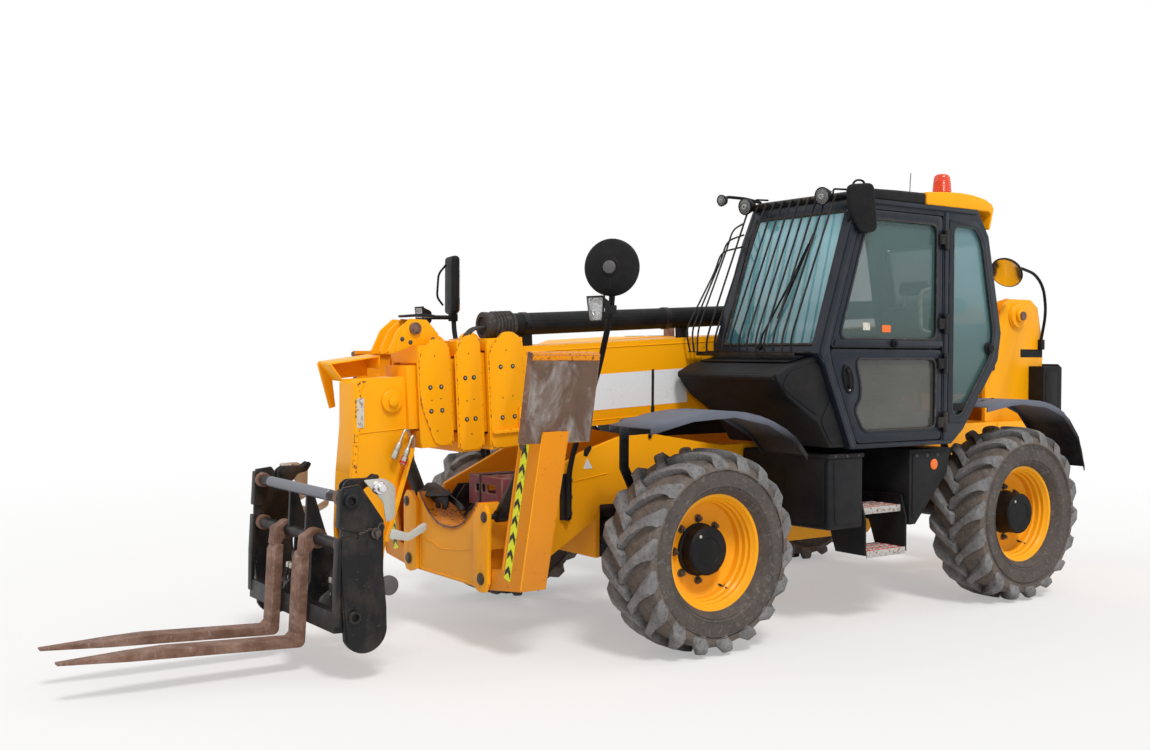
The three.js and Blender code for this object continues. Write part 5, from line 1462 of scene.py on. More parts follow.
def carriageLines():
    # hoses, elbows and the valve low between the plates
    hoses = []
    for number in range(3):
        side = 0.215 + 0.045 * number
        hoses.append(pipe("hose", [onCarriage(0.1, side - 0.08, 0.06),
            onCarriage(0.18, side - 0.02, 0.16 - 0.02 * number), onCarriage(0.26, side + 0.02, 0.1),
            onCarriage(0.27, side + 0.03, -0.02), onCarriage(0.22, side + 0.05, -0.1)], 0.011, 0.06, 12))
        hoses.append(pipe("hose", [onCarriage(0.12, -side + 0.05, 0.02), onCarriage(0.2, -side, 0.1),
            onCarriage(0.28, -side - 0.02, 0.03), onCarriage(0.26, -side - 0.04, -0.09)], 0.011, 0.06, 12))
    place(joined("carriage_hoses", hoses), "hose", "carriage_body")
    fittings = []
    for number in range(3):
        side = 0.215 + 0.045 * number
        for flip in (1, -1):
            top = onCarriage(0.265, flip * (side + 0.025), 0.06)
            fittings.append(drum("nut", top, top + Vector((0.003, 0, -0.03)), 0.017, 0.002, 6))
            fittings.append(drum("nut", top + Vector((0, 0, -0.075)), top + Vector((0, 0, -0.1)), 0.016, 0.002, 6))
    place(joined("carriage_fittings", fittings), "zinc", "carriage_body")
    castings = []
    for flip in (1, -1):
        castings.append(block("casting", onCarriage(0.17, flip * 0.33 - 0.045, -0.135),
            onCarriage(0.28, flip * 0.33 + 0.045, -0.045), 0.01, 3))
        castings.append(drum("stub", onCarriage(0.225, flip * 0.375, -0.085),
            onCarriage(0.225, flip * 0.56, -0.085), 0.026, 0.004, 24))
        castings.append(drum("stub_collar", onCarriage(0.225, flip * 0.44, -0.085),
            onCarriage(0.225, flip * 0.49, -0.085), 0.036, 0.006, 24))
        castings.append(carriagePlate("gusset", rounded([(0.16, -0.15), (0.33, -0.15), (0.33, -0.05), (0.24, 0.02),
            (0.17, -0.02)], 0.02), (flip * 0.24 - 0.008, flip * 0.24 + 0.008), 0.003))
    place(joined("carriage_castings", castings), "iron", "carriage_body")


finishCarriageNodes()
cheekPlates()
latchAndPins()
shaftDetails()
carriageLines()
print("carriage and forks made")


# cab
cab = {
    "side": 1.15,
    "doorInner": 1.108,
    "glassAt": 1.126,
    "upperDoor": [(-0.858, 1.69), (-1.075, 2.35), (-1.14, 2.53), (-1.875, 2.53), (-1.875, 1.69)],
    "lowerDoor": [(-1.095, 1.118), (-0.88, 1.6), (-0.858, 1.69), (-1.875, 1.69), (-1.875, 1.118)],
    "lowerWindow": [(-1.085, 1.628), (-1.812, 1.628), (-1.812, 1.196), (-1.15, 1.196), (-1.078, 1.33),
        (-1.13, 1.385), (-1.13, 1.47)],
    "quarter": [(-1.945, 1.24), (-1.945, 2.5), (-2.2, 2.5), (-2.285, 2.39), (-2.41, 1.8), (-2.38, 1.64),
        (-2.17, 1.37), (-2.07, 1.24)],
    "rightWindow": [(-0.96, 1.74), (-1.15, 2.48), (-2.18, 2.48), (-2.31, 1.8)],
    "hinge": (-1.883, 1.168),
    "middle": 0.695,
}


def loopOf(name, outline, side, radius=0.006):
    # a rubber bead that follows a window outline
    spots = [at(ahead, side, rise) for ahead, rise in outline]
    return pipe(name, spots + spots[:1], radius, 0.002, 8)


def buildDoor(node, glassNode, doorway, opening, body, levels):
    inner, face = cab["doorInner"], cab["side"]
    frameShape = framed(node + "_leaf", rounded(shrunk(doorway, 0.004), 0.035), opening, (inner, face), 0.006)
    lip = framed("lip", rounded(shrunk(opening, -0.014), 0.004, 1), rounded(opening, 0.003, 1),
        (face - 0.001, face + 0.004), 0.0015)
    place(joined(node + "_leaf", [frameShape, lip]), "cabBlack", body, node=node)
    pane = cutPlate(glassNode + "_pane", shrunk(opening, -0.006), (cab["glassAt"], cab["glassAt"] + 0.006), "xz", 0)
    place(pane, "darkGlass" if "lower" in node else "sideGlass", body, node=glassNode)
    place(loopOf(node + "_seal", opening, face + 0.001, 0.0055), "seal", body)
    hingeX, hingeY = cab["hinge"]
    made = []
    for level in levels:
        made.append(drum("knuckle", at(hingeX, hingeY, level - 0.035), at(hingeX, hingeY, level + 0.035), 0.0142,
            0.002, 20))
        made.append(block("hinge_leaf", at(hingeX, hingeY - 0.016, level - 0.032),
            at(hingeX + 0.066, hingeY + 0.006, level + 0.032), 0.003))
        made += [boltOn(at(hingeX + ahead, hingeY + 0.006, level + rise), Vector((0, 1, 0)), 0.006) for ahead,
            rise in ((0.032, 0.016), (0.05, -0.016))]
    place(joined(node + "_hinges", made), "black", body)


def buildDoors():
    upperOpening = rounded(shrunk(cab["upperDoor"], 0.06), 0.06, 6)
    buildDoor("door_upper", "door_upper_glass", cab["upperDoor"], upperOpening, "upper_door", (1.85, 2.38))
    lowerOpening = rounded(cab["lowerWindow"], 0.055, 6)
    buildDoor("door_lower", "door_lower_glass", cab["lowerDoor"], lowerOpening, "lower_door", (1.23, 1.6))
    face = cab["side"]
    # rail across the foot of the upper leaf with its latch button
    rail = cutPlate("door_rail", rounded([(-0.885, 1.706), (-1.868, 1.706), (-1.868, 1.742), (-0.9, 1.742)], 0.01),
        (face, face + 0.01), "xz", 0.003)
    place(rail, "cabBlack", "upper_door")
    button = spun("door_button", [(0, 0), (0.026, 0), (0.026, 0.5), (0.018, 0.6), (0.016, 0.9), (0.01, 1), (0, 1)],
        at(-1.405, face + 0.008, 1.722), at(-1.405, face + 0.04, 1.722), 24)
    place(button, "plasticSmooth", "upper_door", worn="plasticSmooth")
    # oval pull handle in its dished surround
    turn = math.radians(10)
    oval = [(-1.012 + 0.046 * math.cos(step) * math.cos(turn) + 0.088 * math.sin(step) * math.sin(turn),
        1.508 + 0.046 * math.cos(step) * math.sin(turn) + 0.088 * math.sin(step) * math.cos(turn))
        for step in [index * math.pi / 16 for index in range(32)]]
    ring = framed("handle_ring", oval, [(a + (-1.012 - a) * 0.26, b + (1.508 - b) * 0.2) for a, b in oval],
        (face - 0.001, face + 0.012), 0.004)
    dish = cutPlate("handle_dish", [(a + (-1.012 - a) * 0.2, b + (1.508 - b) * 0.16) for a, b in oval],
        (face - 0.001, face + 0.0015), "xz", 0)
    grip = pipe("grip", [at(-1.004, face + 0.002, 1.568), at(-1.001, face + 0.022, 1.55),
        at(-1.014, face + 0.024, 1.47), at(-1.02, face + 0.004, 1.452)], 0.01, 0.03, 12)
    lock = drum("lock", at(-1.024, face, 1.445), at(-1.024, face + 0.008, 1.445), 0.01, 0.002, 16)
    place(joined("door_handle", [ring, dish, grip]), "plasticSmooth", "lower_door")
    place(lock, "zinc", "lower_door")
    outside = cab["glassAt"] + 0.0058
    for name, ahead, rise, wide, high, finish in (("door_label_pale", -1.16, 1.8, 0.062, 0.046, "label"),
            ("door_label_orange", -1.33, 1.79, 0.078, 0.044, "orange")):
        corners = rounded([(ahead, rise), (ahead - wide, rise), (ahead - wide, rise + high), (ahead, rise + high)],
            0.005, 3)
        place(cutPlate(name, corners, (outside, outside + 0.0014), "xz", 0.0004, 1), finish, "upper_door",
            "black_plastic")
    for name, foot, head, finish, body in (("upper_grab_rail", 1.79, 2.075, "cream", "upper_door"),
            ("lower_grab_rail", 1.285, 1.56, "grabRed", "lower_door")):
        rail = pipe(name, [at(-1.832, 1.104, foot), at(-1.775, 1.06, foot + 0.02), at(-1.775, 1.055, head - 0.02),
            at(-1.832, 1.104, head)], 0.013, 0.05, 14)
        place(rail, finish, body, "black_plastic")


def buildQuarter():
    face = cab["side"]
    outline = rounded(shrunk(cab["quarter"], -0.016), 0.03, 4)
    opening = rounded(shrunk(cab["quarter"], 0.026), 0.055, 5)
    frameShape = framed("quarter_frame", outline, opening, (face + 0.0004, face + 0.007), 0.0025)
    place(frameShape, "cabBlack")
    pane = cutPlate("quarter_pane", shrunk(cab["quarter"], 0.0015), (1.13, 1.136), "xz", 0)
    place(pane, "quarterGlass", node="quarter_glass")
    place(loopOf("quarter_seal", opening, face + 0.005, 0.005), "seal")
    bar = cutPlate("quarter_bar", [(-1.95, 1.3), (-2.112, 1.3), (-2.15, 1.345), (-1.95, 1.345)],
        (1.137, face + 0.006), "xz", 0.003)
    catch = spun("quarter_catch", [(0, 0), (0.038, 0), (0.038, 0.4), (0.03, 0.55), (0.03, 0.85), (0.022, 1),
        (0, 1)], at(-2.352, 1.13, 1.7), at(-2.352, face + 0.022, 1.7), 28)
    place(joined("quarter_bar_and_catch", [bar, catch]), "plasticSmooth")


def finishCabNodes():
    softened("cab_shell", "cabBlack", 0.01, 3)
    softened("windscreen", "windscreen", 0)
    softened("rear_window", "windscreen", 0)
    softened("right_window", "sideGlass", 0)
    softened("cab_cowl", "plastic", 0.014, 3)
    softened("steering_console", "plasticSmooth", 0.012, 3)
    place(loopOf("right_window_seal", rounded(cab["rightWindow"], 0.05), 0.2405, 0.008), "seal")


def slopeSpot(line, share, side, lift):
    # a place on the windscreen or rear window: along its line, across it and out from it
    (lowX, lowZ), (highX, highZ) = line
    slope = Vector((highX - lowX, highZ - lowZ)).normalized()
    return at(lowX + (highX - lowX) * share + slope.y * lift, side, lowZ + (highZ - lowZ) * share - slope.x * lift)


def screenDetails():
    front = ((-0.806, 1.704), (-1.078, 2.514))
    rear = ((-2.44, 1.856), (-2.337, 2.384))
    for name, line, lift in (("screen_seal", front, 0.01), ("rear_seal", rear, -0.004)):
        corners = [(0.005, 0.31), (0.005, 1.08), (0.995, 1.08), (0.995, 0.31), (0.005, 0.31)]
        spots = [slopeSpot(line, share, side, lift) for share, side in corners]
        place(pipe(name, spots, 0.01, 0.03, 8), "seal")
    wiper = [
        pipe("arm", [slopeSpot(front, -0.02, 0.66, 0.03), slopeSpot(front, 0.06, 0.66, 0.04),
            slopeSpot(front, 0.52, 0.8, 0.034)], 0.006, 0.02, 8),
        pipe("blade", [slopeSpot(front, 0.2, 0.735, 0.018), slopeSpot(front, 0.84, 0.862, 0.018)], 0.007, 0.02, 8),
        pipe("blade_back", [slopeSpot(front, 0.28, 0.752, 0.026), slopeSpot(front, 0.52, 0.8, 0.036),
            slopeSpot(front, 0.76, 0.846, 0.026)], 0.004, 0.02, 8),
        drum("wiper_hub", slopeSpot(front, -0.02, 0.66, 0.002), slopeSpot(front, -0.02, 0.66, 0.044), 0.02, 0.003,
            20),
        pipe("rear_arm", [slopeSpot(rear, 0.02, 0.62, -0.02), slopeSpot(rear, 0.55, 0.72, -0.022)], 0.006, 0.02, 8),
        pipe("rear_blade", [slopeSpot(rear, 0.2, 0.64, -0.014), slopeSpot(rear, 0.88, 0.79, -0.014)], 0.006, 0.02,
            8),
    ]
    place(joined("wipers", wiper), "plasticSmooth", worn="plasticSmooth")


screenGuard = {
    "rodCount": 11,
    "rodRadius": 0.0062,
    "firstRod": 0.3,
    "rodStep": 0.074,
    "tray": (-0.7, -0.624),
    "trayRise": (1.662, 1.668),
    "holeCount": 15,
}


def buildGuard():
    rods = []
    first, step = screenGuard["firstRod"], screenGuard["rodStep"]
    for number in range(screenGuard["rodCount"]):
        side = first + step * number
        rods.append(pipe("rod", [at(-1.048, side, 2.606), at(-1.022, side, 2.616), at(-0.99, side, 2.56),
            at(-0.668, side, 1.79), at(-0.65, side, 1.72), at(-0.655, side, 1.664)], screenGuard["rodRadius"], 0.05,
            8))
    rods.append(pipe("top_bar", [at(-1.095, 0.272, 2.585), at(-1.035, 0.272, 2.604), at(-1.035, 1.11, 2.604),
        at(-1.095, 1.11, 2.585)], 0.013, 0.03, 12))
    # rods that bow forward at the boom side of the screen
    for number in range(3):
        bow = 0.045 + 0.05 * number
        high = 2.5 - 0.075 * number
        rods.append(pipe("side_rod", [at(-0.998, 0.262, high), at(-0.96 + bow, 0.246, high - 0.045),
            at(-0.92 + bow, 0.242, high - 0.16), at(-0.672 + bow, 0.242, 1.8), at(-0.65 + bow * 0.6, 0.246, 1.666)],
            0.0058, 0.1, 8))
    for side in (0.29, 1.075):
        rods.append(block("foot", at(-0.8, side - 0.01, 1.66), at(-0.655, side + 0.01, 1.672), 0.002))
        rods.append(block("head", at(-1.11, side - 0.01, 2.592), at(-1.03, side + 0.01, 2.604), 0.002))
    rear, front = screenGuard["tray"]
    low, high = screenGuard["trayRise"]
    tray = block("tray", at(rear, 0.232, low), at(front, 1.092, high), 0)
    punches = []
    for number in range(screenGuard["holeCount"]):
        spot = at((rear + front) / 2 + 0.006, 0.245 + number * 0.057, low - 0.01)
        punches.append(drum("punch", spot, spot + Vector((0, 0, 0.03)), 0.016, 0, 14))
    cutAway(tray, joined("punches", punches))
    roundEdges(tray, 0.0015, 1)
    skirt = block("tray_lip", at(front - 0.004, 0.232, low - 0.02), at(front, 1.092, high), 0.0015)
    rods.append(block("tray_end", at(rear, 0.232, low), at(front + 0.07, 0.262, high), 0.0015))
    guard = joined("screen_guard_rods", rods + [tray, skirt])
    place(guard, "black", node="screen_guard")


def workLamp(face, outward, radius):
    # a round lamp: domed housing with its bezel lip, lens and bulb
    outward = outward.normalized()
    back = face - outward * radius * 1.25
    housing = spun("housing", [(0, 0), (radius * 0.42, 0.02), (radius * 0.8, 0.25), (radius * 0.97, 0.62),
        (radius * 1.04, 0.8), (radius * 1.06, 0.98), (radius * 1.0, 1.0), (radius * 0.93, 0.96),
        (radius * 0.9, 0.88), (0, 0.88)], back, face, 32)
    lens = spun("lens", [(0, 0), (radius * 0.92, 0), (radius * 0.92, 0.35), (radius * 0.7, 0.75),
        (radius * 0.35, 0.95), (0, 1)], face - outward * 0.01, face + outward * 0.01, 32)
    bulb = spun("bulb", [(radius * 0.28, 0), (radius * 0.34, 0.5), (radius * 0.3, 1), (radius * 0.2, 1),
        (radius * 0.2, 0), (radius * 0.28, 0)], face - outward * 0.008, face + outward * 0.0085, 24)
    place(lens, "lens")
    place(bulb, "zinc")
    return housing


roof = {
    "panel": [(-1.085, 2.5903), (-1.092, 2.618), (-1.13, 2.638), (-1.25, 2.655), (-1.45, 2.661), (-1.7195, 2.664),
        (-1.7195, 2.5903)],
    "visor": [(-1.7205, 2.5903), (-1.7205, 2.67), (-1.9, 2.684), (-2.05, 2.69), (-2.18, 2.685), (-2.3, 2.668),
        (-2.372, 2.64), (-2.393, 2.612), (-2.352, 2.472), (-2.338, 2.475), (-2.366, 2.575), (-2.34, 2.5903)],
    "workLamps": (0.315, 0.985),
    "beacon": (-2.17, 0.9),
    "aerial": (-1.9, 0.86),
}


def buildRoof():
    panel = cutPlate("roof_panel", roof["panel"], (0.25, 1.14), "xz", 0.014, 4)
    place(panel, "plasticSmooth", node="cab_roof")
    visor = cutPlate("visor_panel", roof["visor"], (0.245, 1.145), "xz", 0.012, 4)
    place(visor, "yellowClean", node="roof_visor")
    parts = []
    for side in roof["workLamps"]:
        parts.append(workLamp(at(-0.952, side, 2.6), Vector((1, 0.08, -0.12)), 0.052))
        parts.append(pipe("stirrup", [at(-1.1, side - 0.062, 2.645), at(-0.985, side - 0.062, 2.64),
            at(-0.985, side - 0.062, 2.598)], 0.006, 0.02, 8))
        parts.append(pipe("stirrup", [at(-1.1, side + 0.062, 2.645), at(-0.985, side + 0.062, 2.64),
            at(-0.985, side + 0.062, 2.598)], 0.006, 0.02, 8))
    parts.append(workLamp(at(-0.845, 0.21, 2.64), Vector((1, 0.1, -0.15)), 0.036))
    parts.append(pipe("lamp_arm", [at(-1.13, 0.28, 2.64), at(-1.02, 0.25, 2.662), at(-0.9, 0.21, 2.668),
        at(-0.868, 0.21, 2.648)], 0.01, 0.03, 10))
    place(joined("roof_lamps", parts), "plasticSmooth")
    mastX, mastY = roof["aerial"]
    whip = pipe("aerial", [at(mastX, mastY, 2.684), at(mastX, mastY, 2.75),
        at(mastX - 0.005, mastY + 0.002, 2.835)], 0.0026, 0.02, 8)
    foot = spun("aerial_foot", [(0, 0), (0.022, 0), (0.02, 0.4), (0.008, 1), (0, 1)], at(mastX, mastY, 2.683),
        at(mastX, mastY, 2.704), 20)
    place(joined("aerial", [whip, foot]), "plasticSmooth", worn="plasticSmooth")
    # beacon: a ribbed lens on its rubber foot
    spotX, spotY = roof["beacon"]
    profile = [(0, 0), (0.06, 0)]
    for ring in range(7):
        share = 0.06 + ring * 0.085
        profile += [(0.0625 - ring * 0.0009, share), (0.06 - ring * 0.0009, share + 0.04)]
    profile += [(0.054, 0.72), (0.05, 0.84), (0.04, 0.94), (0.022, 0.99), (0, 1)]
    lens = spun("beacon_lens", profile, at(spotX, spotY, 2.722), at(spotX, spotY, 2.848), 40)
    place(lens, "beaconRed")
    foot = spun("beacon_foot", [(0, 0), (0.068, 0), (0.068, 0.35), (0.062, 0.45), (0.062, 0.9), (0.058, 1), (0, 1)],
        at(spotX, spotY, 2.68), at(spotX, spotY, 2.724), 36)
    place(foot, "seal")


def cabMirrors():
    outline = rounded([(-0.082, 0.145), (0.098, 0.152), (0.106, -0.02), (0.045, -0.15), (-0.07, -0.145)], 0.045, 5)
    shell = slab("mirror_shell", [Vector((ahead, -0.02, rise)) for ahead, rise in outline], Vector((0, 0.04, 0)), 0)
    turn, lean = (math.radians(angle) for angle in (-16, 8))
    shell.matrix_world = (Matrix.Translation(at(-1.105, 1.18, 2.52)) @ Matrix.Rotation(turn, 4, "Z")
        @ Matrix.Rotation(lean, 4, "Y"))
    applyPlace(shell)
    roundEdges(shell, 0.014, 4)
    bracket = [
        shell,
        block("clamp", at(-1.15, 1.1, 2.56), at(-1.085, 1.15, 2.64), 0.008, 3),
        pipe("wire", [at(-1.085, 1.13, 2.61), at(-1.055, 1.13, 2.655), at(-1.075, 1.14, 2.69),
            at(-1.125, 1.16, 2.69), at(-1.135, 1.165, 2.64)], 0.0065, 0.025, 8),
        pipe("wire", [at(-1.085, 1.11, 2.4), at(-1.05, 1.12, 2.45), at(-1.052, 1.14, 2.56), at(-1.09, 1.15, 2.6)],
            0.0065, 0.025, 8),
        drum("knob", at(-1.06, 1.126, 2.452), at(-1.03, 1.126, 2.452), 0.012, 0.002, 14),
        cutPlate("stay", rounded([(-1.075, 2.42), (-1.05, 2.42), (-1.085, 2.62), (-1.11, 2.62)], 0.008),
            (1.118, 1.124), "xz", 0.001),
    ]
    place(joined("cab_mirror", bracket), "plasticSmooth")


def shapeCushion(name, low, high, crown, lean=None):
    # a crowned cushion: swollen with cloth pressure from a slightly smaller block
    piece = block(name, low, high, 0.03, 3)
    if lean:
        piece.matrix_world = lean
        applyPlace(piece)
    pick(piece)
    remesh = piece.modifiers.new("voxels", "REMESH")
    remesh.mode = "VOXEL"
    remesh.voxel_size = 0.012
    applyModifiers(piece)
    before = [vertex.co.copy() for vertex in piece.data.vertices]
    cloth = piece.modifiers.new("swell", "CLOTH")
    cloth.settings.use_pressure = True
    cloth.settings.uniform_pressure_force = 4
    cloth.settings.effector_weights.gravity = 0
    cloth.point_cache.frame_start, cloth.point_cache.frame_end = 1, 20
    for number in range(1, 21):
        bpy.context.scene.frame_set(number)
    applyModifiers(piece)
    for vertex, start in zip(piece.data.vertices, before):
        move = vertex.co - start
        if move.length > crown:
            vertex.co = start + move.normalized() * crown
    bpy.context.scene.frame_set(1)
    soften = piece.modifiers.new("soften", "SUBSURF")
    soften.levels = soften.render_levels = 1
    applyModifiers(piece)
    twoSlots(piece)
    smooth(piece, 180)
    return piece


seat = {
    "cushion": ((-1.985, 1.425), (-1.52, 1.5), 0.228),  # rear foot, front top and half width
    "hip": (-2.03, 1.5),
    "lean": -11,
    "crown": 0.016,
    "headCrown": 0.012,
    "bellowsFolds": 6,
}


def buildSeat():
    middle = cab["middle"]
    (rearX, footZ), (frontX, topZ), half = seat["cushion"]
    cushion = shapeCushion("seat_cushion", at(rearX, middle - half, footZ), at(frontX, middle + half, topZ),
        seat["crown"])
    hipX, hipZ = seat["hip"]
    leaning = Matrix.Translation(at(hipX, middle, hipZ)) @ Matrix.Rotation(math.radians(seat["lean"]), 4, "Y")
    back = shapeCushion("seat_back", Vector((-0.035, -0.215, -0.02)), Vector((0.04, 0.215, 0.5)), seat["crown"],
        leaning)
    head = shapeCushion("seat_headrest", Vector((-0.03, -0.12, 0.56)), Vector((0.03, 0.12, 0.66)),
        seat["headCrown"], leaning)
    for piece in (cushion, back, head):
        place(piece, "cloth")
    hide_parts("seat")
    posts = [pipe("post", [leaning @ Vector((0, side, 0.46)), leaning @ Vector((0, side, 0.58))], 0.007, 0.01, 10)
        for side in (-0.06, 0.06)]
    place(joined("headrest_posts", posts), "zinc")
    shell = [block("base", at(-1.93, middle - 0.19, 1.385), at(-1.56, middle + 0.19, 1.418), 0.012, 3),
        block("slides", at(-1.88, middle - 0.165, 1.145), at(-1.58, middle + 0.165, 1.19), 0.01, 3)]
    for fold in range(seat["bellowsFolds"]):
        shell.append(block("fold", at(-1.87 + 0.008 * (fold % 2), middle - 0.16 + 0.008 * (fold % 2),
            1.19 + fold * 0.033), at(-1.59 - 0.008 * (fold % 2), middle + 0.16 - 0.008 * (fold % 2),
                1.22 + fold * 0.033), 0.01, 2))
    for side in (-0.275, 0.235):
        rest = block("arm_rest", at(-1.98, middle + side, 1.655), at(-1.7, middle + side + 0.042, 1.695), 0.014, 3)
        shell.append(rest)
        shell.append(pipe("rest_arm", [at(-1.96, middle + side + 0.02, 1.67), at(-2.03, middle + side + 0.02, 1.62),
            at(-2.04, middle + side + 0.02, 1.52)], 0.012, 0.03, 8))
    place(joined("seat_base", shell), "plasticSmooth")


def buildSteering():
    tilt = math.radians(25)
    spot = Matrix.Translation(at(-1.16, cab["middle"], 1.69)) @ Matrix.Rotation(-tilt, 4, "Y")
    deselectAll()
    bpy.ops.mesh.primitive_torus_add(major_radius=0.185, minor_radius=0.0135, major_segments=56, minor_segments=12,
        location=(0, 0, 0.06))
    ring = bpy.context.object
    twoSlots(ring)
    smooth(ring, 180)
    spokes = []
    for turn in (90, 210, 330):
        way = Vector((math.cos(math.radians(turn)), math.sin(math.radians(turn)), 0))
        across = Vector((-way.y, way.x, 0))
        corners = [way * 0.03 - across * 0.024, way * 0.178 - across * 0.014, way * 0.178 + across * 0.014,
            way * 0.03 + across * 0.024]
        spokes.append(slab("spoke", [corner + Vector((0, 0, 0.05)) for corner in corners], Vector((0, 0, 0.01)),
            0.003))
    hub = drum("hub", Vector((0, 0, 0.006)), Vector((0, 0, 0.074)), 0.046, 0.01, 32, 0.038, 3)
    knob = spun("knob", [(0, 0), (0.01, 0), (0.01, 0.35), (0.022, 0.5), (0.023, 0.8), (0.012, 1), (0, 1)],
        Vector((-0.13, 0.13, 0.066)), Vector((-0.13, 0.13, 0.122)), 24)
    wheel = joined("steering_wheel_shape", [ring, hub, knob] + spokes)
    wheel.matrix_world = spot
    applyPlace(wheel)
    place(wheel, "plasticSmooth", worn="plasticSmooth", node="steering_wheel")
    column = [block("column_cover", at(-1.235, cab["middle"] - 0.05, 1.6), at(-1.05, cab["middle"] + 0.05, 1.655),
        0.012, 3)]
    for side, reach in ((0.09, 0.1), (-0.09, -0.1)):
        column.append(pipe("stalk", [at(-1.12, cab["middle"], 1.655), at(-1.1, cab["middle"] + side, 1.68),
            at(-1.09, cab["middle"] + side + reach, 1.69)], 0.007, 0.03, 8))
    lever = pipe("shift_lever", [at(-1.45, 0.42, 1.36), at(-1.44, 0.42, 1.52), at(-1.46, 0.43, 1.62)], 0.008, 0.03,
        10)
    ball = spun("lever_knob", [(0, 0), (0.018, 0.1), (0.026, 0.4), (0.026, 0.7), (0.014, 1), (0, 1)],
        at(-1.46, 0.43, 1.6), at(-1.465, 0.432, 1.68), 24)
    side = block("side_console", at(-2.02, 0.3, 1.145), at(-1.38, 0.43, 1.385), 0.02, 3)
    place(joined("cab_controls", column + [lever, ball, side]), "plasticSmooth")


def shellDetails():
    # gutter, sill, front corner post trims and the centre post along the cab side
    face = cab["side"]
    sill = cutPlate("sill", rounded([(-1.05, 1.092), (-1.965, 1.092), (-1.978, 1.112), (-1.058, 1.112)], 0.006),
        (face - 0.001, face + 0.006), "xz", 0.002)
    post = cutPlate("post_trim", rounded([(-0.8, 1.625), (-0.772, 1.662), (-1.012, 2.372), (-1.1, 2.575),
        (-1.132, 2.575), (-1.052, 2.372), (-0.838, 1.69)], 0.012), (face - 0.001, face + 0.007), "xz", 0.003)
    foot = cutPlate("foot_trim", rounded([(-1.034, 1.1), (-0.806, 1.606), (-0.846, 1.606), (-1.074, 1.1)], 0.01),
        (face - 0.001, face + 0.007), "xz", 0.003)
    gutter = cutPlate("gutter", rounded([(-1.11, 2.56), (-2.205, 2.56), (-2.218, 2.578), (-1.104, 2.578)], 0.006),
        (face - 0.001, face + 0.01), "xz", 0.003)
    centre = cutPlate("centre_post", rounded([(-1.887, 1.112), (-1.925, 1.112), (-1.925, 2.556), (-1.887, 2.556)],
        0.006), (face - 0.001, face + 0.005), "xz", 0.002)
    place(joined("cab_trims", [sill, post, foot, gutter, centre]), "cabBlack")
    knuckles = []
    hingeX, hingeY = cab["hinge"]
    for level in (1.85, 2.38, 1.23, 1.6):
        for shift in (-0.049, 0.049):
            knuckles.append(drum("knuckle", at(hingeX, hingeY, level + shift - 0.013),
                at(hingeX, hingeY, level + shift + 0.013), 0.0146, 0.002, 20))
        knuckles.append(block("hinge_plate", at(hingeX - 0.036, face + 0.004, level - 0.064),
            at(hingeX - 0.014, face + 0.014, level + 0.064), 0.003))
    place(joined("cab_hinge_posts", knuckles), "black")
    # moulded lip and creases of the cowl ahead of the screen
    lip = pipe("cowl_lip", [at(-0.466, 0.262, 1.52), at(-0.466, 1.098, 1.52)], 0.018, 0.02, 14)
    crease = [cutPlate("crease", rounded([(-0.56, 1.424), (-0.5, 1.47), (-0.56, 1.555), (-0.77, 1.605),
        (-0.8, 1.59), (-0.88, 1.41), (-0.8, 1.288)], 0.04), (1.1195, 1.126), "xz", 0.003), cutPlate("crease_low",
            rounded([(-0.815, 1.262), (-0.895, 1.385), (-1.012, 1.14), (-0.908, 1.118)], 0.03), (1.1195, 1.126),
            "xz", 0.003)]
    top = slab("cowl_top", [at(-0.6, 0.3, 1.604), at(-0.6, 1.06, 1.604), at(-0.76, 1.06, 1.638),
        at(-0.76, 0.3, 1.638)], Vector((0.002, 0, 0.008)), 0.003)
    place(joined("cowl_trims", [lip, top] + crease), "plastic")


finishCabNodes()
buildDoors()
buildQuarter()
screenDetails()
buildGuard()
buildRoof()
cabMirrors()
buildSeat()
buildSteering()
shellDetails()
print("cab made")


# fenders, side boxes and steps
fenders = {
    "front": {"axle": frontAxleX, "top": [(0.49, 1.262), (0.2, 1.325), (-0.1, 1.34), (-0.35, 1.29), (-0.56, 1.185),
        (-0.66, 1.08)], "knuckles": ("knuckle_fl", "knuckle_fr")},
    "rear": {"axle": rearAxleX, "top": [(0.44, 1.318), (0.18, 1.355), (0.07, 1.36), (-0.2, 1.335), (-0.4, 1.265),
        (-0.58, 1.09), (-0.655, 0.88)], "knuckles": ("knuckle_rl", "knuckle_rr")},
    "span": (0.806, 1.171),
}


def finishFenderNodes():
    for end in ("front", "rear"):
        for side in ("left", "right"):
            softened(f"knuckle_fender_{end}_{side}", "fender", 0.005)


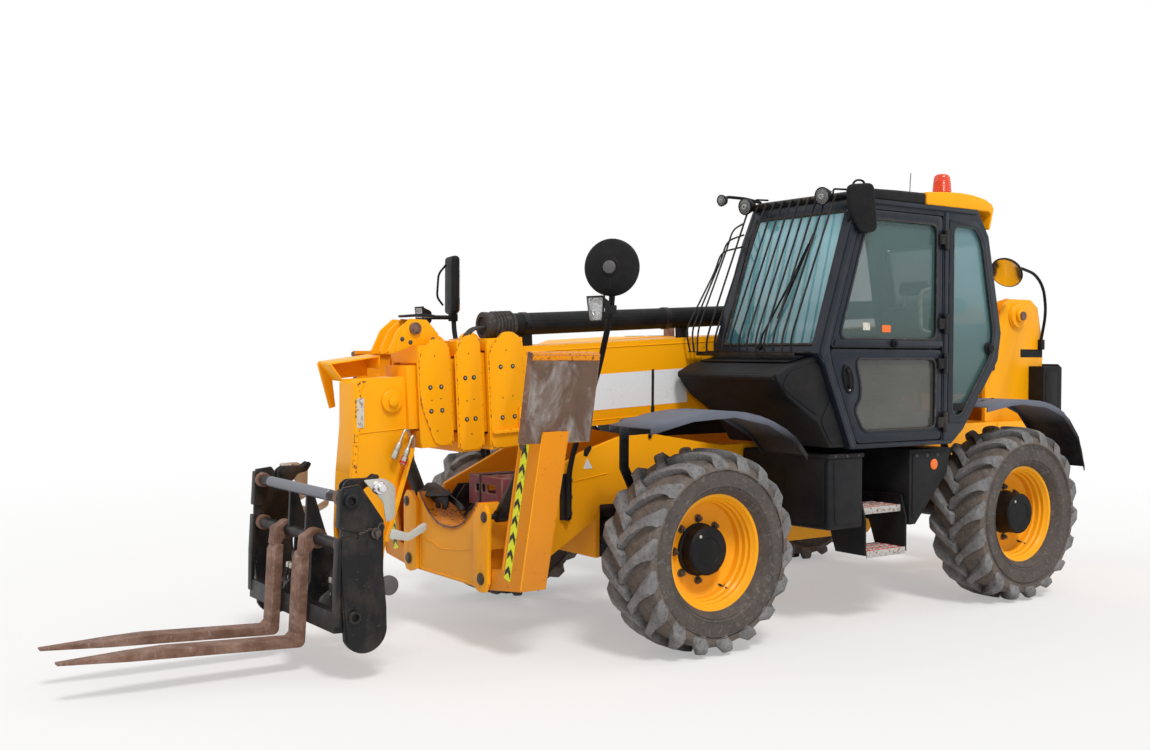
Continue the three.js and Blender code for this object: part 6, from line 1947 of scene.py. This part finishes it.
def fenderDetails():
    # the turned-down outer rim, the stay and its bolts on each fender
    inner, outer = fenders["span"]
    for end in ("front", "rear"):
        data = fenders[end]
        shift = data["axle"] - frontAxleX
        top = [(ahead + shift, rise) for ahead, rise in data["top"]]
        under = [(ahead, rise - 0.036) for ahead, rise in reversed(top[1:])]
        under.append((top[0][0] + 0.004, top[0][1] - 0.036))
        made = [cutPlate("rim", top + under, (outer - 0.006, outer + 0.004), "xz", 0.003), cutPlate("rim",
            top + [(ahead, rise - 0.026) for ahead, rise in reversed(top)], (inner - 0.003, inner + 0.005), "xz",
            0.002)]
        bothSides([joined(f"fender_rim_{end}", made)], "fender", data["knuckles"])
        bolts = []
        middle = ((top[1][0] + top[2][0]) / 2, (top[1][1] + top[2][1]) / 2)
        for side in (inner + 0.07, inner + 0.17):
            bolts.append(boltOn(at(middle[0], side, middle[1]), Vector((0, 0, 1)), 0.01))
            bolts.append(boltOn(at(middle[0] + 0.1, side, middle[1] - 0.01), Vector((0, 0, 1)), 0.01))
        stay = slab("stay", [at(middle[0] - 0.06, inner + 0.04, middle[1] - 0.004),
            at(middle[0] + 0.15, inner + 0.04, middle[1] - 0.02),
            at(middle[0] + 0.15, inner + 0.2, middle[1] - 0.02),
            at(middle[0] - 0.06, inner + 0.2, middle[1] - 0.004)], Vector((0, 0, 0.006)), 0.002)
        bothSides([joined(f"fender_bolts_{end}", bolts)], "darkPin", data["knuckles"])
        stay.name = f"fender_stay_{end}"
        bothSides([stay], "black", data["knuckles"])


def sideBoxes():
    softened("side_box_front", "plastic", 0.016, 3)
    softened("engine_pod", "plastic", 0.012, 3)
    softened("rear_guard", "plastic", 0.01, 3)
    softened("steps", "plastic", 0.006)
    trims = [
        cutPlate("box_panel", rounded([(-1.185, 0.64), (-0.955, 0.64), (-0.94, 1.03), (-1.185, 1.03)], 0.03),
            (1.1085, 1.114), "xz", 0.003),
        cutPlate("box_band", rounded([(-1.2, 1.036), (-0.885, 1.036), (-0.9, 1.062), (-1.2, 1.062)], 0.008),
            (1.104, 1.118), "xz", 0.003),
        slab("box_front", [at(-0.866, 0.79, 0.64), at(-0.897, 1.08, 0.64), at(-0.897, 1.08, 1.03),
            at(-0.866, 0.79, 1.03)], Vector((0.006, 0.0006, 0)), 0.003),
        cutPlate("rear_panel", rounded([(-1.665, 0.63), (-1.705, 0.63), (-1.975, 0.905), (-2.01, 1.035),
            (-1.665, 1.035)], 0.03), (1.0945, 1.101), "xz", 0.003),
    ]
    place(joined("side_trims", trims), "plastic")
    reflector = spun("reflector", [(0, 0), (0.034, 0), (0.034, 0.5), (0.029, 0.8), (0.014, 1), (0, 1)],
        at(-1.865, 1.1, 0.96), at(-1.865, 1.11, 0.96), 32)
    place(reflector, "orange")
    drain = [boltOn(at(-1.15 + 0.1 * number, 1.114, 1.048), Vector((0, 1, 0)), 0.008) for number in range(3)]
    drain += [boltOn(at(-1.7 - 0.1 * number, 1.1005, 1.02), Vector((0, 1, 0)), 0.008) for number in range(3)]
    place(joined("box_bolts", drain), "darkPin")
    box = [block("battery_lid", at(-1.59, 0.56, 0.8), at(-1.255, 0.7, 1.04), 0.012, 3), pipe("box_hose",
        [at(-1.3, 0.72, 1.03), at(-1.32, 0.76, 0.95), at(-1.45, 0.76, 0.86), at(-1.55, 0.74, 0.8)], 0.012, 0.05,
        10), block("clasp", at(-1.44, 0.7, 0.96), at(-1.4, 0.712, 1.02), 0.004)]
    place(joined("side_locker", box), "plasticSmooth")


steps = {
    "treads": (((-1.598, -1.247), (0.822, 1.058), 0.712), ((-1.598, -1.247), (0.862, 1.098), 0.452)),
    "holeRows": 3,
    "holeColumns": 7,
}


def buildTreads():
    # each tread has a worn red plate with raised rims round its punched holes, and a pale folded nose
    plates = []
    noses = []
    rims = []
    for (rear, front), (inner, outer), rise in steps["treads"]:
        plate = block("tread", at(rear, inner, rise + 0.0003), at(front, outer, rise + 0.004), 0)
        punches = []
        for row in range(steps["holeRows"]):
            for column in range(steps["holeColumns"]):
                spot = at(rear + 0.04 + column * 0.045, inner + 0.05 + row * 0.068, rise)
                punches.append(drum("punch", spot - Vector((0, 0, 0.004)), spot + Vector((0, 0, 0.012)), 0.0125, 0,
                    12))
                rims.append(spun("rim", [(0.0125, 0), (0.019, 0), (0.0165, 0.7), (0.0135, 1), (0.0125, 0.8),
                    (0.0125, 0)], spot + Vector((0, 0, 0.003)), spot + Vector((0, 0, 0.009)), 12))
        cutAway(plate, joined("punches", punches))
        plates.append(roundEdges(plate, 0.001, 1))
        noses.append(block("tread_nose", at(rear, outer - 0.004, rise - 0.036),
            at(front, outer + 0.004, rise + 0.006), 0.002))
        for number in range(9):
            spot = at(rear + 0.03 + number * 0.037, outer + 0.0035, rise - 0.015)
            rims.append(drum("stud", spot, spot + Vector((0, 0.003, 0)), 0.008, 0.001, 12))
    place(joined("step_treads", plates), "treadRed", worn="treadPale")
    place(joined("step_noses", noses), "treadPale")
    place(joined("step_rims", rims), "treadPale")


def coverDetails():
    # engine cover: louvres along the top and the outer side, latches and a grab bar
    softened("engine_cover", "yellow", 0.01, 3)
    slats = []
    for number in range(14):
        start = -0.9 - number * 0.075
        slats.append(slab("slat", [at(start, -1.15, 1.33), at(start - 0.055, -1.15, 1.33),
            at(start - 0.055, -1.15, 1.62), at(start, -1.15, 1.62)], Vector((-0.01, -0.014, 0)), 0.003))
    for number in range(15):
        start = -0.98 - number * 0.068
        for low, high in ((-0.98, -0.78), (-0.72, -0.52)):
            slats.append(block("slat", at(start - 0.044, low, 1.764 - 0.0308 * (number * 0.068 + 0.1)),
                at(start, high, 1.784 - 0.0308 * (number * 0.068 + 0.1)), 0.004))
    place(joined("cover_slats", slats), "black", "cover", "black_plastic")
    latches = [block("latch", at(start - 0.05, -1.164, 1.262), at(start + 0.05, -1.149, 1.3), 0.005)
        for start in (-1.05, -1.85)]
    latches.append(pipe("cover_grip", [at(-1.3, -1.15, 1.285), at(-1.31, -1.178, 1.285), at(-1.59, -1.178, 1.285),
        at(-1.6, -1.15, 1.285)], 0.009, 0.02, 10))
    place(joined("cover_latches", latches), "plasticSmooth", "cover")
    pipes = [spun("exhaust", [(0, 0), (0.042, 0), (0.042, 0.1), (0.038, 0.12), (0.038, 0.9), (0.034, 0.93),
        (0.03, 1), (0.026, 0.9), (0, 0.9)], at(-0.98, -0.47, 1.7), at(-0.98, -0.47, 1.93), 28)]
    place(joined("exhaust_stub", pipes), "rusty", "cover", "engine_iron")
    pod = [block("pod_step", at(-1.6, -1.163, 0.66), at(-1.2, -1.149, 0.72), 0.006), cutPlate("pod_panel",
        rounded([(-1.98, 0.66), (-1.66, 0.66), (-1.66, 1.18), (-1.98, 1.18)], 0.04), (-1.158, -1.149), "xz", 0.003),
        cutPlate("pod_panel", rounded([(-1.62, 0.76), (-0.92, 0.76), (-0.92, 1.18), (-1.62, 1.18)], 0.04),
            (-1.158, -1.149), "xz", 0.003)]
    place(joined("pod_panels", pod), "plastic")
    softened("engine_block", "iron", 0.012, 3)


chassis = {
    "face": 0.4003,
    "beamEnd": 0.832,
    "clampBolts": (0.735, 0.83, 0.925),
    "towerBoltCircle": 0.075,
}


def chassisDetails():
    softened("chassis_frame", "yellow", 0.006)
    for end in ("front", "rear"):
        softened(f"axle_{end}", "black", 0.008, 3)
    face = chassis["face"]
    # black plate filling the slot outline: painted shade of the slot
    slot = rounded([(0.56, 0.88), (0.64, 0.862), (0.7, 0.8), (0.69, 0.76), (0.655, 0.752), (0.61, 0.8),
        (0.55, 0.835)], 0.03, 4)
    made = [cutPlate("slot_rim", slot, (face - 0.002, face + 0.004), "xz", 0.001)]
    bothSides(made, "black")
    tag = cutPlate("tag", rounded([(0.305, 0.985), (0.372, 0.985), (0.345, 1.045)], 0.006),
        (face - 0.001, face + 0.002), "xz", 0)
    place(tag, "white", "root", "bright_steel")
    # black plate beside the tag: painted shade of the opening in the side plate
    slotShadow = cutPlate("plate_slot", rounded([(0.372, 1.062), (0.345, 1.054), (0.312, 1.104), (0.322, 1.122),
        (0.366, 1.096)], 0.008, 3), (face - 0.002, face + 0.0016), "xz", 0)
    place(slotShadow, "black", worn="black")
    seams = [weld("seam", [at(chassis["beamEnd"], face, 0.44), at(chassis["beamEnd"], face, 0.85)], 0.005),
        weld("seam", [at(0.2, face, 0.95), at(0.56, face, 0.9), at(0.62, face, 0.66)], 0.0035),
        weld("seam", [at(-3.475, 0.4, 1.02), at(-3.475, 0.4, 1.145)], 0.005)]
    bothSides([joined("chassis_seam", seams)], "yellow", worn="yellow")
    clamp = [block("clamp", at(0.462, face, 0.7), at(0.538, face + 0.018, 0.965), 0.005), block("clamp_web",
        at(0.49, face + 0.018, 0.715), at(0.51, face + 0.05, 0.95), 0.004)]
    bothSides([joined("mirror_clamp", clamp)], "black")
    bolts = [boltOn(at(0.475, face + 0.018, rise), Vector((0, 1, 0)), 0.011) for rise in chassis["clampBolts"]]
    bothSides([joined("clamp_bolts", bolts)], "darkPin")
    marker = [pipe("marker_post", [at(-0.115, 0.43, 1.33), at(-0.115, 0.43, 1.56)], 0.008, 0.01, 10),
        pipe("marker_foot", [at(-0.115, 0.4, 1.15), at(-0.115, 0.43, 1.2), at(-0.115, 0.43, 1.34)], 0.011, 0.02, 10)]
    place(joined("width_marker", marker), "plasticSmooth", worn="plasticSmooth")
    # tower: black stripe plate, doubler ring holes and access hole
    stripe = cutPlate("tower_stripe", rounded([(-3.905, 1.64), (-4.188, 1.64), (-4.188, 1.702), (-3.905, 1.702)],
        0.004), (0.2918, 0.2935), "xz", 0)
    bothSides([stripe], "plasticSmooth", worn="plasticSmooth")
    hole = [spun("hole", [(0.026, 0), (0.034, 0), (0.034, 0.8), (0.026, 1), (0.026, 0)], at(-3.56, 0.2915, 1.56),
        at(-3.56, 0.2955, 1.56), 24)]
    bothSides(hole, "yellow")
    # black disc inside the ring: painted shade of the access hole
    dark = drum("hole_dark", at(-3.56, 0.2915, 1.56), at(-3.56, 0.293, 1.56), 0.026, 0.0005, 24)
    bothSides([dark], "black", worn="black")
    circle = chassis["towerBoltCircle"]
    ringBolts = []
    for turn in (math.radians(45 + 90 * step) for step in range(4)):
        spot = at(boom["pinX"] + circle * math.cos(turn), 0.3525 - 0.04, boom["pinZ"] + circle * math.sin(turn))
        ringBolts.append(boltOn(spot, Vector((0, 1, 0)), 0.008))
    bothSides([joined("tower_bolts", ringBolts)], "yellow", worn="yellow")


def rearDetails():
    # light clusters, tow pin and grille on the rear guard
    lamps = []
    shells = []
    for side in (-0.355, 0.355):
        shells.append(block("cluster", at(-4.268, side - 0.055, 1.18), at(-4.246, side + 0.055, 1.42), 0.006, 3))
        lamps.append(("beaconRed", block("brake", at(-4.274, side - 0.045, 1.33), at(-4.266, side + 0.045, 1.408),
            0.003)))
        lamps.append(("orange", block("turn", at(-4.274, side - 0.045, 1.262), at(-4.266, side + 0.045, 1.322),
            0.003)))
        lamps.append(("lens", block("reverse", at(-4.274, side - 0.045, 1.192), at(-4.266, side + 0.045, 1.254),
            0.003)))
    place(joined("lamp_clusters", shells), "plasticSmooth")
    for finish, label in (("beaconRed", "brake_lenses"), ("orange", "turn_lenses"), ("lens", "reverse_lenses")):
        place(joined(label, [piece for kind, piece in lamps if kind == finish]), finish, "root", "glass")
    grille = []
    for number in range(9):
        rise = 0.92 + number * 0.058
        grille.append(slab("slat", [at(-4.249, -0.25, rise), at(-4.249, 0.25, rise), at(-4.249, 0.25, rise + 0.038),
            at(-4.249, -0.25, rise + 0.038)], Vector((-0.012, 0, -0.008)), 0.003))
    place(joined("rear_grille", grille), "plasticSmooth")
    hitch = [cutPlate("jaw", rounded([(-4.2, 0.62), (-4.285, 0.62), (-4.285, 0.66), (-4.2, 0.7)], 0.01),
        (-0.075, 0.075), "xz", 0.003), cutPlate("jaw", rounded(
            [(-4.2, 0.77), (-4.285, 0.77), (-4.285, 0.8), (-4.2, 0.84)], 0.01), (-0.075, 0.075), "xz", 0.003),
        drum("hitch_pin", at(-4.262, 0, 0.6), at(-4.262, 0, 0.86), 0.019, 0.003, 24), pipe("pin_grip",
            [at(-4.262, -0.03, 0.845), at(-4.262, -0.03, 0.885), at(-4.262, 0.03, 0.885), at(-4.262, 0.03, 0.845)],
            0.006, 0.015, 8)]
    place(joined("tow_hitch", hitch), "iron")
    vent = [cutPlate("cheek_panel", rounded([(-4.035, 1.19), (-4.18, 1.19), (-4.18, 1.53), (-4.035, 1.53)], 0.02),
        (0.4298, 0.4345), "xz", 0.003)]
    bothSides(vent, "plasticSmooth")


finishFenderNodes()
fenderDetails()
sideBoxes()
buildTreads()
coverDetails()
chassisDetails()
rearDetails()
print("fenders, boxes, steps and covers made")


# mirrors and headlights
mirrors = {
    "left": {"middle": (0.665, 1.05, 2.1), "yaw": 34, "drop": 0, "radius": 0.15, "armRadius": 0.016,
        "arm": [(0.5, 0.425, 0.7), (0.5, 0.44, 1.0), (0.5, 0.56, 1.25), (0.56, 0.8, 1.56), (0.63, 0.98, 1.8),
            (0.65, 1.045, 1.95), (0.668, 1.052, 2.1)]},
    "right": {"middle": (0.545, -0.83, 2.09), "yaw": -14, "armRadius": 0.016, "arm": [(0.5, -0.425, 0.7),
        (0.5, -0.44, 1.0), (0.5, -0.52, 1.25), (0.545, -0.7, 1.56), (0.55, -0.8, 1.8), (0.53, -0.83, 1.95),
        (0.53, -0.83, 2.12)]},
    "rear": {"middle": (-3.6, 0.38, 2.29), "yaw": 190, "drop": 42, "radius": 0.125, "armRadius": 0.012,
        "arm": [(-4.15, 0.3, 1.74), (-4.15, 0.35, 2.0), (-4.08, 0.37, 2.19), (-3.96, 0.376, 2.29),
            (-3.75, 0.38, 2.33), (-3.628, 0.38, 2.3)]},
    "lampSize": 0.066,
}


def mirrorArm(data):
    return pipe("mirror_arm", [at(*point) for point in data["arm"]], data["armRadius"], 0.1, 14)


def roundMirror(data):
    turn, drop, radius = math.radians(data["yaw"]), math.radians(data["drop"]), data["radius"]
    ahead = Vector((math.cos(turn), math.sin(turn), math.sin(drop))).normalized()
    spot = at(*data["middle"])
    back = spun("mirror_back", [(0, 0), (radius * 0.3, 0), (radius * 0.34, 0.1), (radius * 0.82, 0.2),
        (radius * 0.96, 0.4), (radius * 1.0, 0.62), (radius * 1.0, 0.94), (radius * 0.975, 1.0),
        (radius * 0.945, 0.94), (0, 0.94)], spot + ahead * 0.024, spot - ahead * 0.02, 48)
    ribs = [spun("mirror_rib", [(radius * share, 0), (radius * (share + 0.02), 0), (radius * (share + 0.02), 1),
        (radius * share, 1), (radius * share, 0)], spot + ahead * (0.0195 - 0.01 * share),
        spot + ahead * (0.0225 - 0.01 * share), 40) for share in (0.45, 0.62)]
    glass = spun("mirror_glass", [(0, 0), (radius * 0.94, 0.0), (radius * 0.94, 0.3), (radius * 0.6, 0.75), (0, 1)],
        spot - ahead * 0.016, spot - ahead * 0.024, 48)
    boss = spun("mirror_boss", [(0, 0), (0.03, 0), (0.034, 0.2), (0.034, 0.8), (0.026, 1), (0, 1)],
        spot + ahead * 0.018, spot + ahead * 0.04, 28)
    post = mirrorArm(data)
    return [back, post] + ribs, glass, boss


def tapered(piece):
    # narrower towards the foot, with the lowest corners drawn in
    for vertex in piece.data.vertices:
        share = max(0.0, min(1.0, 0.5 - vertex.co.z / 0.13))
        vertex.co.y *= 1 - 0.26 * share * share


def squareLamp(middle, ahead, size):
    # a squarish headlight: moulded housing, bezel and clear lens
    ahead = ahead.normalized()
    turned = Matrix.Translation(middle) @ ahead.to_track_quat("X", "Z").to_matrix().to_4x4()
    housing = block("lamp_housing", Vector((-0.075, -size, -size)), Vector((0.0, size, size)), 0)
    for vertex in housing.data.vertices:
        if vertex.co.x < -0.05:
            vertex.co.y *= 0.55
            vertex.co.z *= 0.55
    roundEdges(housing, size * 0.3, 4)
    cutAway(housing, spun("hollow", [(0, 0), (size * 0.4, 0), (size * 0.82, 0.6), (size * 0.84, 1), (0, 1)],
        Vector((-0.045, 0, 0)), Vector((0.01, 0, 0)), 36))
    tapered(housing)
    bezel = block("bezel", Vector((-0.004, -size * 1.03, -size * 1.03)), Vector((0.008, size * 1.03, size * 1.03)), 0)
    cutAway(bezel, block("hole", Vector((-0.05, -size * 0.88, -size * 0.88)),
        Vector((0.05, size * 0.88, size * 0.88)), size * 0.22, 4))
    roundEdges(bezel, 0.003, 2)
    lens = block("lamp_lens", Vector((0.001, -size * 0.9, -size * 0.9)), Vector((0.009, size * 0.9, size * 0.9)),
        0.003, 3)
    bowl = spun("bowl", [(0, 0), (size * 0.4, 0.02), (size * 0.7, 0.42), (size * 0.82, 0.75), (size * 0.84, 1),
        (size * 0.79, 1), (size * 0.76, 0.78), (size * 0.64, 0.5), (size * 0.36, 0.14), (size * 0.16, 0.12),
        (size * 0.16, 0.55), (size * 0.1, 0.62), (0, 0.62)], Vector((-0.044, 0, 0)), Vector((0.0005, 0, 0)), 36)
    tapered(bezel)
    tapered(lens)
    for piece in (housing, bezel, lens, bowl):
        piece.matrix_world = turned
        applyPlace(piece)
    return [housing, bezel], lens, bowl


def buildMirrors():
    size = mirrors["lampSize"]
    shells, glass, boss = roundMirror(mirrors["left"])
    lampShells, lens, bowl = squareLamp(at(0.785, 1.085, 1.88), Vector((1, 0.1, -0.04)), size)
    stay = pipe("lamp_stay", [at(0.645, 1.02, 1.88), at(0.7, 1.06, 1.88), at(0.716, 1.085, 1.88)], 0.014, 0.03, 10)
    clamp = block("post_clamp", at(0.625, 1.005, 1.855), at(0.672, 1.05, 1.905), 0.005)
    square = block("mirror_post", at(0.652, 1.036, 1.985), at(0.684, 1.068, 2.11), 0.004)
    place(joined("mirror_left_shell", shells + lampShells + [stay, clamp, square]), "plasticSmooth",
        node="mirror_left")
    place(glass, "mirrorGlass")
    place(boss, "iron", "root", "bright_steel")
    place(joined("headlight_left_lens", [lens]), "lens")
    place(joined("headlight_left_bowl", [bowl]), "chrome")
    # right-hand side: a tall oblong mirror over its own headlight
    right = mirrors["right"]
    post = mirrorArm(right)
    shell = block("mirror_shell", Vector((-0.028, -0.095, -0.187)), Vector((0.028, 0.095, 0.187)), 0.024, 5)
    panel = block("mirror_panel", Vector((-0.032, -0.078, -0.168)), Vector((-0.026, 0.078, 0.168)), 0.003)
    turned = Matrix.Translation(at(*right["middle"])) @ Matrix.Rotation(math.radians(right["yaw"]), 4, "Z")
    for piece in (shell, panel):
        piece.matrix_world = turned
        applyPlace(piece)
    lampShells, lens, bowl = squareLamp(at(0.745, -0.895, 1.88), Vector((1, -0.1, -0.04)), size)
    wires = [pipe("wire", [at(0.59, -0.87, 1.96), at(0.64, -0.86, 2.01), at(0.64, -0.84, 2.16),
        at(0.59, -0.83, 2.22)], 0.007, 0.03, 8), pipe("lamp_stay", [at(0.545, -0.805, 1.88), at(0.62, -0.85, 1.88),
            at(0.676, -0.89, 1.88)], 0.014, 0.03, 10), block("post_clamp", at(0.525, -0.835, 1.855),
            at(0.572, -0.785, 1.905), 0.005)]
    place(joined("mirror_right_shell", [post, shell] + lampShells + wires), "plasticSmooth", node="mirror_right")
    place(panel, "mirrorGlass")
    place(joined("headlight_right_lens", [lens]), "lens")
    place(joined("headlight_right_bowl", [bowl]), "chrome")
    shells, glass, boss = roundMirror(mirrors["rear"])
    foot = block("arm_foot", at(-4.175, 0.2925, 1.7), at(-4.125, 0.325, 1.78), 0.005)
    place(joined("mirror_rear_shell", shells + [foot]), "plasticSmooth", node="mirror_rear")
    place(glass, "mirrorGlass")
    place(boss, "zinc")


buildMirrors()
print("mirrors and headlights made")
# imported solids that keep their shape, with rounded and worn edges
def slotOf(node):
    return next(part["material_slot"] for part in frame["record"]["subparts"] if part["node"] == node)


for node in sorted(frame["nodes"]):
    if not frame["nodes"][node].hide_render:
        softened(node, slotsOf[slotOf(node)][0], 0 if slotOf(node) == "glass" else 0.004)
print("packed solids finished")


# floor, lamps and backdrop
studio = {
    "floorSize": 160,
    "floorShade": paint(0.8, 0.8, 0.8),
    "nearGlow": 0.38,
    "seamlessFrom": 4.5,
    "seamlessTo": 11.0,
    "lamps": (  # place, strength, softness in degrees and tint
        ((1.7, 5.4, 7.6), 1.95, 14, (1.0, 0.985, 0.96)),
        ((6.0, -5.0, 4.0), 0.3, 40, (1, 1, 1)),
        ((-6.0, 3.0, 5.0), 0.3 * 0.6, 40, (0.96, 0.98, 1.0)),
    ),
    "skyStrength": 0.6,
}


def seenDirectly(tree):
    # 1 for what the camera sees, also by way of glass and polished metal
    rays = tree.nodes.new("ShaderNodeLightPath")
    total = rays.outputs["Is Camera Ray"]
    for name in ("Is Glossy Ray", "Is Transmission Ray"):
        greater = tree.nodes.new("ShaderNodeMath")
        greater.operation = "MAXIMUM"
        tree.links.new(total, greater.inputs[0])
        tree.links.new(rays.outputs[name], greater.inputs[1])
        total = greater.outputs[0]
    return total


def layFloor():
    # the floor fades into the white backdrop and keeps the shadow under the machine
    deselectAll()
    bpy.ops.mesh.primitive_plane_add(size=studio["floorSize"], location=(0, 0, 0))
    floor = bpy.context.object
    floor.name = "studio_floor"
    applyPlace(floor)
    made = Finish("floor_shade", Base_Color=studio["floorShade"], Roughness=1.0, Specular_IOR_Level=0.0)
    tree = made.tree
    distance = made.node("ShaderNodeVectorMath", {"operation": "LENGTH"}, {0: made.place}, "Value")
    reach = studio["seamlessTo"] - studio["seamlessFrom"]
    fade = made.node("ShaderNodeClamp", {}, {"Value": (distance - studio["seamlessFrom"]) / reach})
    seen = Wave(made, seenDirectly(tree))
    glow = tree.nodes.new("ShaderNodeEmission")
    glow.inputs["Color"].default_value = (1, 1, 1, 1)
    blend = tree.nodes.new("ShaderNodeMixShader")
    near = studio["nearGlow"]
    tree.links.new(((near + fade * (1 - near)) * seen).socket, blend.inputs[0])
    tree.links.new(made.shader.outputs[0], blend.inputs[1])
    tree.links.new(glow.outputs[0], blend.inputs[2])
    tree.links.new(blend.outputs[0], tree.nodes["Material Output"].inputs["Surface"])
    floor.data.materials.append(made.done())


def hangSun(spot, strength, softness, tint):
    deselectAll()
    bpy.ops.object.light_add(type="SUN", location=spot)
    lamp = bpy.context.object
    lamp.data.energy = strength
    lamp.data.angle = math.radians(softness)
    lamp.data.color = tint
    lamp.rotation_euler = (-Vector(spot)).to_track_quat("-Z", "Y").to_euler()


def lightStudio():
    for lamp in studio["lamps"]:
        hangSun(*lamp)
    world = bpy.data.worlds.new("studio_world")
    bpy.context.scene.world = world
    world.use_nodes = True
    tree = world.node_tree
    sky = tree.nodes["Background"]
    sky.inputs["Color"].default_value = (1, 1, 1, 1)
    strength = tree.nodes.new("ShaderNodeMix")
    strength.inputs[2].default_value = studio["skyStrength"]
    strength.inputs[3].default_value = 1.0
    tree.links.new(seenDirectly(tree), strength.inputs[0])
    tree.links.new(strength.outputs[0], sky.inputs["Strength"])
    bpy.context.scene.view_settings.view_transform = "Standard"


layFloor()
lightStudio()
print("studio ready")
